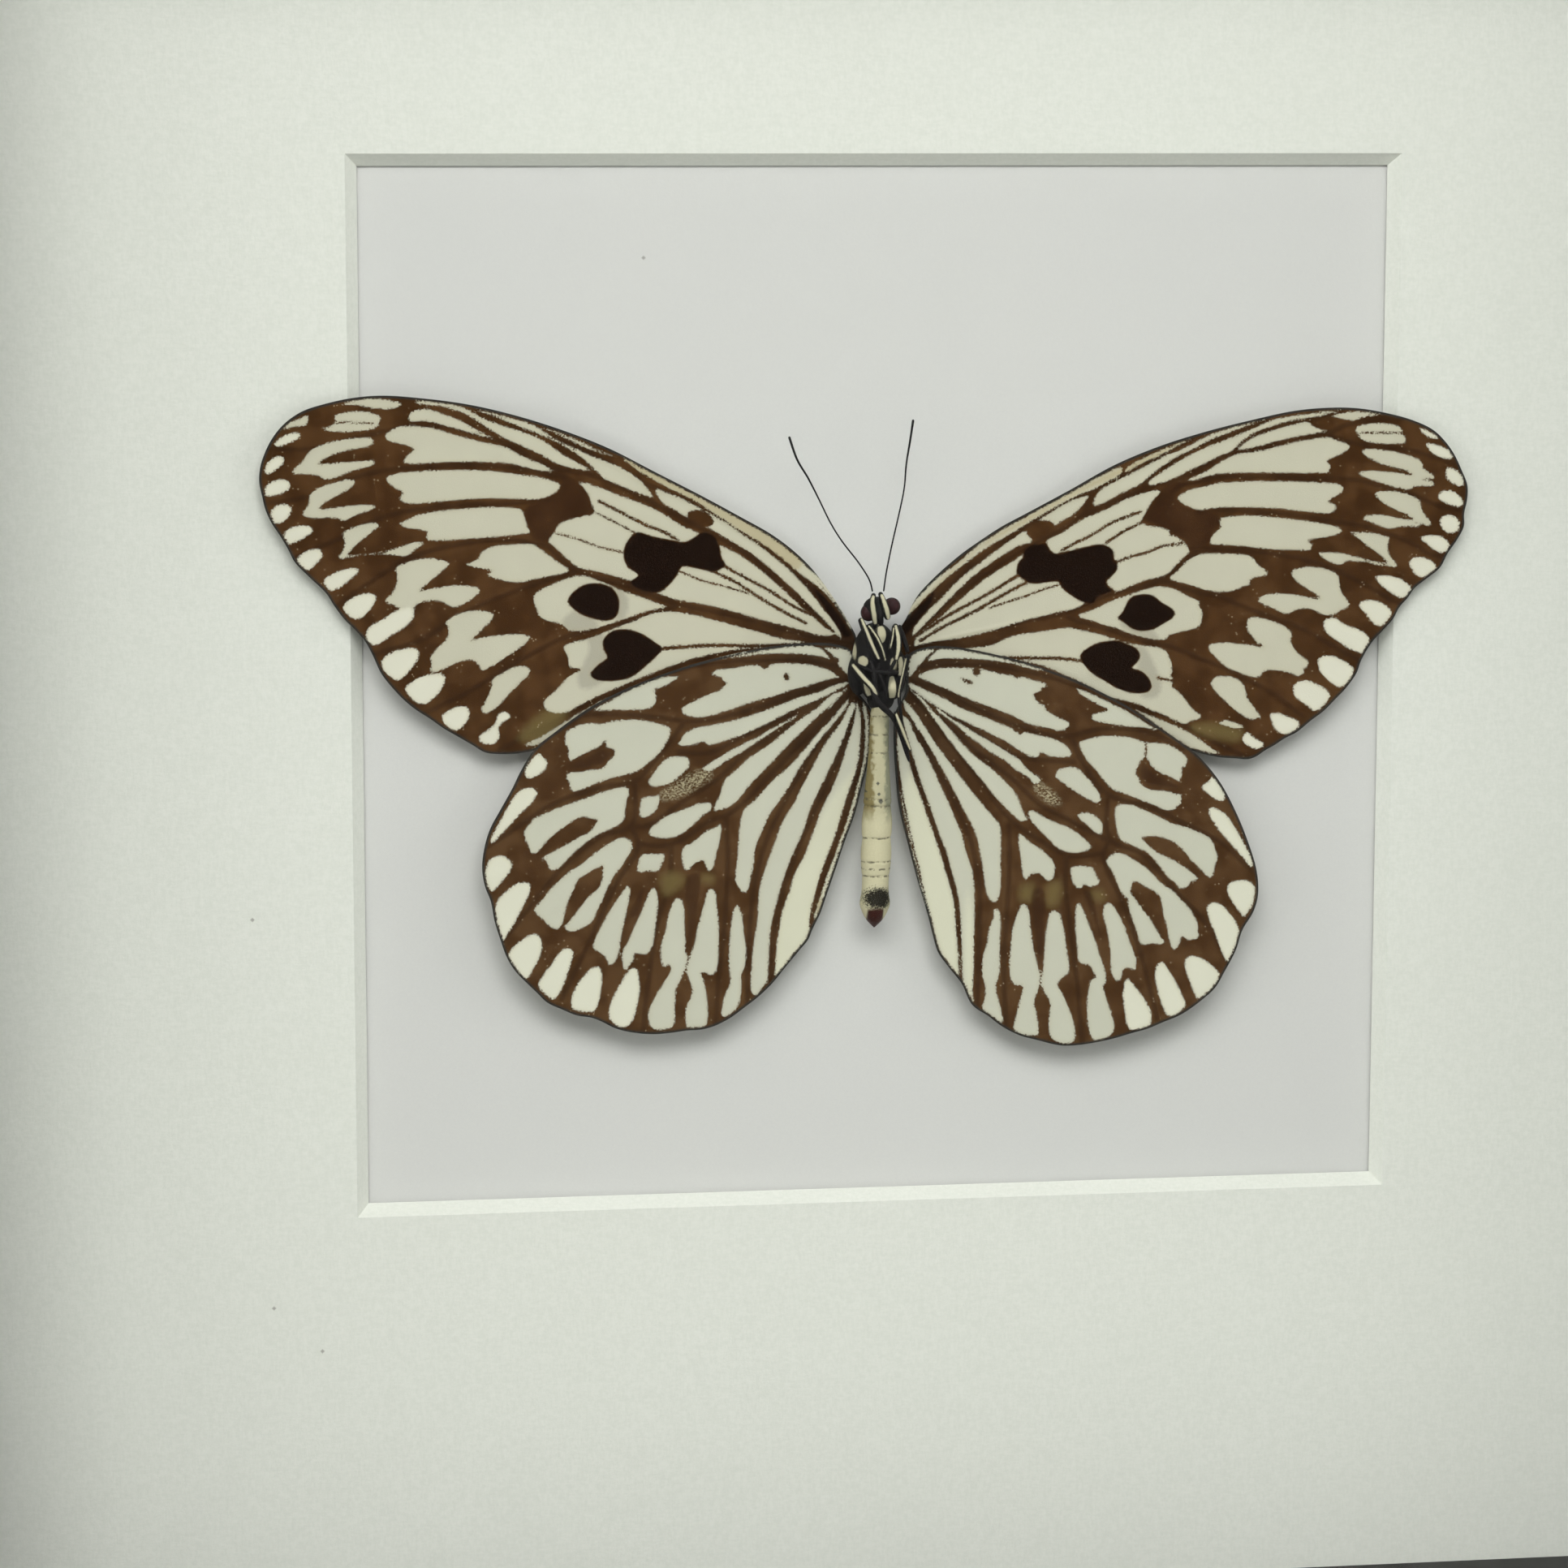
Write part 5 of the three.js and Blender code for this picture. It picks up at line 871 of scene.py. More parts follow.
HINDWING_LEFT_MARKS = {
    "rim": 0.24,
    "spots": [
        [(-39.3, -8.2), (-39.1, -7.7), (-38.7, -7.1), (-38.2, -6.5), (-37.8, -6.2), (-37.2, -6.6),
         (-36.8, -7.2), (-36.9, -7.8), (-37.4, -8.3), (-38, -8.7), (-38.7, -8.9), (-39.2, -8.7)],
        [(-43.05, -15.7), (-42.8, -15), (-42.2, -13.9), (-41.5, -12.6), (-40.9, -11.5), (-40.3, -10.7),
         (-39.7, -10.1), (-38.9, -9.9), (-38.2, -10), (-37.9, -10.5), (-38.2, -11.2), (-38.8, -11.9),
         (-39.6, -12.6), (-40.5, -13.6), (-41.3, -14.4), (-42.1, -15.2), (-42.8, -15.9)],
        [(-43.6, -19), (-43.4, -18.2), (-43, -17.5), (-42.3, -17.2), (-41.5, -17.3), (-40.9, -17.8),
         (-40.6, -18.2), (-40.8, -18.8), (-41.2, -19.4), (-41.8, -20.1), (-42.4, -20.8), (-42.9, -21.2),
         (-43.2, -20.8), (-43.5, -20)],
        [(-42.6, -23.4), (-42.4, -22.3), (-41.8, -21.5), (-41, -20.8), (-40.2, -20.3), (-39.4, -20.15),
         (-38.8, -20.3), (-38.7, -21), (-39, -21.9), (-39.5, -22.8), (-40, -23.8), (-40.5, -24.7),
         (-41.1, -25.6), (-41.7, -26.5), (-42.1, -26.1), (-42.4, -25.1), (-42.55, -24.2)],
        [(-41.2, -28), (-40.6, -27.2), (-39.8, -26.5), (-39, -26), (-38.2, -25.8), (-37.7, -26.2),
         (-37.45, -27), (-37.6, -27.9), (-38, -28.9), (-38.5, -29.8), (-39, -30.6), (-39.4, -30.8),
         (-40, -30.2), (-40.7, -29.4), (-41.1, -28.6)],
        [(-38, -31.5), (-37.7, -30.8), (-37.1, -29.9), (-36.4, -29), (-35.7, -28), (-35.1, -27.5),
         (-34.5, -27.5), (-34.1, -28), (-34.3, -28.9), (-34.6, -29.9), (-35, -31), (-35.4, -32),
         (-35.9, -32.8), (-36.3, -33.1), (-36.9, -32.8), (-37.5, -32.2)],
        [(-34.4, -33.9), (-34.4, -33), (-34, -32), (-33.4, -31), (-32.7, -30.2), (-32.1, -29.7),
         (-31.4, -29.6), (-31.1, -30), (-31, -31), (-31.1, -32.1), (-31.3, -33.2), (-31.6, -34.1),
         (-32, -34.6), (-32.7, -34.6), (-33.5, -34.5), (-34.1, -34.3)],
        [(-30.3, -35.2), (-30.3, -34.2), (-29.9, -33.1), (-29.3, -31.9), (-28.7, -30.9), (-28.2, -30.2),
         (-27.7, -29.8), (-27.2, -30), (-27, -31), (-26.9, -32.2), (-27.1, -33.5), (-27.4, -34.8),
         (-27.8, -35.8), (-28.4, -36.3), (-29.2, -36.3), (-29.9, -35.8)],
    ],
    "cells": [
        [(-6.8, 4.7), (-5.5, 4.6), (-4.3, 4.7), (-3.6, 4.4), (-3.3, 3.8), (-3.2, 2.6), (-3.3, 1.5),
         (-3.7, 1.4), (-4.3, 1.8), (-4.9, 2.4), (-5.3, 2.9), (-5.2, 3.4), (-5.6, 3.6), (-6.2, 4.2)],
        [(-18.5, 3.7), (-17, 4.05), (-15.5, 4.35), (-13.5, 4.7), (-11.5, 4.95), (-9.5, 5), (-8, 4.9),
         (-7.1, 4.6), (-6.6, 4.1), (-6.2, 3.5), (-7, 3.7), (-8.5, 3.95), (-10, 4.1), (-12.5, 4.15),
         (-14, 4.05), (-15.5, 3.9), (-17, 3.75)],
        [(-19, 2.1), (-18.6, 2.5), (-17.5, 2.6), (-16.5, 2.7), (-15.3, 2.9), (-14, 2.95), (-13.6, 2.7),
         (-13.3, 2.6), (-12.9, 2.8), (-12.6, 3), (-11, 3.1), (-9.5, 3.05), (-8.2, 2.85), (-7, 2.55),
         (-6.1, 2.2), (-5.4, 1.7), (-5.2, 1.5), (-6, 1.3), (-7.2, 1), (-8.5, 0.6), (-9.5, 0.35),
         (-10.5, 0.1), (-12, -0.4), (-13.5, -0.8), (-15, -1.2), (-16.5, -1.7), (-18, -2.2), (-19.3, -2.5),
         (-20.5, -2.65), (-21.5, -2.5), (-22.2, -2.1), (-22.3, -1.6), (-21.9, -1.3), (-21, -0.9),
         (-20, -0.4), (-19, 0), (-18.1, 0.3), (-17.8, 0.7), (-17.4, 1), (-17.8, 1.3), (-18, 1.6),
         (-18.5, 1.8)],
        [(-31.8, -1.6), (-30.5, -0.9), (-29.2, -0.2), (-28, 0.4), (-26.8, 1), (-25.5, 1.5), (-24.3, 1.8),
         (-22.9, 1.9), (-22.6, 1.8), (-23.3, 1.3), (-23.9, 0.9), (-24.8, 0.6), (-25.3, 0.3), (-25.1, 0),
         (-25, -0.6), (-25.3, -1.2), (-25.9, -1.6), (-27.5, -1.7), (-29.5, -1.7), (-31, -1.7)],
        [(-34.8, -4), (-34.3, -3.6), (-33.3, -3.2), (-32, -3), (-31, -3.15), (-30, -2.9), (-28.5, -2.75),
         (-27, -2.75), (-25.5, -3), (-24.2, -3.4), (-23.6, -3.7), (-23.5, -4.3), (-23.8, -5),
         (-24.3, -5.9), (-25, -6.7), (-25.8, -7.4), (-26.7, -8.1), (-27.5, -8.5), (-28.7, -8.8),
         (-30, -9.1), (-31.2, -9.5), (-32.3, -9.9), (-33.3, -10.3), (-34.1, -10.4), (-34.4, -10),
         (-34.5, -9.4), (-34.8, -8.9), (-34.6, -8.4), (-33.5, -8.3), (-32.3, -8.1), (-31.1, -8),
         (-30.6, -7.7), (-30.3, -7.2), (-29.8, -6.8), (-29.55, -6.2), (-29.9, -5.8), (-30.5, -5.6),
         (-30.5, -5), (-30.8, -5.1), (-31, -5.5), (-31.8, -5.9), (-32.7, -6.3), (-33.7, -6.8),
         (-34.4, -7.1), (-34.6, -6.6), (-34.55, -5.8), (-34.9, -5.2), (-34.9, -4.5)],
        [(-39.4, -14.9), (-39.2, -14.3), (-38.7, -13.8), (-38.4, -13.3), (-37.5, -12.9), (-36.3, -12.4),
         (-35, -11.9), (-33.5, -11.4), (-32, -10.9), (-30.5, -10.4), (-29, -10.05), (-28.2, -10.1),
         (-28, -10.7), (-28.25, -11.5), (-28.4, -12.5), (-28.5, -13.4), (-28.9, -14), (-29.7, -14.5),
         (-30.8, -14.9), (-31.8, -15.4), (-32.8, -16.1), (-33.8, -16.9), (-34.7, -17.8), (-35.4, -18.5),
         (-36, -18.9), (-36.6, -18.9), (-36.9, -18.3), (-37, -17.9), (-37.6, -17.8), (-37.3, -17.5),
         (-36.5, -17), (-35.5, -16.5), (-34.5, -16), (-33.5, -15.4), (-32.6, -15), (-32.1, -14.6),
         (-31.7, -14), (-31.45, -13.6), (-32.2, -13.4), (-33, -13.2), (-33.9, -13.5), (-34.6, -14),
         (-35.5, -14.6), (-36.4, -15.3), (-37.2, -16.1), (-37.9, -16.9), (-38.5, -17.1), (-38.8, -16.6),
         (-39.1, -15.9), (-39.3, -15.4)],
        [(-38.4, -23.2), (-37.8, -22.5), (-37, -21.5), (-36.2, -20.6), (-35.2, -19.7), (-34.2, -18.9),
         (-33.6, -18.6), (-32.8, -18), (-31.8, -17.2), (-30.8, -16.5), (-29.8, -15.9), (-28.8, -15.5),
         (-28.1, -15.7), (-27.7, -16.3), (-27.7, -16.8), (-28.2, -17.7), (-28.8, -18.6), (-29.4, -19.4),
         (-30, -20.3), (-30.5, -21.3), (-30.9, -22.3), (-31.4, -23.3), (-31.8, -24.2), (-32.2, -24.8),
         (-32.8, -25.2), (-33.5, -25.5), (-34.2, -25.7), (-34.8, -25.6), (-35.1, -25.3), (-34.7, -24.7),
         (-34.1, -24), (-33.5, -23.2), (-32.9, -22.4), (-32.2, -21.7), (-31.4, -21), (-31, -20.2),
         (-30.9, -19.3), (-30.9, -18.6), (-31.3, -18.7), (-31.9, -19), (-32.7, -19.5), (-33.4, -19.9),
         (-33.8, -20.5), (-34.2, -21.4), (-34.6, -22.3), (-34.9, -23.2), (-35.1, -24.1), (-35.3, -24.9),
         (-35.9, -25.4), (-36.5, -25.2), (-37, -24.8), (-37.4, -24.3), (-38, -23.8)],
        [(-32, -27.5), (-31.8, -26.6), (-31.3, -25.5), (-30.7, -24.4), (-30.1, -23.4), (-29.4, -22.3),
         (-28.7, -21.4), (-28.2, -20.8), (-27.95, -21.1), (-28, -22), (-28.2, -23.2), (-28.5, -24.5),
         (-28.8, -25.8), (-29, -27), (-29.2, -28.2), (-29.6, -29.1), (-30.2, -29.5), (-30.5, -29),
         (-30.9, -28.3), (-31.4, -28)],
        [(-28.9, -28.5), (-28.6, -27.6), (-28.1, -26.7), (-27.6, -25.5), (-27, -24.3), (-26.5, -23.1),
         (-26.1, -22.1), (-25.6, -21.2), (-25.3, -21.1), (-25, -21.7), (-24.9, -22.7), (-25, -24),
         (-25.2, -25.4), (-25.4, -26.8), (-25.7, -27.9), (-26.2, -28.4), (-27, -28.3), (-27.5, -28.3),
         (-27.6, -28.9), (-28, -29.5), (-28.4, -30.1), (-28.7, -29.8), (-28.8, -29.2)],
        [(-27.2, -19), (-27, -18.2), (-26.8, -17.6), (-26.3, -17.35), (-25.3, -17.4), (-24.3, -17.4),
         (-24.2, -17.8), (-24.5, -18.6), (-24.8, -19.2), (-25.3, -19.4), (-26, -19.25), (-26.6, -19.4),
         (-27.1, -19.3)],
        [(-26.9, -12.9), (-26.8, -12), (-26.6, -11.3), (-26, -11.1), (-25.2, -11.05), (-24.7, -11),
         (-24.75, -11.8), (-25.1, -12.6), (-25.6, -13.1), (-26.3, -13.4), (-26.8, -13.3)],
        [(-25.9, -9.7), (-25.6, -8.9), (-25, -8.1), (-24.3, -7.3), (-23.7, -6.9), (-22.7, -6.8),
         (-21.8, -6.9), (-21.4, -7.4), (-21.6, -8.1), (-22.2, -8.7), (-22.9, -9.3), (-23.7, -9.8),
         (-24.6, -10), (-25.4, -10.05)],
        [(-25.9, -15.2), (-25.7, -14.6), (-25, -14), (-24, -13.3), (-23, -12.9), (-21.9, -12.5),
         (-20.8, -12.1), (-19.9, -11.9), (-19.1, -12), (-19, -12.4), (-19.3, -12.9), (-20, -13.3),
         (-20.6, -13.9), (-21.5, -14.7), (-22.5, -15.4), (-23.5, -15.7), (-24.5, -15.7), (-25.5, -15.5)],
        [(-22.7, -5.5), (-22.4, -5), (-21.9, -4.3), (-20.9, -3.8), (-19.2, -3.5), (-17.6, -3.2),
         (-15.9, -2.8), (-14.2, -2.3), (-12.5, -1.7), (-10.8, -1.1), (-9.1, -0.5), (-7.4, -0.1),
         (-6.1, 0.5), (-4.9, 0.85), (-4.1, 0.9), (-4.6, 0.4), (-5.1, 0.2), (-6.1, -0.3), (-7.4, -0.9),
         (-9.1, -1.6), (-10.8, -2.3), (-12.5, -3.2), (-14.2, -3.95), (-15.9, -4.7), (-17.5, -5.2),
         (-18.9, -5.6), (-19.65, -5.6), (-19.8, -5.3), (-20.4, -5.4), (-21.1, -5.65), (-22, -5.7)],
        [(-9.8, -2.6), (-10.8, -3.1), (-12.5, -3.95), (-14.2, -4.95), (-15.9, -5.7), (-17.6, -6.6),
         (-18.7, -7.3), (-19.6, -7.8), (-20.1, -8.2), (-19.4, -8.5), (-18.4, -8.1), (-17.6, -7.5),
         (-15.9, -6.6), (-14.2, -5.5), (-12.5, -4.4), (-10.8, -3.3), (-9.8, -2.8)],
        [(-4.6, -0.1), (-5.7, -0.3), (-6.6, -0.9), (-7.4, -1.7), (-9.1, -2.8), (-10.8, -4.1), (-12.5, -5.5),
         (-14.2, -6.6), (-15.2, -7.3), (-16.5, -8.5), (-17.6, -9.4), (-17.9, -10.2), (-18.2, -11.2),
         (-18.7, -12.2), (-18.8, -12.8), (-18.1, -12.75), (-16.9, -12.3), (-15.9, -11.4), (-15, -10.2),
         (-14.2, -9.4), (-12.5, -7.7), (-10.8, -5.9), (-9.1, -4.3), (-7.4, -2.7), (-5.7, -1.2)],
        [(-4.1, -0.9), (-4.9, -1.7), (-5.7, -2.7), (-7.4, -4.5), (-9.1, -6.5), (-10.8, -8.3), (-12.5, -9.7),
         (-14.2, -11.6), (-15.5, -12.7), (-15.9, -13.9), (-16.05, -15.1), (-16.2, -16.8), (-16.3, -18.5),
         (-16.5, -20), (-16.4, -20.8), (-15.9, -21.6), (-15.4, -21.9), (-15, -21.4), (-14.85, -20.6),
         (-14.5, -18.9), (-14.35, -17.5), (-14, -16.2), (-13.4, -14.9), (-12.9, -13.7), (-12.3, -12.8),
         (-11.5, -11.7), (-10.5, -10.2), (-9.5, -8.4), (-8.3, -6.7), (-7.1, -5.1), (-6.1, -4), (-5.1, -2.8),
         (-4.3, -1.7)],
        [(-3.3, -1.4), (-3.9, -3), (-4.6, -5), (-5.9, -8), (-6.9, -10), (-8.3, -13), (-8.95, -15),
         (-10.3, -18), (-11.05, -20), (-11.65, -22), (-12.2, -24), (-12.6, -26), (-12.75, -28),
         (-12.85, -30), (-13, -31.7), (-13.5, -32.4), (-14.2, -33.2), (-14.7, -32.9), (-14.8, -31.6),
         (-14.7, -29.9), (-14.6, -28.2), (-14.35, -26.5), (-14.1, -24.8), (-14, -23.1), (-13.85, -21.4),
         (-13.4, -19.75), (-12.8, -18.1), (-12.15, -16.3), (-11.65, -14.9), (-11, -13.6), (-10.1, -12.2),
         (-9.3, -10.5), (-8.3, -8.7), (-7.3, -6.8), (-6.25, -5.1), (-5.2, -3.8), (-4.5, -2.6),
         (-3.9, -1.4)],
        [(-3.2, -1.2), (-3.45, -3), (-3.97, -5), (-4.9, -8), (-5.65, -10), (-7.1, -13), (-7.85, -15),
         (-9, -18), (-10.05, -20), (-10.6, -22), (-11.35, -24), (-11.7, -26), (-12, -28), (-12.1, -30),
         (-12.15, -31.1), (-11.5, -30.5), (-10.6, -29.4), (-9.6, -28.3), (-8.7, -27.2), (-8.3, -26.4),
         (-8.35, -25.3), (-8.2, -24), (-7.7, -22), (-7.1, -20), (-6.4, -18), (-5.6, -16), (-5, -14),
         (-4.4, -12), (-3.7, -10), (-3.2, -8.5), (-2.95, -7), (-2.8, -5), (-2.75, -3.2), (-2.95, -2)],
        [(-2.5, -1.3), (-2.1, -2.2), (-1.9, -3.5), (-1.9, -5), (-2, -6.5), (-2.2, -8), (-2.55, -9.5),
         (-2.95, -11), (-3.3, -12.4), (-3.75, -14), (-4.3, -16), (-5, -18), (-5.8, -20.3), (-6.3, -22),
         (-7, -24), (-7.6, -25), (-7.8, -25), (-7.7, -24), (-7, -22), (-6.4, -20), (-5.6, -18), (-4.9, -16),
         (-4.2, -14), (-3.6, -12), (-3.05, -10), (-2.6, -8.2), (-2.4, -7), (-2.3, -5), (-2.35, -3.3),
         (-2.6, -2)],
        [(-22.3, -17.3), (-22, -16.6), (-21.3, -16.3), (-20.5, -15.7), (-19.6, -15), (-18.7, -14.6),
         (-18.1, -14.3), (-17.95, -14.8), (-18.1, -15.7), (-18.2, -16.5), (-18.5, -17.4), (-18.7, -18.3),
         (-19, -19.2), (-19.4, -19.4), (-19.7, -19), (-19.8, -18.5), (-20.1, -18.2), (-20.6, -18.4),
         (-21.2, -18.8), (-21.5, -19.2), (-22, -19.2), (-22.2, -18.6), (-22.35, -17.9)],
        [(-24.65, -28.5), (-24.5, -29.5), (-24.2, -29.9), (-23.8, -29.6), (-23.5, -30), (-23.8, -30.7),
         (-24.1, -31.2), (-25, -32.6), (-25.7, -33.9), (-26, -34.8), (-25.9, -36.1), (-25.3, -36.7),
         (-24.3, -36.7), (-23.4, -36.5), (-23.1, -35.8), (-23.1, -34.1), (-22.9, -32.2), (-22.4, -31.2),
         (-21.95, -30.2), (-21.6, -31.2), (-21.2, -32.4), (-21.4, -33.3), (-21.9, -34.4), (-21.95, -35.6),
         (-21.8, -36.5), (-20.9, -36.6), (-19.75, -36.4), (-19.5, -35.6), (-19.5, -34.1), (-19.7, -32.4),
         (-20, -31.2), (-20.2, -30.6), (-19.7, -30.6), (-19.25, -30.9), (-18.7, -30.6), (-18.4, -29.9),
         (-18.3, -28.2), (-18.3, -26.5), (-18.3, -24.8), (-18.5, -23.1), (-18.7, -21.6), (-19.25, -21.3),
         (-19.6, -21.8), (-19.9, -23), (-20.3, -24.5), (-20.7, -25.8), (-20.9, -27.2), (-21.3, -28.2),
         (-21.6, -29.1), (-21.9, -28.2), (-21.95, -26.5), (-22, -24.8), (-22.1, -23.1), (-22.4, -22.4),
         (-22.9, -22.3), (-23.4, -23), (-23.8, -24.1), (-24.1, -25.7), (-24.6, -27.4)],
        [(-16.3, -23.2), (-15.9, -23.8), (-15.6, -25.2), (-15.5, -26.5), (-15.3, -27.7), (-15.3, -29),
         (-15.45, -30.05), (-15.8, -30.8), (-15.8, -31.9), (-15.9, -33.3), (-16.05, -34.1), (-16.7, -34.95),
         (-17.6, -35.5), (-18, -35.3), (-17.9, -34.1), (-17.6, -32.9), (-17.1, -31.9), (-17.05, -31.1),
         (-17.2, -29.9), (-17.2, -28.2), (-17.05, -26.5), (-16.9, -24.8), (-16.6, -23.6)],
    ],
    "streaks": [(0.05, [[(-21.6, -28.8), (-21.9, -30.3)]])],
    "slivers": [(0.08, [[(-4.4, 0.2), (-5.4, -0.9), (-6.3, -1.9)], [(-18.6, 3.9), (-17, 4.15),
                                                                    (-15.4, 4.35)]])],
    "dark": [],
    "blots": [
        [(-24.8, 0.6), (-23, 0.9), (-21.5, 1.8), (-20, 1.6), (-18.6, 1), (-19.6, 0), (-21.3, -0.8),
              (-23.4, -0.9), (-24.6, -0.2)],
        [(-11.2, 1.6), (-10.9, 2), (-10.7, 1.7), (-10.6, 1.4), (-10.9, 1.25)],
        [(-13.7, 3), (-13.3, 2.5), (-12.8, 2.9)],
    ],
    "dusky": [
        [(-34.8, -7.6), (-32.5, -6.6), (-30.7, -5.9), (-29.9, -6.3), (-30.8, -7.4), (-33, -7.9)],
        [(-26.9, -24), (-26.3, -20.6), (-25.5, -19.6), (-26.5, -20.8), (-28.2, -24.4)],
        [(-21.9, -20), (-20.3, -19.6), (-20.6, -23.5), (-21.5, -28), (-21.8, -24)],
    ],
    "halo": [],
    "warm": [[(-7.8, -23), (-7, -22.6), (-6.9, -23.6), (-7.6, -24.4)]],
    "yellow": [
        [(-4, -9), (-2.2, -8), (-5, -17.5), (-7, -23.5), (-8, -26.5), (-12.3, -31.5), (-12.3, -25),
         (-9.6, -18.5), (-6.4, -12)],
    ],
    "olive": [
        [(-24.6, -19.8), (-24.2, -22), (-22.8, -21.5), (-21.9, -20.2), (-23, -19.4)],
        [(-20.2, -20.6), (-18.9, -20.7), (-18.9, -19.9), (-20, -19.8)],
    ],
    "worn": [
        [(-24.8, -10.9), (-23.5, -10), (-22, -9), (-20.5, -8.3), (-19.2, -8.4), (-19, -9.3), (-20, -10),
         (-21.5, -10.9), (-23, -11.5), (-24.3, -11.6)],
    ],
    "veins": [
        [(-4.4, 1.2), (-9, 0), (-15, -1.9), (-20.5, -3), (-24.5, -2.6), (-28, -2.2), (-33, -2.2),
         (-36, -3.7)],
        [(-5.4, 2.7), (-9, 3.5), (-14, 3.5), (-19, 3.3), (-25, 1.9), (-30, -0.4), (-36, -4)],
        [(-22, -3), (-23.4, -5), (-26, -8.1), (-27.4, -9.4), (-31, -10), (-36, -11.6), (-40.5, -14.4),
         (-43.3, -16.2)],
        [(-27.4, -9.6), (-27.7, -14.2), (-31, -15.3), (-35, -18.4), (-38.5, -22.5), (-41.9, -26.8)],
        [(-27.7, -14.6), (-27, -16.5), (-29.5, -20.6), (-32, -26), (-35.4, -33)],
        [(-27, -16.3), (-23.5, -16.4), (-19.5, -14), (-16.8, -13), (-12.5, -8.8), (-8, -4.2), (-3.6, 0.3)],
        [(-23.5, -16.6), (-23.6, -20), (-25, -25), (-26.2, -33), (-26.6, -37)],
        [(-17.5, -13.4), (-17.3, -18), (-17.7, -26), (-18.4, -32), (-18.6, -36.4)],
        [(-4.2, -0.6), (-7, -4.6), (-9.9, -9.8), (-12.6, -15), (-14.2, -20), (-15, -27), (-15.2, -34)],
        [(-3.2, -1), (-4.8, -6.2), (-8.3, -14), (-11.1, -21.2), (-12.4, -27.5), (-12.6, -31.6)],
        [(-3, -0.6), (-2.5, -3.4), (-2.6, -6.8), (-3.8, -11.4), (-6, -18), (-7.9, -24), (-8, -26)],
        [(-9.8, -2.2), (-15, -4.4), (-19.5, -6.5), (-22.6, -6.3)],
        [(-10.4, -3.6), (-15, -6.3), (-18.5, -9.4), (-22, -11.6), (-26, -14.3), (-27.6, -14.4)],
    ],
}
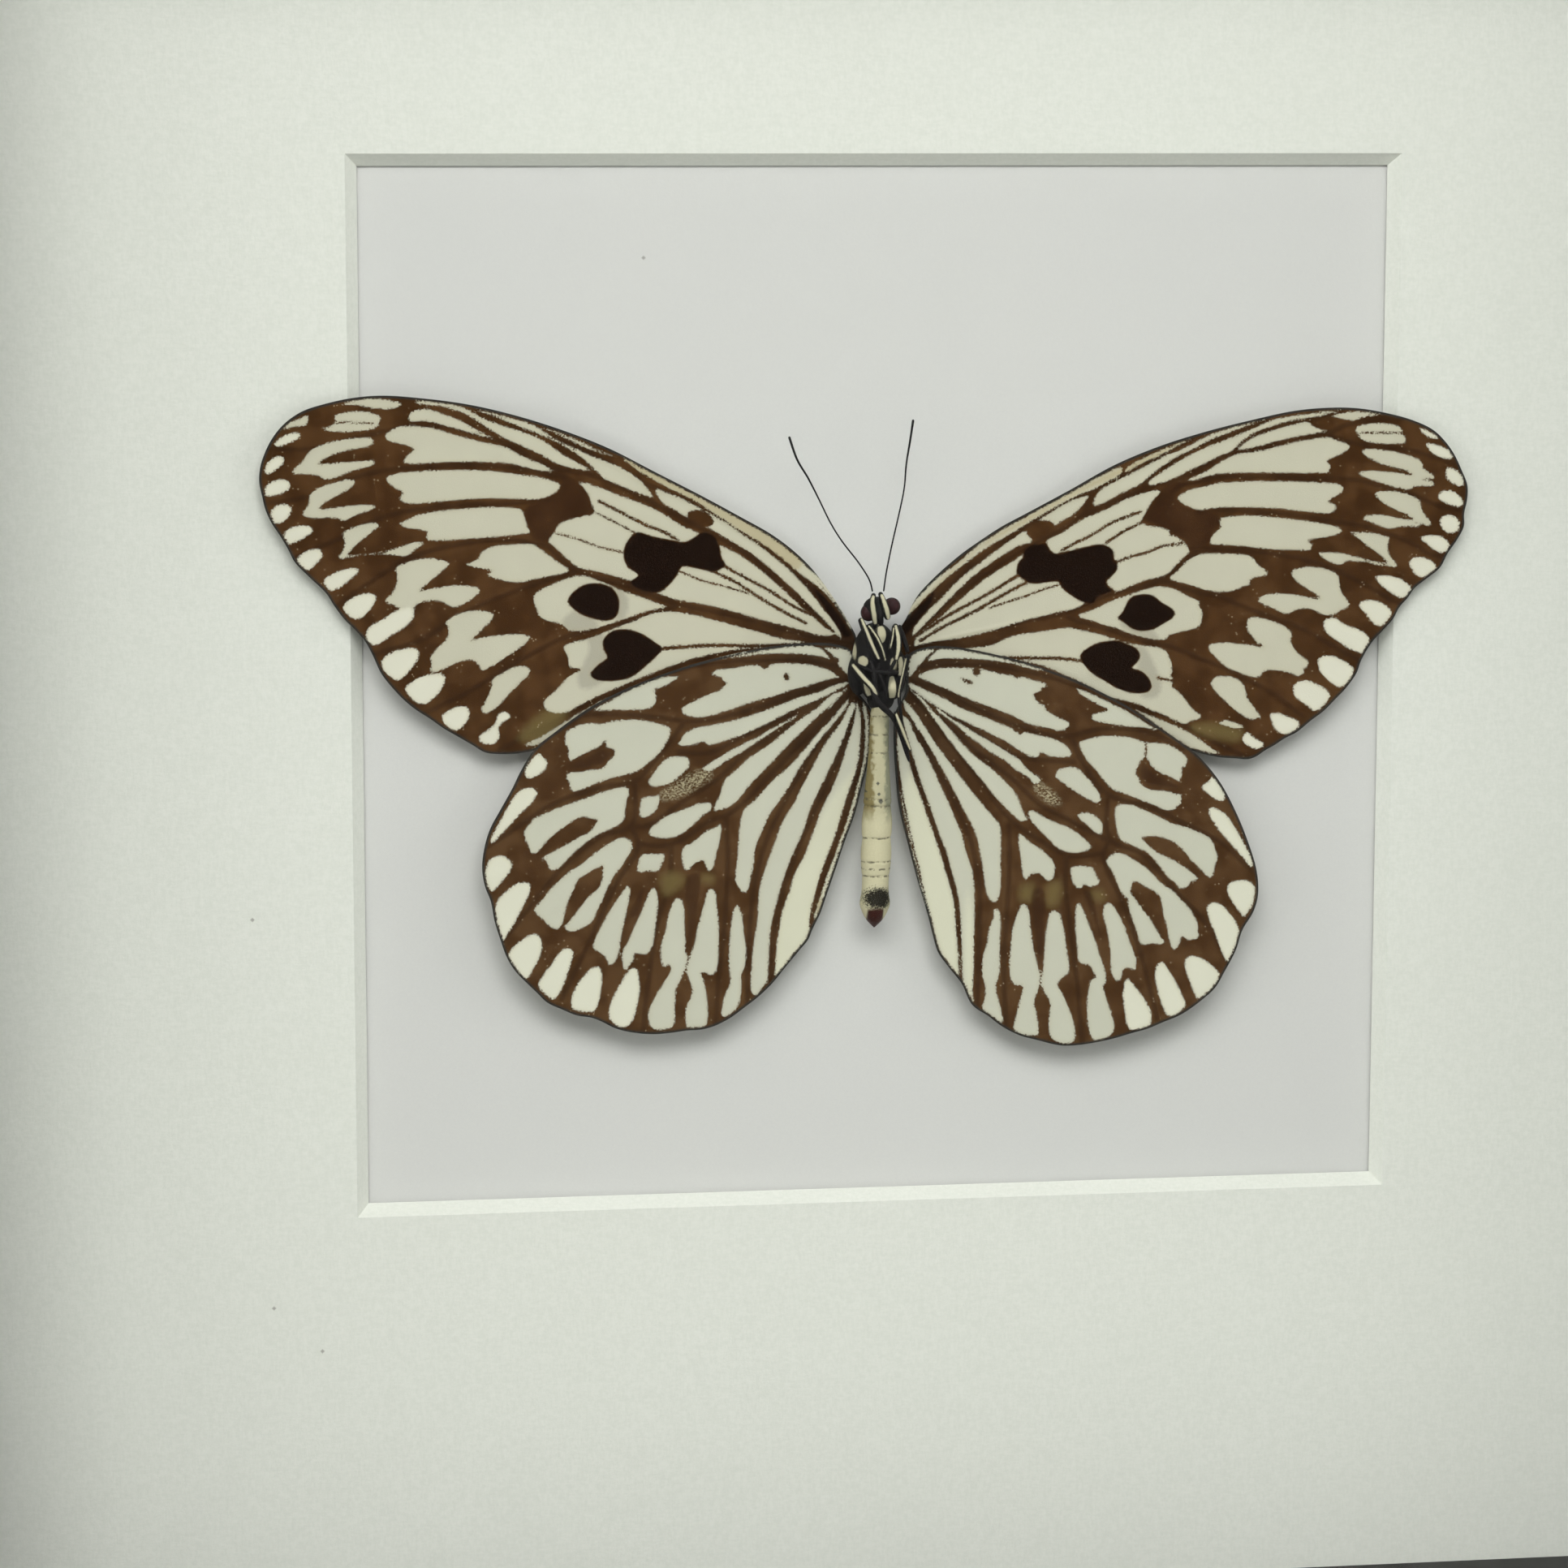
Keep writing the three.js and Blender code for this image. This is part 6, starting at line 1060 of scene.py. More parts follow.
HINDWING_RIGHT_MARKS = {
    "rim": 0.24,
    "spots": [
        [(35.1, -11.4), (35.4, -10.9), (35.9, -10.6), (36.2, -10.2), (36.6, -10.5), (37.1, -11),
         (37.5, -11.8), (37.75, -12.5), (37.5, -12.9), (36.8, -12.8), (36.2, -12.4), (35.7, -12),
         (35.3, -11.7)],
        [(35.9, -13.8), (36.2, -13.55), (37, -13.8), (37.8, -14.3), (38.3, -14.9), (38.8, -15.7),
         (39.4, -16.6), (40, -17.7), (40.5, -18.7), (40.9, -19.6), (41, -20.2), (40.7, -20.3),
         (40.2, -19.7), (39.5, -18.9), (38.8, -18.1), (37.9, -17.1), (37.1, -16.2), (36.5, -15.3),
         (36.05, -14.6)],
        [(38.1, -22.6), (38.3, -22.1), (38.9, -21.8), (39.8, -21.7), (40.5, -21.8), (41.1, -22.3),
         (41.3, -23), (41.2, -23.9), (40.9, -24.7), (40.4, -25.4), (40.1, -25.9), (39.7, -25.5),
         (39.1, -24.8), (38.6, -24), (38.2, -23.3)],
        [(35.8, -24.8), (36, -24.4), (36.6, -24.1), (37.3, -24.3), (38, -24.9), (38.7, -25.7),
         (39.2, -26.4), (39.5, -27.2), (39.5, -28), (39.3, -28.9), (39, -29.8), (38.6, -30.6),
         (38.2, -30.8), (37.9, -30.4), (37.5, -29.5), (37.1, -28.5), (36.7, -27.4), (36.3, -26.5),
         (36, -25.6)],
        [(33.4, -31), (33.5, -30.4), (34, -30.05), (34.7, -30.1), (35.5, -30.4), (36.3, -31), (37, -31.6),
         (37.4, -32.2), (37.1, -33), (36.6, -33.8), (36, -34.3), (35.4, -34.7), (34.9, -34.9),
         (34.5, -34.2), (34.1, -33.2), (33.7, -32.2)],
        [(30.1, -31.8), (30.3, -31), (30.8, -30.6), (31.3, -31), (31.8, -31.8), (32.4, -32.8),
         (33, -33.9), (33.4, -34.8), (33.6, -35.6), (33.2, -36.1), (32.5, -36.6), (31.9, -36.8),
         (31.4, -36.5), (31, -35.7), (30.6, -34.6), (30.3, -33.4), (30.1, -32.5)],
        [(26.6, -33.3), (26.7, -32.6), (27, -32.4), (27.6, -32.9), (28.2, -33.7), (28.9, -34.6),
         (29.4, -35.5), (29.8, -36.4), (29.8, -37.1), (29.5, -37.8), (28.6, -38.1), (27.5, -38.2),
         (27, -37.6), (26.8, -36.5), (26.6, -35.2), (26.5, -34)],
    ],
    "cells": [
        [(2.5, 1.3), (3.6, 2.6), (4.7, 3.8), (5.3, 4.2), (4.4, 4.4), (3.2, 4.2), (2.7, 3.5), (2.4, 2.4)],
        [(5.4, 4.1), (4.7, 3.4), (4.6, 3.1), (6, 3.3), (8, 3.3), (10, 3.2), (12, 2.95), (13.5, 2.7),
         (15, 2.3), (16.5, 1.9), (17.3, 1.8), (16.5, 2.2), (15, 2.6), (13, 3.2), (11, 3.7), (9, 4.1),
         (7, 4.35), (5.8, 4.35)],
        [(3.5, 1.4), (4, 1.8), (4.8, 2.1), (6, 2.3), (7, 2.35), (8.5, 2.3), (10, 2.2), (11, 2), (12, 1.75),
         (13, 1.5), (14, 1.3), (14.3, 1.1), (15, 1.2), (16, 0.9), (17, 0.6), (17.5, 0.4), (17.7, 0.05),
         (17.2, -0.1), (16.8, -0.5), (16.3, -0.7), (16.3, -1), (16.5, -1.3), (17, -1.8), (17.5, -2),
         (17.6, -2.4), (18.3, -2.9), (19, -3.3), (19.9, -3.7), (20.3, -4), (20.2, -4.3), (19.7, -4.7),
         (19, -4.8), (18.3, -4.6), (17, -4.3), (15.5, -3.9), (14.6, -3.4), (14, -3.1), (12.5, -2.5),
         (11, -1.9), (10, -1.55), (9, -1.1), (8, -0.7), (7, -0.2), (6, 0.2), (5, 0.7), (4, 1.1)],
        [(21, -0.2), (22, -0.5), (23.5, -1.2), (25, -1.9), (26.5, -2.7), (28, -3.6), (29.2, -4.4),
         (30, -4.8), (29.9, -4.9), (28.5, -4.6), (27, -4.5), (25.5, -4.3), (24, -4), (22.9, -3.7),
         (22.7, -3.2), (23.3, -2.9), (24.3, -2.7), (24.5, -2.5), (24, -2.3), (23.2, -1.9), (22.5, -1.5),
         (21.7, -1), (21.3, -0.7), (21.1, -0.4)],
        [(2.3, 0.5), (2.7, 0.7), (3.4, 0.45), (4.5, -0.15), (5.5, -0.6), (6.4, -1), (8.1, -2), (10.5, -3),
         (12.9, -4), (14, -4.5), (14.6, -5), (14.9, -5.1), (15.1, -4.85), (16.5, -5.15), (18, -5.5),
         (19.3, -6), (20.1, -6.6), (20.5, -7.2), (20.4, -7.6), (19, -7.7), (17.7, -7.45), (17.1, -7.15),
         (16.9, -7.5), (16.5, -7.65), (15.8, -7.5), (14.9, -7), (13.4, -6), (11.5, -5), (9.5, -4),
         (7.4, -3), (5.6, -2), (4.1, -1), (3, -0.1)],
        [(5.6, -2), (7, -3.1), (8.5, -4), (10.1, -5), (11.8, -6), (13.4, -7), (14.9, -8), (15.7, -9),
         (17.05, -10), (17, -10.4), (16.3, -10.6), (15.9, -10), (14.3, -9), (13.2, -8), (11.5, -7),
         (10.2, -6), (8.8, -5), (8, -4.2), (6.7, -3.2), (5.5, -2.2)],
        [(2.6, 0), (3.9, -0.9), (4.8, -2), (5.8, -3), (6.7, -4), (7.6, -5), (8.45, -6), (9.4, -7),
         (10.6, -8), (11.9, -9), (12.95, -10), (13.9, -11), (14.6, -12), (14.95, -13), (15.4, -14),
         (15.65, -14.45), (15, -14.7), (14.1, -14), (13.1, -13), (12.15, -12), (10.55, -10), (8.85, -8),
         (7.25, -6), (5.8, -4), (5.07, -3), (4.4, -2), (3.6, -1)],
        [(1.9, -1.1), (2.95, -2.1), (4.3, -4.1), (5.6, -6.1), (7.1, -8.1), (8.6, -10.1), (10.2, -12.1),
         (11.8, -14), (12.6, -15), (12.8, -17), (12.75, -19), (12.8, -21), (12.7, -22.5), (12.2, -23.6),
         (11.6, -23.3), (11.1, -22.3), (10.8, -20), (10.4, -18), (9.95, -16), (8.95, -14), (7.9, -12),
         (6.9, -10), (5.75, -8), (5.2, -7), (3.97, -5), (3.3, -4), (2.6, -2.9), (2.1, -2.2)],
        [(1.8, -2.9), (2.4, -3.2), (3.2, -5), (4.4, -7), (5.8, -10), (6.75, -12), (7.6, -14), (8.45, -16),
         (8.95, -18), (9.65, -20), (9.85, -22), (9.9, -25), (9.85, -28), (9.85, -31), (9.7, -33.3),
         (9.8, -34.6), (9.2, -34.2), (8.8, -33), (8.6, -32), (8.5, -30), (8.44, -28), (8.35, -26),
         (8.2, -24), (7.85, -22), (7.3, -20), (6.75, -18), (5.94, -16), (5.27, -14), (4.56, -12),
         (3.8, -10), (3.2, -8), (2.85, -7), (2.3, -5)],
        [(1.3, -4.5), (1.75, -5.4), (2.4, -7.2), (2.6, -8), (3.2, -10), (3.97, -12), (4.64, -14),
         (5.37, -16), (6.04, -18), (6.67, -20), (7.26, -22), (7.7, -24), (7.8, -26), (8, -28),
         (8.14, -30), (8.1, -31.8), (7.2, -31), (6.6, -30.2), (6, -29.2), (5.5, -28), (5.1, -26.3),
         (4.9, -25), (4.3, -22.3), (3.6, -19.2), (2.8, -16), (2.2, -13), (1.7, -10.5), (1.4, -8),
         (1.2, -6)],
        [(18.8, -9.4), (19, -9.1), (20, -8.8), (20.9, -8.8), (21.4, -9.1), (22, -9.7), (22.7, -10.4),
         (23.1, -11), (23.6, -11.6), (23.8, -12.4), (23.5, -12.9), (22.8, -12.6), (21.8, -12.1),
         (20.8, -11.4), (19.8, -10.7), (19, -10.1), (18.7, -9.8)],
        [(21.3, -6.2), (21.8, -5.9), (23, -5.6), (24.5, -5.4), (26, -5.5), (27.3, -5.7), (28.6, -6.2),
         (29.3, -6.25), (30.5, -6.35), (31.5, -6.6), (32.5, -7.2), (33.2, -7.8), (33.5, -8.3), (33.3, -8.8),
         (32.9, -9.2), (32.85, -10), (32.6, -10.7), (32.9, -11.9), (32.8, -12.3), (32.85, -12.9),
         (32.3, -13.5), (31.8, -13.8), (31, -13.8), (30, -13.3), (29, -12.9), (28, -12.5), (27, -12.1),
         (26, -11.7), (25.2, -11.4), (24.6, -10.9), (24, -10.2), (23.4, -9.4), (22.7, -8.6), (22, -7.8),
         (21.6, -7)],
        [(25.4, -13.9), (25.5, -13.3), (26, -13), (26.6, -13), (27.3, -13.1), (28.5, -13.6), (30, -14.3),
         (31.2, -14.9), (32.3, -15.4), (33.5, -15.7), (34.5, -16.1), (35.5, -16.6), (36.2, -17.1),
         (36.6, -17.7), (36.7, -18.3), (37, -18.9), (36.9, -19.5), (36.7, -20.1), (36.6, -20.8),
         (36.3, -21.4), (35.9, -21.3), (35.3, -20.7), (34.6, -20), (33.8, -19.2), (33.2, -18.4),
         (32.5, -17.7), (31.9, -17.3), (30.9, -16.9), (29.8, -16.65), (28.5, -16.8), (28.9, -17.3),
         (29.5, -17.9), (30.2, -18.4), (31.2, -18.9), (32, -19.3), (32.8, -19.8), (33.7, -20.4),
         (34.4, -21), (34.8, -21.5), (34.4, -21.7), (34, -21.8), (33.8, -22.2), (33.2, -22.5),
         (32.8, -22.5), (32.2, -21.9), (31.4, -21.2), (30.7, -20.3), (29.9, -19.3), (29, -18.4),
         (28, -17.9), (26.9, -17.4), (26.1, -17), (25.7, -16.2), (25.5, -15.2)],
        [(24.5, -19.2), (24.8, -18.8), (25.5, -18.4), (26.4, -18.5), (27.3, -19), (28.3, -19.6),
         (29.2, -20.3), (30.1, -21.2), (30.8, -21.9), (31.7, -22.5), (32.3, -23), (33, -23.8),
         (33.7, -24.5), (34.2, -25.2), (34.6, -25.9), (34.9, -26.6), (34.9, -27.3), (35, -28),
         (34.5, -28.2), (33.8, -28.3), (33.1, -27.9), (32.9, -28.5), (32.5, -29.2), (32.1, -29.3),
         (31.8, -28.7), (31.5, -27.6), (31.3, -26.6), (31, -25.6), (30.8, -24.6), (30.6, -23.6),
         (30.2, -23), (29.6, -22.6), (28.8, -22.2), (28.2, -21.8), (27.5, -21.7), (27.4, -22.3),
         (27.3, -22.8), (27.6, -23.3), (28.2, -24.1), (28.8, -24.9), (29.5, -25.8), (30.1, -26.8),
         (30.7, -27.8), (31.1, -28.5), (30.7, -28.7), (29.8, -28.6), (28.8, -28.7), (28.4, -28.5),
         (28.1, -27.6), (27.7, -26.5), (27.3, -25.3), (27, -24.2), (26.9, -23.5), (26.6, -23.3),
         (26.1, -22.6), (25.6, -21.5), (25.2, -20.5), (24.7, -19.8)],
        [(24.2, -24.5), (24.4, -24), (24.9, -23.9), (25.5, -24.5), (26, -25.3), (26.5, -26.3),
         (26.9, -27.3), (27.3, -28.4), (27.7, -29.4), (28, -30.3), (28, -31), (27.8, -31.5),
         (27.3, -31.3), (26.9, -31.2), (26.5, -31.5), (26.4, -32), (26, -32.7), (25.6, -32.5),
         (25.2, -31.7), (25.1, -30.5), (25, -29.2), (24.8, -27.8), (24.5, -26.4), (24.2, -25.3)],
        [(21.1, -24.6), (21.3, -23.9), (21.5, -23.8), (21.9, -24.4), (22.5, -25.8), (23, -27.1),
         (23.5, -28.4), (23.9, -29.6), (24.3, -30.8), (24.6, -31.9), (24.6, -32.8), (24.3, -33.2),
         (24.4, -33.6), (24.8, -34.9), (25.3, -36.3), (25.6, -37.5), (25.5, -38.4), (24.9, -38.9),
         (24.2, -39.3), (23.3, -39.3), (22.9, -38.6), (22.6, -37.4), (22.5, -36), (22.5, -34.6),
         (22.7, -33.2), (22.9, -32.5), (23.4, -32.2), (23.2, -31.6), (22.8, -30.9), (22.2, -30.7),
         (21.6, -30.5), (21.4, -29.8), (21.3, -28.5), (21.1, -27), (21.1, -25.7)],
        [(18.1, -25.2), (18.4, -24.7), (18.9, -24.6), (19.3, -24.9), (19.6, -25.7), (19.9, -27),
         (20.1, -28.3), (20.3, -29.6), (20.5, -30.9), (20.4, -31.7), (19.9, -32), (19.5, -32.4),
         (19.2, -32.9), (19.5, -33.4), (20, -34.4), (20.5, -35.6), (21, -36.9), (21.2, -38), (21.2, -39),
         (20.7, -39.5), (19.5, -39.4), (18.7, -39), (18.3, -38.3), (18.25, -37), (18.3, -35.9),
         (18.4, -35.1), (18.2, -34.5), (17.7, -33.7), (17.45, -33), (17.35, -32.3), (17.5, -31.5),
         (17.6, -30), (17.7, -28.5), (17.8, -27), (18, -26)],
        [(14.4, -25.5), (14.7, -24.7), (15, -24), (15.3, -23.75), (15.7, -24.1), (16, -24.8), (16.1, -26),
         (16.3, -27.5), (16.5, -28.8), (16.8, -30), (17.1, -31.1), (17.25, -31.9), (17.2, -32.7),
         (17, -33.5), (16.7, -34.3), (16.6, -34.9), (16.8, -35.7), (17, -36.7), (17.15, -37.5),
         (17, -38.5), (16.3, -38.5), (15.4, -38.5), (14.7, -38.2), (14.3, -37.6), (14.5, -36.5),
         (14.8, -35.3), (15.1, -34.1), (15.3, -33.2), (15.1, -32.8), (14.6, -32.9), (14.2, -32.6),
         (13.9, -32), (13.8, -31), (13.8, -29.8), (13.9, -28.5), (14, -27.2), (14.2, -26.2)],
        [(12, -24.9), (12.05, -24.4), (12.4, -24.3), (12.7, -24.9), (12.8, -26), (12.75, -28),
         (12.75, -30), (12.7, -31.5), (12.5, -32.2), (12.3, -32.9), (12.5, -34), (12.8, -35), (13, -36),
         (13.05, -37), (12.5, -36.9), (11.8, -36.4), (11.1, -35.8), (10.8, -35.2), (11.1, -34),
         (11.1, -32.8), (10.8, -31.8), (10.75, -30.3), (10.9, -29.2), (11.3, -28), (11.4, -26.9),
         (11.7, -25.9), (12, -25.2)],
        [(14.65, -16.4), (14.8, -16), (15.3, -16.4), (16, -17), (16.8, -17.5), (17.5, -18), (18.1, -18.6),
         (18.6, -19.2), (18.8, -19.8), (18.7, -20.6), (18.5, -21.2), (18, -21.3), (17.6, -21.1),
         (17.3, -20.7), (16.9, -20.5), (16.3, -20.5), (15.9, -20.9), (15.6, -21.2), (15.3, -20.9),
         (15.1, -20.2), (15, -19), (14.8, -17.8)],
        [(20.5, -20), (20.8, -19.75), (21.8, -19.75), (22.8, -19.9), (23.2, -20.3), (23.5, -21),
         (23.8, -21.5), (23.6, -21.9), (23.1, -22), (22.6, -22.1), (22.1, -21.8), (21.8, -22.1),
         (21.5, -22.3), (21.1, -22), (20.8, -21.6), (20.6, -20.8)],
        [(21.2, -14.1), (21.6, -13.9), (22.3, -13.8), (23, -14.1), (23.6, -14.5), (24, -15.1),
         (24.1, -15.8), (23.9, -16.3), (23.4, -16.2), (22.8, -15.7), (22.1, -15.1), (21.5, -14.6)],
        [(15.8, -13.5), (16.5, -13.6), (17.3, -14.1), (18.2, -14.6), (19.2, -15), (20.2, -15.4),
         (21.2, -16), (22, -16.7), (22.6, -17.3), (22.8, -17.8), (22.3, -18.1), (21.3, -18.3),
         (20.2, -18.2), (19.2, -17.8), (18.4, -17.1), (17.6, -16.3), (16.9, -15.6), (16.2, -14.8),
         (15.8, -14.1)],
    ],
    "streaks": [(0.08, [[(28.75, -6.1), (28.8, -7), (28.7, -8.1)]]), (0.06, [[(17.3, -31.6),
                                                                              (17.35, -33)]])],
    "slivers": [(0.07, [[(1.6, -11), (2.1, -13.6), (2.9, -17.2), (3.6, -20.2), (4.4, -23.6)],
                        [(14, 2.75), (15.6, 2.3), (17.2, 1.9)]])],
    "dark": [],
    "blots": [
        [(16.6, -0.9), (17.6, -0.4), (19, -0.7), (20.5, -1), (22.2, -1.6), (23.6, -2.3), (22, -2.5),
              (20.3, -2.6), (18.6, -2.5), (17.3, -1.8)],
        [(8.3, 1.1), (8.6, 1.05), (9.1, 0.9), (9.5, 0.6), (9.4, 0.45), (9, 0.55), (8.6, 0.8)],
        [(9.6, 2.3), (9.6, 1.6), (10, 1.4), (10.3, 1.7), (10.2, 2.3)],
        [(27.7, -9.7), (27.9, -9), (28.2, -8.4), (28.6, -8), (29, -8.1), (29.3, -8.7), (29.8, -9.2),
         (30.6, -9.7), (31.5, -10.1), (32.5, -10.6), (33, -10.8), (33, -11.9), (32.4, -12), (31, -11.6),
         (29.5, -11.5), (28.8, -11.2), (28.2, -10.7), (28.1, -10.2)],
    ],
    "dusky": [
        [(28.1, -9.6), (28.6, -8.5), (29.6, -9.6), (31.6, -10.6), (32.6, -11.3), (30.5, -11.2),
         (28.8, -10.8)],
        [(21.9, -22.3), (22.8, -22.6), (23.6, -25), (24.4, -29), (23, -25.6)],
        [(16.3, -22.2), (17.6, -22.2), (17.8, -25), (17.3, -31), (16.4, -26)],
    ],
    "halo": [],
    "warm": [],
    "yellow": [
        [(2.4, -9), (1.8, -12), (3.6, -20), (5, -26.2), (6.2, -29.6), (8.2, -32.2), (8.2, -27),
         (7.4, -21.8), (5.4, -15), (3.6, -10)],
        [(9, -22), (9.9, -25), (9.9, -34.6), (8.8, -33)],
    ],
    "olive": [
        [(15, -21.8), (16.4, -21.6), (16.2, -23.6), (14.9, -23.4)],
        [(17.9, -21.8), (19.4, -21.4), (19.2, -24), (18, -24.2)],
        [(22.8, -22.6), (24, -22.5), (24.4, -23.5), (23.4, -23.8)],
    ],
    "worn": [
        [(16.2, -10.6), (17, -10.4), (18, -11), (19.1, -12), (19.4, -12.9), (18.6, -13.1), (17.6, -12.6),
         (16.8, -11.8)],
    ],
    "veins": [
        [(3, 1), (6, 0), (10, -2.1), (15, -4.3), (19.5, -5.4), (24, -4.6), (29, -5.1), (33, -7)],
        [(3.9, 2.5), (6, 2.8), (10, 2.7), (14.5, 2), (20, 0.5), (25, -1.8), (30, -4.9)],
        [(20.6, -5.8), (21.6, -8), (24.4, -11.8), (29, -13.3), (33, -15.2), (37.5, -17.6), (41, -20.8)],
        [(24.6, -12), (24.8, -16.8), (28.6, -18.6), (32, -22.4), (36.2, -27), (38.2, -31)],
        [(24.8, -17), (24.2, -18.8), (26.6, -24.4), (28.6, -30), (30.4, -37)],
        [(24.2, -18.4), (20.5, -18.6), (17.4, -17), (14, -14.6), (10, -9.6), (6, -4.4), (2.4, 0.2)],
        [(20, -18.8), (20, -22.5), (20.6, -27), (21.4, -33), (22, -39.4)],
        [(13.6, -15), (13.7, -20), (13.3, -28), (13.2, -33), (13.6, -38)],
        [(2.6, -2.7), (5, -7.5), (7.4, -12), (9.6, -17.4), (10.4, -22), (10.4, -29), (10.2, -35.2)],
        [(1.2, -3.5), (2.8, -7.6), (5, -14), (7.1, -20.2), (8.1, -25.5), (8.3, -32.4)],
        [(1, -3.4), (1.3, -8), (2.15, -13), (3.6, -19.2), (4.9, -25.2)],
        [(3, 0.2), (6, -2), (10, -4.9), (14, -7.3), (17.5, -8), (20.8, -8.2)],
        [(6, -3), (10, -6.9), (14, -10), (17, -12.8), (21, -15), (24.6, -17)],
    ],
}


def wing_material(name, cell, spot, brown, light_brown):
    """Pale cells with ragged edges of single scales on a brown ground, darker along its veins and near
    the body."""
    m = Nodes(name)
    at = m.millimetres()
    ragged = m.times(m.minus(m.noise(at, 5.5, 3.0, 0.65), 0.5), 0.7)
    fleck = m.noise(at, 9.0, 2.0, 0.6)
    cloud = m.noise(at, 0.35, 3.0)

    def step(key, low, high):
        return m.between(m.plus(m.attribute(key), ragged), low, high)

    vein = m.between(m.attribute("vein"), 0.1, 0.45, 1.0, 0.0)
    brown = m.mix(m.between(cloud, 0.35, 0.65), brown, light_brown)
    brown = m.mix(m.times(fleck, 0.5), brown, rgb(58, 36, 18))
    brown = m.mix(m.times(vein, 0.45), brown, rgb(42, 26, 15))
    from_body = m.root_of_squares(*m.across_and_up(at))
    brown = m.mix(m.between(from_body, 6.0, 20.0, 0.5, 0.0), brown, rgb(40, 28, 17))
    brown = m.mix(m.times(step("olive", -0.6, 0.8), 0.75), brown, rgb(118, 102, 62))
    scratch = m.between(m.noise(m.stretched(at, (1.0, 1.0, 1.4)), 3.6, 5.0, 0.7), 0.42, 0.6)
    brown = m.mix(m.times(step("worn", -0.3, 0.5), scratch), brown, rgb(176, 166, 134))
    speck = m.between(m.cells(at, 1.9), 0.09, 0.16, 1.0, 0.0)
    rare = m.between(m.noise(at, 0.9, 1.0), 0.52, 0.62)
    brown = m.mix(m.times(m.times(speck, rare), 0.75), brown, rgb(196, 176, 140))
    slate = m.between(m.attribute("rim"), 0.16, 0.34, 1.0, 0.0)
    ground = m.mix(m.times(slate, 0.85), brown, rgb(50, 52, 50))
    pale = m.mix(cloud, cell, tuple(0.93 * v for v in cell[:3]) + (1.0,))
    pale = m.mix(step("spot", -0.1, 0.25), pale, spot)
    pale = m.mix(m.times(step("yellow", -0.4, 0.8), 0.7), pale, rgb(222, 220, 194))
    pale = m.mix(m.times(step("warm", -0.2, 0.5), 0.85), pale, rgb(188, 176, 142))
    pale = m.mix(m.times(step("halo", -0.5, 0.25), 0.5), pale, rgb(150, 143, 128))
    edge = m.between(m.attribute("pale"), 0.0, 0.55, 0.16, 0.0)
    pale = m.mix(edge, pale, rgb(168, 156, 112))
    color = m.mix(step("pale", -0.05, 0.13), ground, pale)
    color = m.mix(m.times(step("dusky", -0.1, 0.3), 0.5), color, rgb(48, 28, 16))
    color = m.mix(step("dark", -0.08, 0.16), color, m.mix(fleck, rgb(16, 8, 3), rgb(34, 18, 8)))
    scales = m.bump(m.noise(at, 7.0, 3.0, 0.7), 0.05, 0.5)
    return m.finish(color, m.between(fleck, 0.3, 0.7, 0.62, 0.78), scales, Specular_IOR_Level=0.04)


# ---- the body ----

THORAX_CREAM = [  # x, y, half width, half height and lean of each cream patch, in millimetres and degrees
    (-0.5, 6.0, 0.5, 0.95, 0), (0.95, 7.4, 0.4, 0.6, 20), (-2.45, 3.1, 0.5, 0.6, 0),
    (0.9, 2.8, 0.45, 0.7, 10), (1.5, 2.2, 0.25, 1.5, -8), (-3.2, 4.3, 0.2, 1.1, 0),
    (-2.95, 6.0, 0.25, 0.4, 20), (-3.2, 0.6, 0.25, 0.6, 0),
]
ABDOMEN_ROOT = (-0.4, -1.7, 2.4)
ABDOMEN_TIP = (-0.95, -26.35, 2.4)
ABDOMEN_OUTLINE = [  # distance from the root and radius
    (0, 0.75), (1, 1), (2.4, 1.05), (5, 1.1), (8, 1.3), (10.7, 1.52), (11.1, 1.47), (12.8, 1.65),
    (14.4, 1.6), (14.8, 1.55), (16, 1.65), (17.2, 1.65), (18.3, 1.55), (19.3, 1.45), (20.8, 1.5),
    (22, 1.65), (22.8, 1.4), (23.8, 0.85), (24.65, 0.02),
]
ABDOMEN_RINGS = [-3, -5, -7, -12, -12.8, -16.3, -18.9, -20.5]
FLAT_RING = -19.7  # a ring that is only a line of colour
ABDOMEN_DOTS = [  # x, y and size
    (-0.8, -10.25, 0.2), (-0.7, -11.4, 0.2), (-2.0, -11.2, 0.14), (-0.5, -12.2, 0.3),
]


def closed_tube(rings):
    """Points and faces of a tube through rings of points, whose two ends close on their middles."""
    count, sides = rings.shape[:2]
    points = np.vstack([rings.reshape(-1, 3), rings[0].mean(0)[None], rings[-1].mean(0)[None]])
    around = np.arange(sides)
    after = (around + 1) % sides
    last = (count - 1) * sides
    first_cap = np.stack([np.full(sides, count * sides), after, around], axis=-1)
    last_cap = np.stack([np.full(sides, count * sides + 1), last + around, last + after], axis=-1)
    faces = grid_faces(count, sides, wrap_columns=True).tolist() + first_cap.tolist() + last_cap.tolist()
    return points, faces


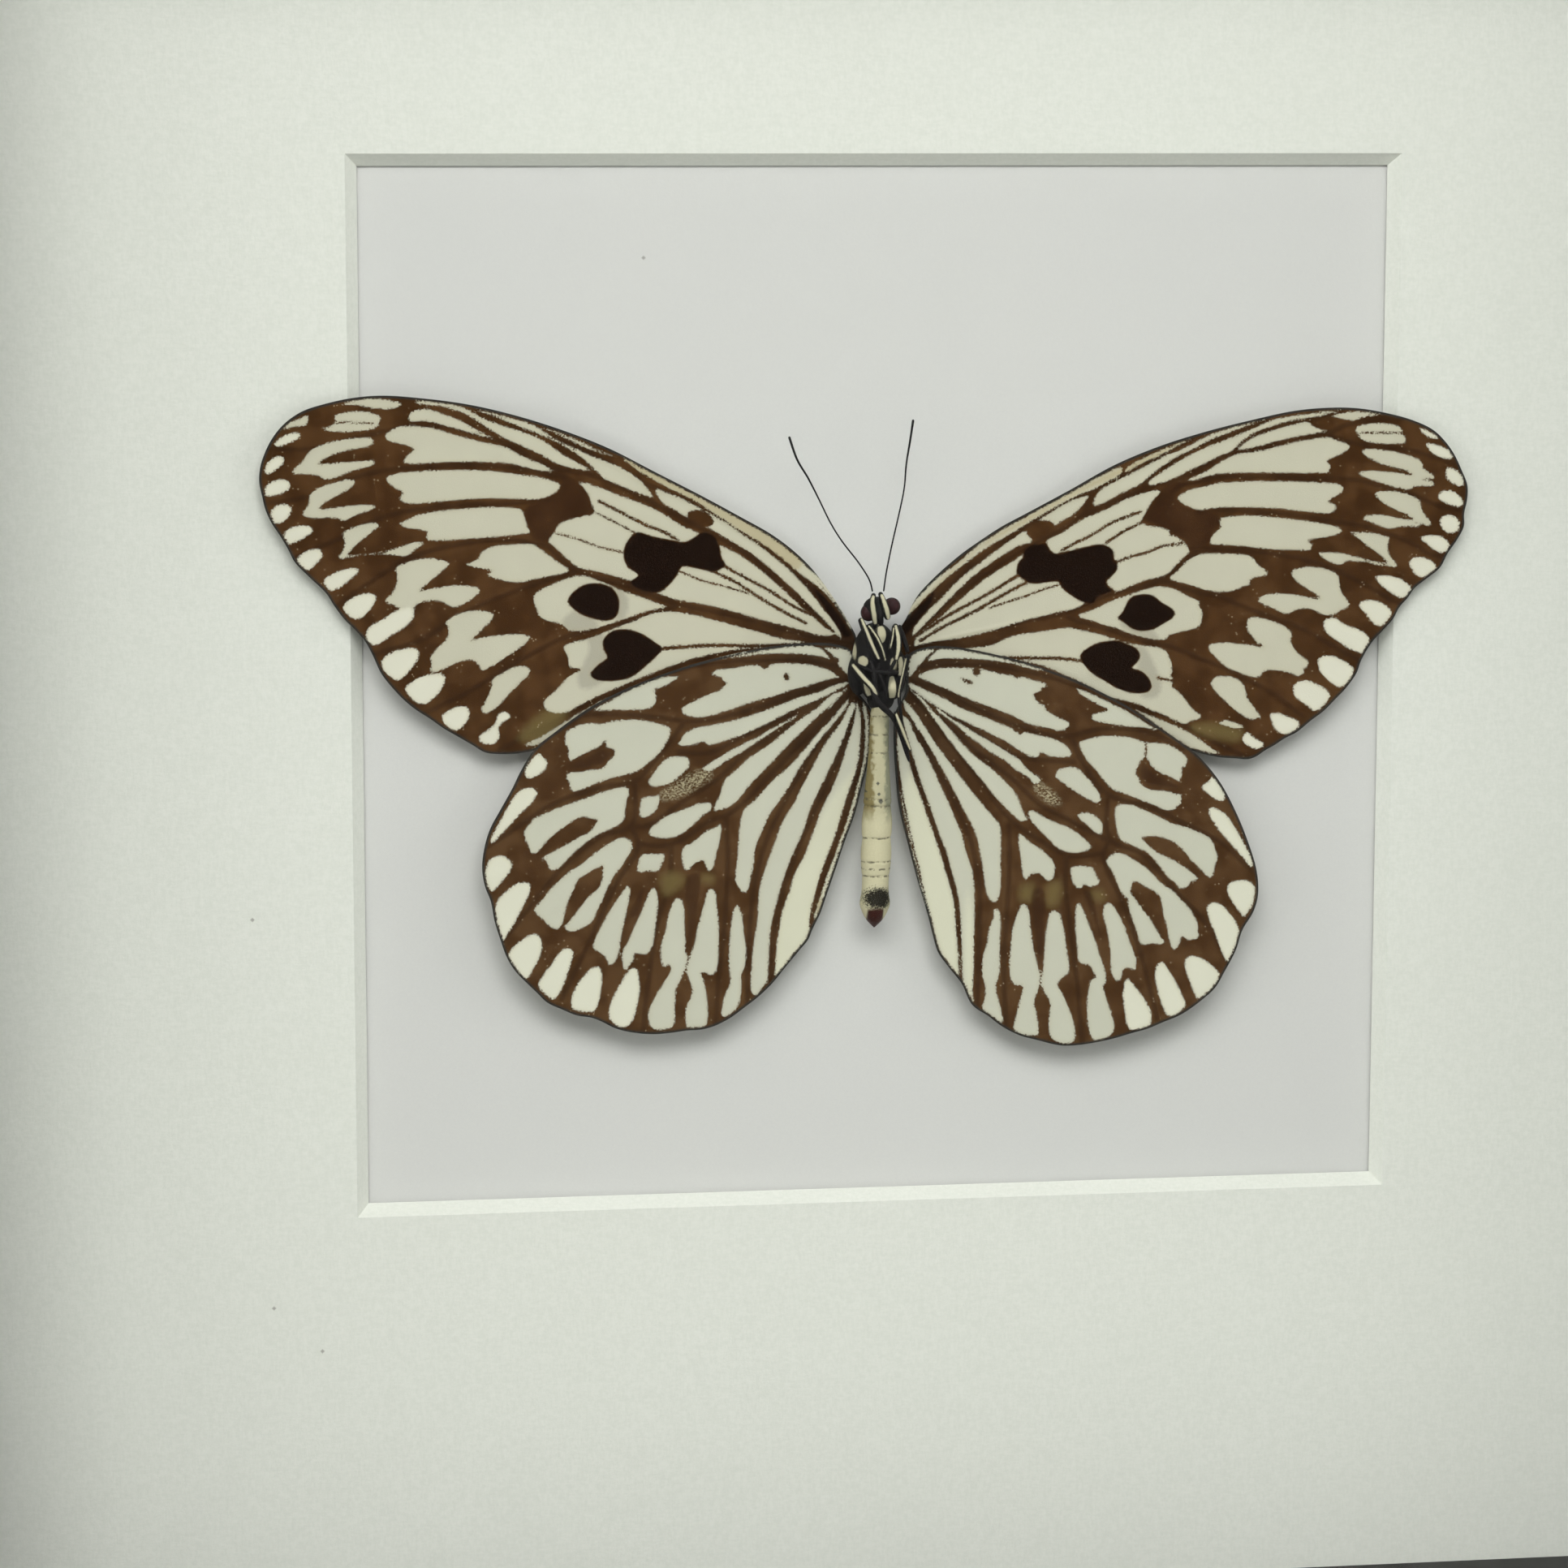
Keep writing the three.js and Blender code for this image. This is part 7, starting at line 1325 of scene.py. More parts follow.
def limb(path, bands=(), flat=1.0, sides=20, glossy=0.0):
    """A tapering limb. path holds x, y, height and radius; the radius is rounded off at both ends as
    r sqrt(1 - (1 - s/r)^2), with s the distance from the end. bands are cream stripes: from and to
    across the limb, -1 at its left edge and 1 at its right, then from and to along it, 0 to 1."""
    curve = smooth_line(path, False, 10)
    length = np.linalg.norm(np.diff(curve[:, :3], axis=0), axis=1).sum()
    count = max(14, int(length / 0.16))
    steps = even_steps(curve, count)
    run = np.linspace(0, length, count)
    ease = (1 - np.cos(np.linspace(0, math.pi, count))) / 2
    run = 0.5 * run + 0.5 * length * ease
    steps = np.stack([np.interp(run, np.linspace(0, length, count), steps[:, k]) for k in range(4)], axis=1)
    middle, radius = steps[:, :3], steps[:, 3]
    from_end = np.minimum(run, length - run)
    radius = radius * np.sqrt(np.maximum(1 - (1 - np.minimum(from_end / radius, 1)) ** 2, 1e-4))
    ahead = np.gradient(middle, axis=0)
    ahead /= np.linalg.norm(ahead, axis=1)[:, None]
    side = np.cross(ahead, (0.0, 0.0, 1.0))
    side /= np.linalg.norm(side, axis=1)[:, None]
    rise = np.cross(side, ahead)
    angle = np.linspace(0, 2 * math.pi, sides, endpoint=False)
    out = side[:, None] * np.cos(angle)[None, :, None] + flat * rise[:, None] * np.sin(angle)[None, :, None]
    rings = middle[:, None] + radius[:, None, None] * out
    world = place(rings[..., 0], rings[..., 1], rings[..., 2])
    points, faces = closed_tube(world)
    faces = [face[::-1] for face in faces]  # side, rise and ahead turn the other way than an egg's axes
    rightward = np.sign(side[:, 0] + 1e-6)[:, None] * np.cos(angle)[None]
    along = np.broadcast_to((run / length)[:, None], rightward.shape)
    cream = np.full(rightward.shape, -1.0)
    for left, right, start, end in bands:
        across_depth = np.minimum(rightward - left, right - rightward) * radius[:, None]
        along_depth = np.minimum(along - start, end - along) * length
        facing = np.where(np.sin(angle)[None] > -0.2, 1.0, -1.0)
        cream = np.maximum(cream, np.minimum(np.minimum(across_depth, along_depth), facing))
    cream = np.concatenate([cream.ravel(), [-1.0, -1.0]])
    return points, faces, {"cream": cream, "glossy": np.full(len(points), glossy)}


def egg(centre, half_sizes, lean=0.0, cream=-1.0, glossy=0.0, sides=48):
    """An ellipsoid: the unit sphere by latitude and longitude, times its half sizes, then leaned."""
    latitude = np.linspace(0, math.pi, sides // 2 + 1)[1:-1]
    longitude = np.linspace(0, 2 * math.pi, sides, endpoint=False)
    a = half_sizes[0] * np.sin(latitude)[:, None] * np.cos(longitude)[None]
    h = half_sizes[2] * np.sin(latitude)[:, None] * np.sin(longitude)[None]
    b = half_sizes[1] * np.cos(latitude)[:, None] * np.ones(sides)[None]
    turn = math.radians(lean)
    x = centre[0] + a * math.cos(turn) - b * math.sin(turn)
    y = centre[1] + a * math.sin(turn) + b * math.cos(turn)
    points, faces = closed_tube(place(x, y, centre[2] + h))
    return points, faces, {"cream": np.full(len(points), cream), "glossy": np.full(len(points), glossy)}


def join(name, parts, material, node=None):
    """One object of several closed parts, each with its values of cream and glossy."""
    points, faces, start = [], [], 0
    for part_points, part_faces, _ in parts:
        points.append(part_points)
        faces += [[index + start for index in face] for face in part_faces]
        start += len(part_points)
    obj = make_object(name, np.vstack(points), faces, node)
    obj.data.materials.append(material)
    for key in parts[0][2]:
        set_attribute(obj, key, np.concatenate([values[key] for _, _, values in parts]))
    return obj


def body_material():
    """Black scales with a blue tinge and cream stripes with ragged edges, and glossy dark purple eyes."""
    m = Nodes("butterfly body")
    at = m.millimetres()
    fine = m.noise(at, 6.0, 4.0, 0.7)
    ragged = m.times(m.minus(m.noise(at, 8.0, 3.0, 0.6), 0.5), 0.25)
    black = m.mix(fine, rgb(10, 10, 11), rgb(40, 37, 36))
    cream = m.mix(m.noise(at, 2.5, 3.0), rgb(214, 206, 172), rgb(190, 186, 158))
    color = m.mix(m.between(m.plus(m.attribute("cream"), ragged), -0.04, 0.09), black, cream)
    eye = m.attribute("glossy")
    color = m.mix(eye, color, m.mix(fine, rgb(40, 22, 26), rgb(66, 38, 38)))
    rough = m.minus(0.62, m.times(eye, 0.42))
    hairs = m.bump(m.noise(m.stretched(at, (1.0, 1.0, 0.35)), 9.0, 3.0, 0.7), 0.12, 0.6)
    return m.finish(color, rough, hairs, Specular_IOR_Level=0.2)


def make_head(material):
    """An egg with two glossy eyes, and three limbs for the palps with a cream stripe on the outer two."""
    parts = [
        egg((-0.85, 8.8, 2.6), (1.45, 1.2, 1.3)),
        egg((-1.75, 8.3, 2.7), (0.85, 0.95, 0.85), glossy=1.0),
        egg((0.8, 8.95, 2.7), (0.95, 0.95, 0.9), glossy=1.0),
        limb([(-1.1, 7.1, 3.6, 0.3), (-1.35, 8.4, 4.0, 0.44), (-1.5, 9.5, 4.0, 0.38),
              (-1.3, 10.5, 3.5, 0.22)],
             [(-0.75, 0.4, 0.04, 0.88)]),
        limb([(0.25, 7.6, 3.6, 0.3), (-0.05, 8.6, 4.0, 0.44), (-0.35, 9.6, 4.0, 0.38),
              (-0.65, 10.6, 3.5, 0.22)],
             [(-0.4, 0.75, 0.04, 0.88)]),
        limb([(-0.5, 7.0, 3.5, 0.3), (-0.7, 8.4, 3.9, 0.36), (-0.95, 9.7, 3.7, 0.22)]),
    ]
    return join("head", parts, material, node="head")


def make_thorax(material):
    """An egg with cream patches, each an ellipse in front view, and the leaf-shaped hips in front of it."""
    points, faces, values = egg((-0.75, 2.9, 1.5), (2.6, 4.2, 2.8), sides=120)
    x = points[:, 0] / MM
    y = (points[:, 2] - WINDOW_Z) / MM
    front = points[:, 1] < MAT_FRONT - 1.5 * MM
    cream = np.full(len(points), -1.0)
    for middle_x, middle_y, half_x, half_y, lean in THORAX_CREAM:
        turn = math.radians(lean)
        a = (x - middle_x) * math.cos(turn) + (y - middle_y) * math.sin(turn)
        b = (y - middle_y) * math.cos(turn) - (x - middle_x) * math.sin(turn)
        depth = (1 - np.hypot(a / half_x, b / half_y)) * min(half_x, half_y)
        cream = np.maximum(cream, depth)
    values["cream"] = np.where(front, cream, -1.0)
    parts = [
        (points, faces, values),
        egg((1.1, 1.6, 1.6), (1.5, 3.0, 1.6)),
        egg((-2.6, 1.5, 1.5), (1.2, 2.3, 1.4)),
        egg((-0.3, -1.1, 2.2), (1.5, 1.5, 1.3)),
        limb([(1.6, 3.7, 2.9, 0.3), (1.75, 2.5, 3.2, 0.42), (1.65, 1.2, 3.1, 0.28)],
             [(-0.7, 0.7, 0.1, 0.9)], flat=0.6),
        limb([(0.55, 1.6, 3.2, 0.5), (0.65, 0.2, 3.9, 0.72), (0.75, -1.1, 3.2, 0.45)],
             [(-0.62, 0.62, 0.12, 0.88)], flat=0.6),
        limb([(-2.0, 1.7, 3.2, 0.5), (-2.0, 0.3, 3.6, 0.7), (-1.5, -1.0, 3.2, 0.4)],
             [(-0.6, 0.4, 0.15, 0.8)], flat=0.6),
        limb([(-0.6, 7.0, 3.3, 0.35), (-0.5, 6.0, 3.9, 0.6), (-0.55, 5.0, 3.8, 0.3)],
             [(-0.8, 0.8, 0.1, 0.95)], flat=0.5),
    ]
    return join("thorax", parts, material, node="thorax")


LIMBS = {
    "leg_left_front": [
        ([(-2.8, 7.8, 3.5, 0.3), (-2.3, 6.3, 4.4, 0.4), (-1.7, 4.8, 4.7, 0.38), (-0.9, 3.2, 4.7, 0.28)],
         [(-0.15, 0.75, 0.04, 0.95)]),
    ],
    "leg_left_middle": [
        ([(-2.1, 7.2, 4.3, 0.2), (-1.2, 5.9, 4.9, 0.24), (-0.6, 4.6, 5.0, 0.2), (-0.2, 3.2, 4.9, 0.16)],
         [(-0.5, 0.4, 0.05, 0.97)]),
        ([(-0.9, 3.1, 4.9, 0.2), (-1.3, 1.2, 4.8, 0.22), (-1.0, -0.6, 4.4, 0.16)], []),
    ],
    "leg_right_middle": [
        ([(0.95, 7.2, 3.9, 0.28), (1.2, 5.6, 4.5, 0.42), (1.15, 4.3, 4.6, 0.4), (0.9, 3.2, 4.7, 0.28)],
         [(-0.5, 0.45, 0.06, 0.96)]),
        ([(0.75, 7.0, 4.1, 0.14), (0.5, 5.8, 4.8, 0.17), (0.15, 4.4, 5.0, 0.15)], [(-0.3, 0.9, 0.1, 0.9)]),
        ([(0.9, 3.3, 4.6, 0.2), (0.1, 1.6, 4.8, 0.2), (-0.1, -0.4, 4.5, 0.15)], []),
    ],
    "leg_left_hind": [
        ([(-3.7, 2.9, 3.2, 0.28), (-2.7, 1.6, 4.6, 0.4), (-1.6, 0.3, 5.3, 0.38), (-1.2, -0.6, 5.2, 0.28)],
         [(-0.55, 0.5, 0.08, 0.94)]),
        ([(-1.8, 0.4, 5.2, 0.24), (-1.3, -0.9, 5.5, 0.3), (-0.5, -1.8, 5.2, 0.32), (0.4, -2.6, 4.9, 0.3),
          (1.1, -3.7, 4.4, 0.28), (1.8, -5.3, 3.9, 0.26), (2.4, -7.0, 3.5, 0.24),
          (2.7, -8.0, 3.3, 0.12)], []),
        ([(0.75, -2.2, 5.3, 0.15), (1.2, -3.3, 5.2, 0.25), (1.9, -4.9, 4.7, 0.25),
          (2.72, -6.75, 4.1, 0.15)],
         [(-0.6, 0.75, 0.04, 0.95)]),
    ],
    "leg_right_hind": [
        ([(1.5, 7.0, 3.3, 0.2), (2.0, 5.5, 3.7, 0.26), (2.4, 4.0, 3.8, 0.22)], []),
        ([(2.4, 3.9, 3.8, 0.22), (2.1, 2.5, 3.9, 0.24), (1.6, 0.5, 4.2, 0.22), (1.4, -0.9, 4.2, 0.2),
          (1.6, -2.4, 4.0, 0.18), (2.0, -4.4, 3.3, 0.15), (2.6, -6.4, 2.6, 0.1)],
         [(-0.9, -0.2, 0.05, 0.45)]),
    ],
    "foot_left": [
        ([(-1.8, 3.3, 4.4, 0.24), (-1.5, 2.0, 4.9, 0.28), (-1.4, 0.4, 5.0, 0.26),
          (-1.2, -1.2, 4.9, 0.2)], []),
        ([(-3.5, 3.0, 3.9, 0.13), (-2.2, 2.4, 4.9, 0.16), (-1.5, 2.0, 5.0, 0.13)], []),
    ],
    "foot_right": [
        ([(-1.2, 2.6, 4.9, 0.13), (-0.8, 1.6, 5.1, 0.17), (-0.4, 0.6, 5.1, 0.17),
          (-0.1, -1.0, 4.8, 0.13)], []),
        ([(-1.9, 2.2, 4.7, 0.2), (-0.6, 2.1, 5.2, 0.25), (0.3, 2.0, 5.0, 0.24),
          (1.3, 1.85, 4.2, 0.18)], []),
    ],
}
CAD_LEGS = ("leg_left_middle", "leg_right_middle", "leg_left_hind", "leg_right_hind")
ANTENNA_LEFT = [
    (-1.4, 10.6, 3.3), (-1.7, 11.8, 3.2), (-2.8, 13.6, 3.2), (-4.8, 16.2, 3.2), (-6, 18.1, 3.3),
    (-7.3, 20.7, 3.4), (-8.5, 23, 3.5), (-9.7, 25, 3.6), (-10.6, 27.5, 3.7),
]
ANTENNA_RIGHT = [
    (-0.2, 10.6, 3.3), (0.1, 12.6, 3.2), (0.7, 15.6, 3.2), (1.5, 19.2, 3.3), (2, 21.8, 3.4),
    (2.2, 24.4, 3.5), (2.6, 27, 3.6), (2.9, 29.2, 3.7),
]
ANTENNA_RADIUS = (0.085, 0.135)  # of the shaft and of the tip
ANTENNA_SHAFT = 0.6  # share of the antenna's points before it thickens


def make_limbs(material):
    """The legs and feet, each a few tapering limbs in one piece."""
    for name, pieces in LIMBS.items():
        parts = [limb(path, bands) for path, bands in pieces]
        join(name, parts, material, node=name if name in CAD_LEGS else None)


def make_antenna(name, path, material):
    """A thin rod whose radius grows evenly from the end of its shaft to its tip."""
    last = len(path) - 1
    thin, thick = ANTENNA_RADIUS
    tapered = []
    for i, p in enumerate(path):
        grown = max(0, (i / last - ANTENNA_SHAFT) / (1 - ANTENNA_SHAFT))
        tapered.append((*p, thin + (thick - thin) * grown))
    join(name, [limb(tapered, sides=12)], material, node=name)


def make_abdomen(material):
    """A lathe round a straight axis: the radius is a smooth curve of the distance from the root, pulled
    in a little at each ring."""
    outline = smooth_line(ABDOMEN_OUTLINE, False, 30)
    root = np.array(ABDOMEN_ROOT)
    axis = np.array(ABDOMEN_TIP) - root
    length = np.linalg.norm(axis)
    down = np.concatenate([[0, 0.02], np.linspace(0.08, length - 0.04, 300)])
    radius = np.interp(down, outline[:, 0], outline[:, 1])
    radius[0] = 0.02
    middle = root + axis * (down / length)[:, None]
    for ring in ABDOMEN_RINGS:
        radius -= 0.05 * np.exp(-((middle[:, 1] - ring) / 0.12) ** 2)
    radius = np.maximum(radius, 0.01)
    angle = np.linspace(0, 2 * math.pi, 96, endpoint=False)
    x = middle[:, :1] + radius[:, None] * np.cos(angle)[None]
    y = np.broadcast_to(middle[:, 1:2], x.shape)
    h = middle[:, 2:] + radius[:, None] * np.sin(angle)[None]
    points, faces = closed_tube(place(x, y, h))
    obj = make_object("abdomen", points, faces, "abdomen")
    obj.data.materials.append(material)
    return obj


def abdomen_material():
    """Cream with faint rings, small dots, a black fuzzy blot and a red-brown tip; its root half is darker
    all across, with painted olive shade and a painted yellow reflection of the wings on the left flank and
    painted grey shade on the right flank.
    """
    m = Nodes("butterfly abdomen")
    at = m.millimetres()
    x, y = m.across_and_up(at)
    wobble = m.times(m.minus(m.noise(at, 1.6, 3.0), 0.5), 1.2)
    fine = m.noise(at, 6.0, 4.0, 0.7)
    color = m.mix(fine, rgb(218, 212, 178), rgb(196, 189, 154))
    # Masks for painted shade on the flanks of the root half: olive shade with reflected wing yellow on the
    # left, grey shade on the right.
    left = m.between(m.plus(x, wobble), -1.5, -1.1, 1.0, 0.0)
    right = m.between(m.plus(x, wobble), -0.2, 0.3)
    upper = m.between(m.plus(y, wobble), -15.0, -12.6)
    # The root half darker all across, then painted olive shade with reflected wing yellow on its left flank
    # and painted grey shade on its right flank.
    color = m.mix(m.times(upper, 0.45), color, rgb(168, 162, 130))
    color = m.mix(m.times(m.times(left, upper), 0.9), color, rgb(126, 112, 66))
    color = m.mix(m.times(m.times(right, upper), 0.85), color, rgb(132, 134, 112))
    for ring in ABDOMEN_RINGS + [FLAT_RING]:
        away = m.maths("ABSOLUTE", m.minus(m.plus(y, m.times(wobble, 0.25)), ring))
        line = m.between(away, 0.05, 0.16, 1.0, 0.0)
        broken = m.between(m.noise(at, 2.2, 2.0), 0.4, 0.6)
        color = m.mix(m.times(m.times(line, broken), 0.75), color, rgb(84, 78, 62))
    for dot_x, dot_y, size in ABDOMEN_DOTS:
        away = m.plus(m.steps_away(x, y, dot_x, dot_y), m.times(wobble, 0.2))
        color = m.mix(m.between(away, size * 0.7, size * 1.4, 0.8, 0.0), color, rgb(52, 56, 58))
    blot_x = m.times(m.plus(x, 0.7), 0.72)
    blot_y = m.plus(y, 22.9)
    away = m.plus(m.root_of_squares(blot_x, blot_y), m.times(m.minus(fine, 0.5), 2.4))
    black = m.mix(fine, rgb(20, 18, 12), rgb(44, 40, 28))
    color = m.mix(m.between(away, 0.85, 1.45, 1.0, 0.0), color, black)
    tip = m.between(m.plus(y, m.times(wobble, 0.5)), -24.3, -23.8, 1.0, 0.0)
    inner = m.between(m.maths("ABSOLUTE", m.plus(x, 1.0)), 0.75, 1.0, 1.0, 0.0)
    red = m.times(tip, inner)
    color = m.mix(red, color, m.mix(fine, rgb(44, 18, 14), rgb(74, 36, 28)))
    rough = m.minus(0.7, m.times(red, 0.4))
    return m.finish(color, rough, m.bump(fine, 0.08, 0.5), Specular_IOR_Level=0.2)


# ---- frame, mat, glass and back ----

OPENING = 200.0  # side of the frame's opening between its rails' inner edges
RAIL_WIDTH = 18.0
RAIL_DEPTH = 40.0
RABBET = 5.0
LIP = 4.0
EDGE_ROUND = 2.0
LIP_CHAMFER = 1.2
GAP = 0.3
SOFT_EDGE = 0.25  # radius at the rails' remaining corners
RAIL_ANGLE = 35  # degrees: a rail's edges that are sharper than this stay crisp


def rounded(corners, radius, steps=5):
    """A closed outline with an arc of the given radius at each corner, or its own where it names one."""
    out = []
    count = len(corners)
    for i, corner in enumerate(corners):
        p = np.array(corner[:2], float)
        r = corner[2] if len(corner) > 2 else radius
        before = np.array(corners[i - 1][:2], float) - p
        after = np.array(corners[(i + 1) % count][:2], float) - p
        before /= np.linalg.norm(before)
        after /= np.linalg.norm(after)
        half = math.acos(np.clip(before @ after, -1, 1)) / 2
        middle = p + (before + after) / np.linalg.norm(before + after) * r / math.sin(half)
        start = p + before * r / math.tan(half) - middle
        end = p + after * r / math.tan(half) - middle
        sweep = math.atan2(start[0] * end[1] - start[1] * end[0], start @ end)
        turn = np.linspace(0, sweep, steps if r < 1 else 13)
        out.append(middle + np.stack([
            start[0] * np.cos(turn) - start[1] * np.sin(turn),
            start[0] * np.sin(turn) + start[1] * np.cos(turn),
        ], axis=1))
    return np.vstack(out)


def make_rail(name, quarter_turns, material):
    """A rail's section carried along it: at u outward from the opening its half length is
    half the opening plus u, less half the gap, which gives the mitres. Turned into its side."""
    section = rounded([
        (0, LIP), (0, LIP_CHAMFER), (LIP_CHAMFER, 0), (RAIL_WIDTH, 0, EDGE_ROUND), (RAIL_WIDTH, RAIL_DEPTH),
        (RABBET, RAIL_DEPTH), (RABBET, LIP),
    ], SOFT_EDGE)
    u, depth = section[:, 0], section[:, 1]
    half = OPENING / 2 + u - GAP / 2
    along = np.linspace(-1, 1, 25)[:, None] * half[None]
    out = np.broadcast_to(OPENING / 2 + u, along.shape)
    turn = quarter_turns * math.pi / 2
    x = along * math.cos(turn) + out * math.sin(turn)
    y = out * math.cos(turn) - along * math.sin(turn)
    world_y = np.broadcast_to(-RAIL_DEPTH / 2 + depth, x.shape) * MM
    world = np.stack([x * MM, world_y, WINDOW_Z + y * MM], axis=-1)
    count, sides = x.shape
    faces = grid_faces(count, sides, wrap_columns=True, flip=True).tolist()
    faces.append(list(range(sides)))
    faces.append(list(range((count - 1) * sides, count * sides))[::-1])
    obj = make_object(name, world, faces, name)
    obj.data.set_sharp_from_angle(angle=math.radians(RAIL_ANGLE))
    obj.data.materials.append(material)
    return obj


def black_wood(name, stretch):
    """Satin black paint with the wood's grain faintly under it, a little worn along the grain."""
    m = Nodes(name)
    at = m.millimetres()
    grain = m.noise(m.stretched(at, stretch), 1.6, 5.0, 0.65)
    patch = m.noise(at, 0.05, 3.0)
    color = m.mix(grain, rgb(30, 30, 28), rgb(44, 44, 41))
    color = m.mix(m.times(patch, 0.35), color, rgb(56, 55, 51))
    rough = m.between(grain, 0.3, 0.7, 0.36, 0.5)
    return m.finish(color, rough, m.bump(grain, 0.08, 0.35))


MAT_DUST = [(-68.4, -24.3), (-66.7, -67.3), (-61.5, -72.3)]  # x and y of dark specks on the mat
BACKING_DUST = [(-25.6, 46.4)]


def dusted(m, at, color, places):
    """The colour with a small soft grey-brown speck at each place."""
    x, y = m.across_and_up(at)
    for speck_x, speck_y in places:
        away = m.steps_away(x, y, speck_x, speck_y)
        color = m.mix(m.between(away, 0.12, 0.34, 0.6, 0.0), color, rgb(122, 116, 104))
    return color


def mat_board():
    """Off-white board with a fine laid and fibrous face."""
    m = Nodes("mat board")
    at = m.millimetres()
    fibre = m.noise(m.stretched(at, (1.0, 1.0, 0.4)), 3.2, 4.0, 0.65)
    cross = m.noise(m.stretched(at, (0.4, 1.0, 1.0)), 3.2, 4.0, 0.65)
    tone = m.plus(m.times(fibre, 0.5), m.times(cross, 0.5))
    color = m.mix(m.between(tone, 0.35, 0.65), rgb(228, 230, 220), rgb(236, 237, 228))
    color = m.mix(m.times(m.noise(at, 0.03, 2.0), 0.25), color, rgb(227, 228, 217))
    color = dusted(m, at, color, MAT_DUST)
    rough = m.between(tone, 0.4, 0.6, 0.82, 0.95)
    return m.finish(color, rough, m.bump(tone, 0.06, 0.55), Specular_IOR_Level=0.2)


def backing_paper():
    """Pale grey paper with a fine fibre and slow changes of tone."""
    m = Nodes("backing paper")
    at = m.millimetres()
    fibre = m.noise(at, 4.0, 4.0, 0.7)
    color = m.mix(fibre, rgb(214, 213, 209), rgb(223, 222, 217))
    color = m.mix(m.times(m.noise(at, 0.04, 2.0), 0.3), color, rgb(208, 210, 208))
    color = dusted(m, at, color, BACKING_DUST)
    rough = m.between(fibre, 0.3, 0.7, 0.85, 0.95)
    return m.finish(color, rough, m.bump(fibre, 0.03, 0.4), Specular_IOR_Level=0.2)


def black_board():
    """Matt black paper face with a fine fibre."""
    m = Nodes("black board")
    at = m.millimetres()
    fibre = m.noise(at, 5.0, 4.0, 0.7)
    color = m.mix(fibre, rgb(42, 42, 40), rgb(58, 58, 55))
    return m.finish(color, m.between(fibre, 0.3, 0.7, 0.75, 0.92), m.bump(fibre, 0.04, 0.5))


def hardboard():
    """Pressed brown fibre: short strands of three tones."""
    m = Nodes("hardboard")
    at = m.millimetres()
    strands = m.noise(m.stretched(at, (1.0, 1.0, 0.25)), 1.4, 6.0, 0.75)
    crossed = m.noise(m.stretched(at, (0.25, 1.0, 1.0)), 1.4, 6.0, 0.75)
    color = m.mix(m.between(strands, 0.35, 0.65), rgb(96, 68, 44), rgb(128, 94, 62))
    color = m.mix(m.between(crossed, 0.55, 0.72, 0.0, 0.6), color, rgb(74, 50, 32))
    return m.finish(color, m.between(crossed, 0.3, 0.7, 0.6, 0.8), m.bump(strands, 0.1, 0.4))


def zinc_plate():
    """Dull zinc: cells of slightly different tone under fine drawn streaks."""
    m = Nodes("zinc plate")
    at = m.millimetres()
    spangle = m.cells(at, 0.9, output="Color")
    streak = m.noise(m.stretched(at, (1.0, 1.0, 6.0)), 2.5, 3.0)
    color = m.mix(m.times(spangle, 0.35), rgb(176, 177, 172), rgb(142, 144, 142))
    return m.finish(color, m.between(streak, 0.3, 0.7, 0.28, 0.46), m.bump(streak, 0.01, 0.2), Metallic=1.0)


def clear_glass():
    """Clear non-reflecting glass, which lets the light through to what lies behind it."""
    m = Nodes("clear glass")
    clear = m.node("ShaderNodeBsdfTransparent")
    path = m.node("ShaderNodeLightPath")
    mixed = m.node("ShaderNodeMixShader")
    m.finish(Roughness=0.0, Transmission_Weight=1.0, IOR=1.1, Specular_IOR_Level=0.5)
    m.shader.inputs["Base Color"].default_value = (0.985, 1.0, 0.99, 1.0)
    m.feed(mixed.inputs[0], path.outputs["Is Shadow Ray"])
    m.feed(mixed.inputs[1], m.shader.outputs[0])
    m.feed(mixed.inputs[2], clear.outputs[0])
    m.feed(m.output.inputs["Surface"], mixed.outputs[0])
    return m.material


def dress(material, *nodes):
    """Gives CAD nodes a material."""
    for node in nodes:
        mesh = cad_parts[node].data
        mesh.materials.clear()
        mesh.materials.append(material)


# ---- studio ----


FLOOR_HALF = 2.5  # metres


def make_floor():
    """A pale square that the frame stands on."""
    m = Nodes("pale floor")
    color = m.mix(m.noise(m.millimetres(), 0.004, 2.0), rgb(226, 226, 222), rgb(232, 232, 228))
    m.finish(color, Roughness=0.9)
    corners = FLOOR_HALF * np.array([(-1, -1, 0), (1, -1, 0), (1, 1, 0), (-1, 1, 0)], float)
    mesh = bpy.data.meshes.new("floor")
    mesh.from_pydata(corners.tolist(), [], [(0, 1, 2, 3)])
    mesh.materials.append(m.material)
    floor = bpy.data.objects.new("floor", mesh)
    bpy.context.scene.collection.objects.link(floor)


def make_light(name, direction, distance, width, height, power):
    """A soft panel that faces the middle of the frame. direction is its azimuth to the right of straight
    ahead of the glass and its elevation, in degrees; sizes are in metres and power in watts."""
    azimuth, elevation = (math.radians(v) for v in direction)
    towards = np.array([
        math.sin(azimuth) * math.cos(elevation),
        -math.cos(azimuth) * math.cos(elevation),
        math.sin(elevation),
    ])
    data = bpy.data.lights.new(name, "AREA")
    data.shape = "RECTANGLE"
    data.size = width
    data.size_y = height
    data.energy = power
    light = bpy.data.objects.new(name, data)
    light.location = np.array([0, 0, WINDOW_Z]) + distance * towards
    light.rotation_euler = Vector(towards.tolist()).to_track_quat("Z", "Y").to_euler()
    bpy.context.scene.collection.objects.link(light)


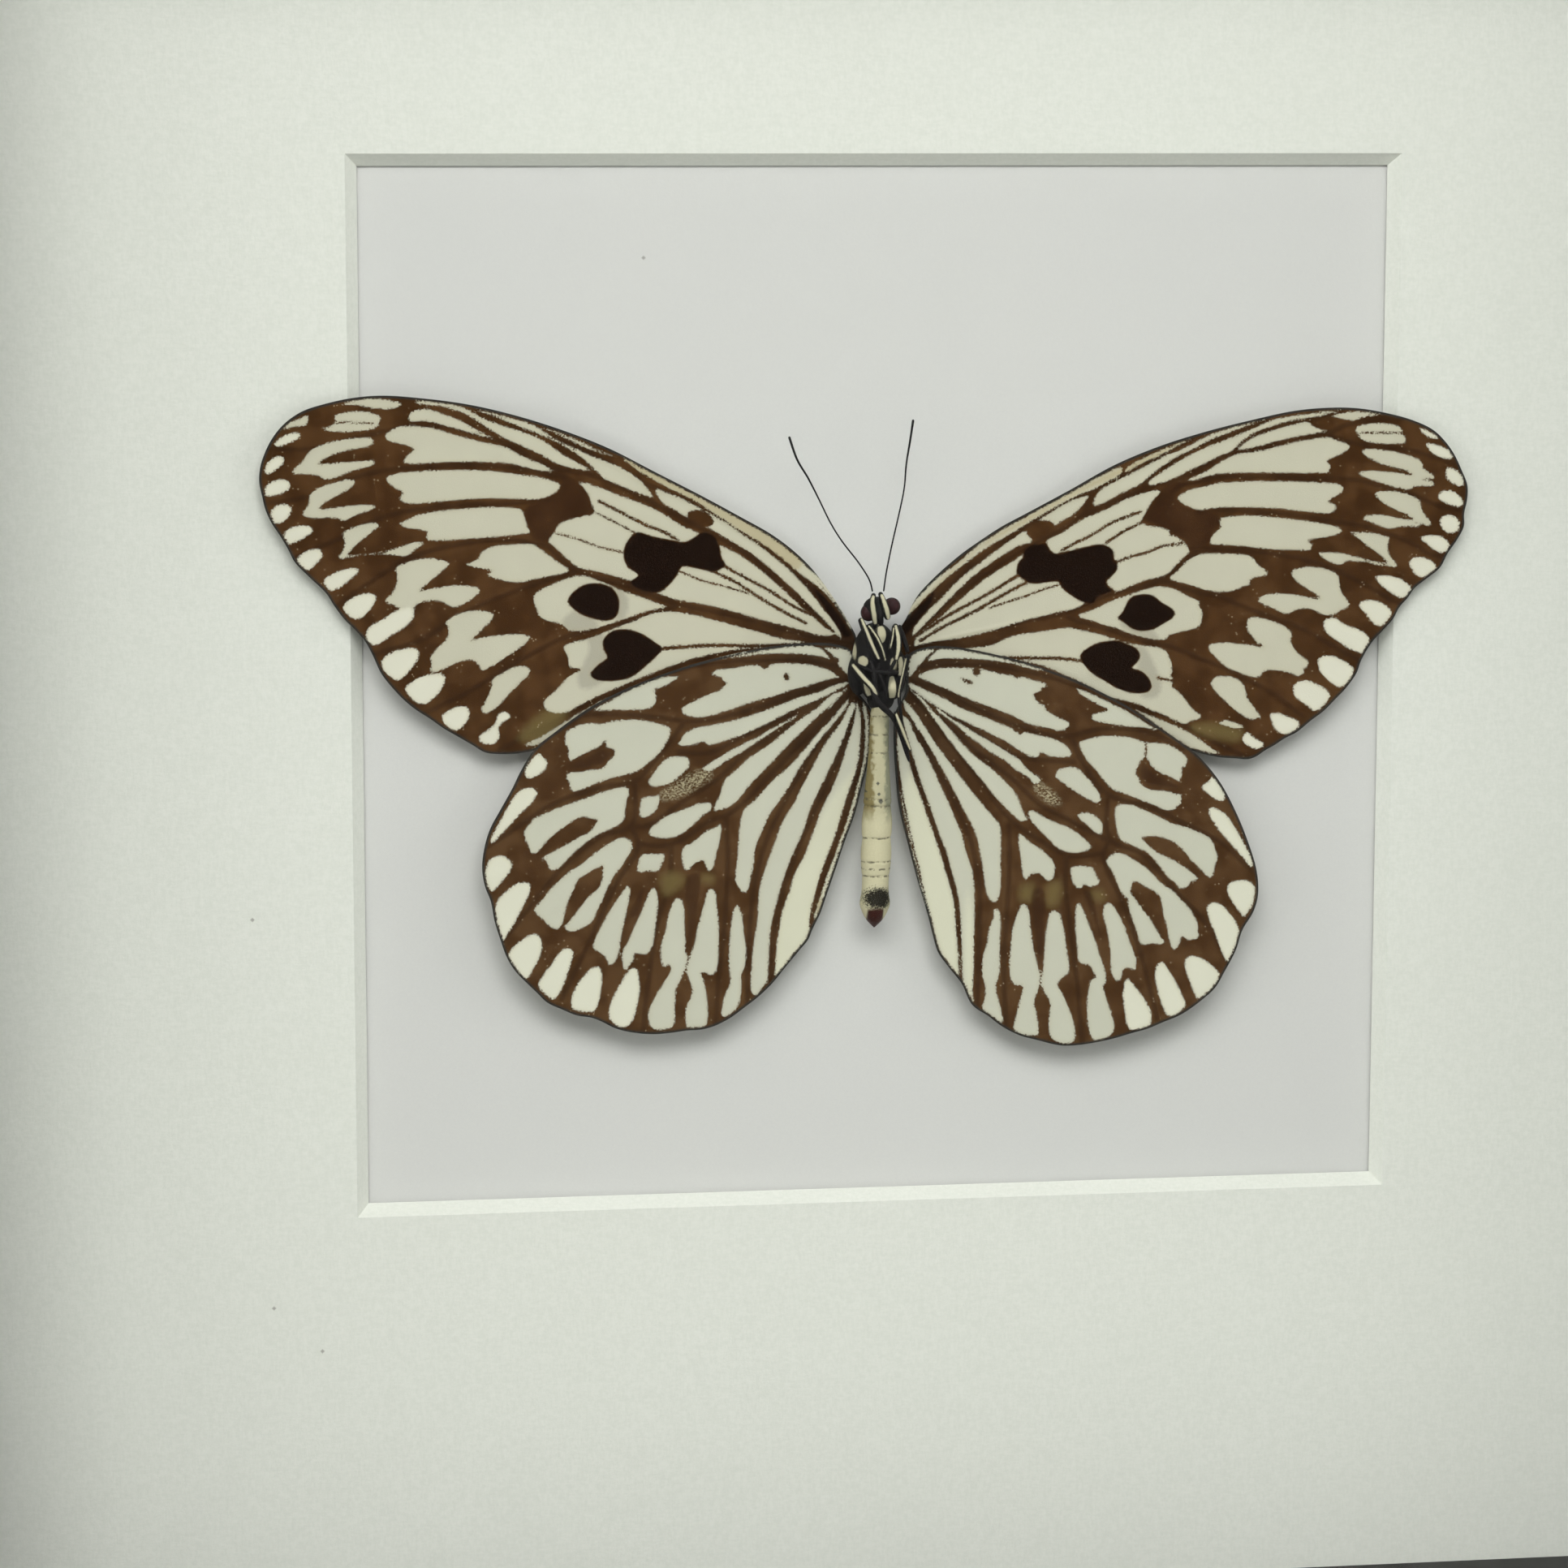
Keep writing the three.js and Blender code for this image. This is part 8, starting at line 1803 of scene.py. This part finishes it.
def make_studio():
    """A dim even world, a key panel from above and a fill panel on each side."""
    world = bpy.data.worlds.new("studio")
    world.use_nodes = True
    background = world.node_tree.nodes["Background"]
    background.inputs["Color"].default_value = (0.98, 0.99, 1.0, 1.0)
    background.inputs["Strength"].default_value = 0.2
    bpy.context.scene.world = world
    make_light("key", (-8, 37), 1.5, 1.3, 0.6, 9)
    make_light("fill_left", (-58, 4), 1.6, 0.8, 1.0, 3.2)
    make_light("fill_right", (62, 4), 1.6, 0.8, 1.0, 3)


def make_camera():
    """The lens at CAMERA_AT, towards CAMERA_LOOKS_AT, upright but for its small roll."""
    data = bpy.data.cameras.new("camera")
    data.sensor_width = SENSOR
    data.lens = FOCAL_PIXELS / IMAGE_PIXELS * SENSOR
    data.clip_start = 0.01
    camera = bpy.data.objects.new("camera", data)
    start = Vector(place(*CAMERA_AT).tolist())
    gaze = Vector(place(*CAMERA_LOOKS_AT).tolist()) - start
    turned = gaze.to_track_quat("-Z", "Y") @ Quaternion((0, 0, 1), math.radians(CAMERA_ROLL))
    camera.location = start
    camera.rotation_euler = turned.to_euler()
    bpy.context.scene.collection.objects.link(camera)
    bpy.context.scene.camera = camera


def make_everything():
    """Every piece with its material, then the floor, the lights and the camera."""
    fore = wing_material("forewing scales", rgb(207, 203, 181), rgb(226, 223, 204),
                         rgb(68, 43, 19), rgb(92, 63, 35))
    hind = wing_material("hindwing scales", rgb(206, 205, 186), rgb(224, 222, 202),
                         rgb(76, 51, 27), rgb(98, 71, 44))
    make_wing("forewing_left", FOREWING_LEFT, FOREWING_LEFT_MARKS, forewing_height, fore)
    make_wing("forewing_right", FOREWING_RIGHT, FOREWING_RIGHT_MARKS, forewing_height, fore)
    make_wing("hindwing_left", HINDWING_LEFT, HINDWING_LEFT_MARKS, hindwing_height, hind)
    make_wing("hindwing_right", HINDWING_RIGHT, HINDWING_RIGHT_MARKS, hindwing_height, hind)
    body = body_material()
    make_head(body)
    make_thorax(body)
    make_limbs(body)
    make_antenna("antenna_left", ANTENNA_LEFT, body)
    make_antenna("antenna_right", ANTENNA_RIGHT, body)
    make_abdomen(abdomen_material())
    level = black_wood("black wood, level grain", (0.06, 1.0, 1.0))
    upright = black_wood("black wood, upright grain", (1.0, 1.0, 0.06))
    for turns, side in enumerate(("top", "right", "bottom", "left")):
        make_rail("rail_" + side, turns, upright if turns % 2 else level)
    dress(black_board(), "spacer_top", "spacer_bottom", "spacer_left", "spacer_right")
    dress(mat_board(), "mat")
    dress(backing_paper(), "backing_board")
    dress(hardboard(), "back_panel")
    dress(zinc_plate(), *(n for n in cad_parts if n.startswith(("tab_", "hanger"))))
    dress(clear_glass(), "glass")
    make_floor()
    make_studio()
    make_camera()
    bpy.context.scene.view_settings.view_transform = "Standard"


make_everything()
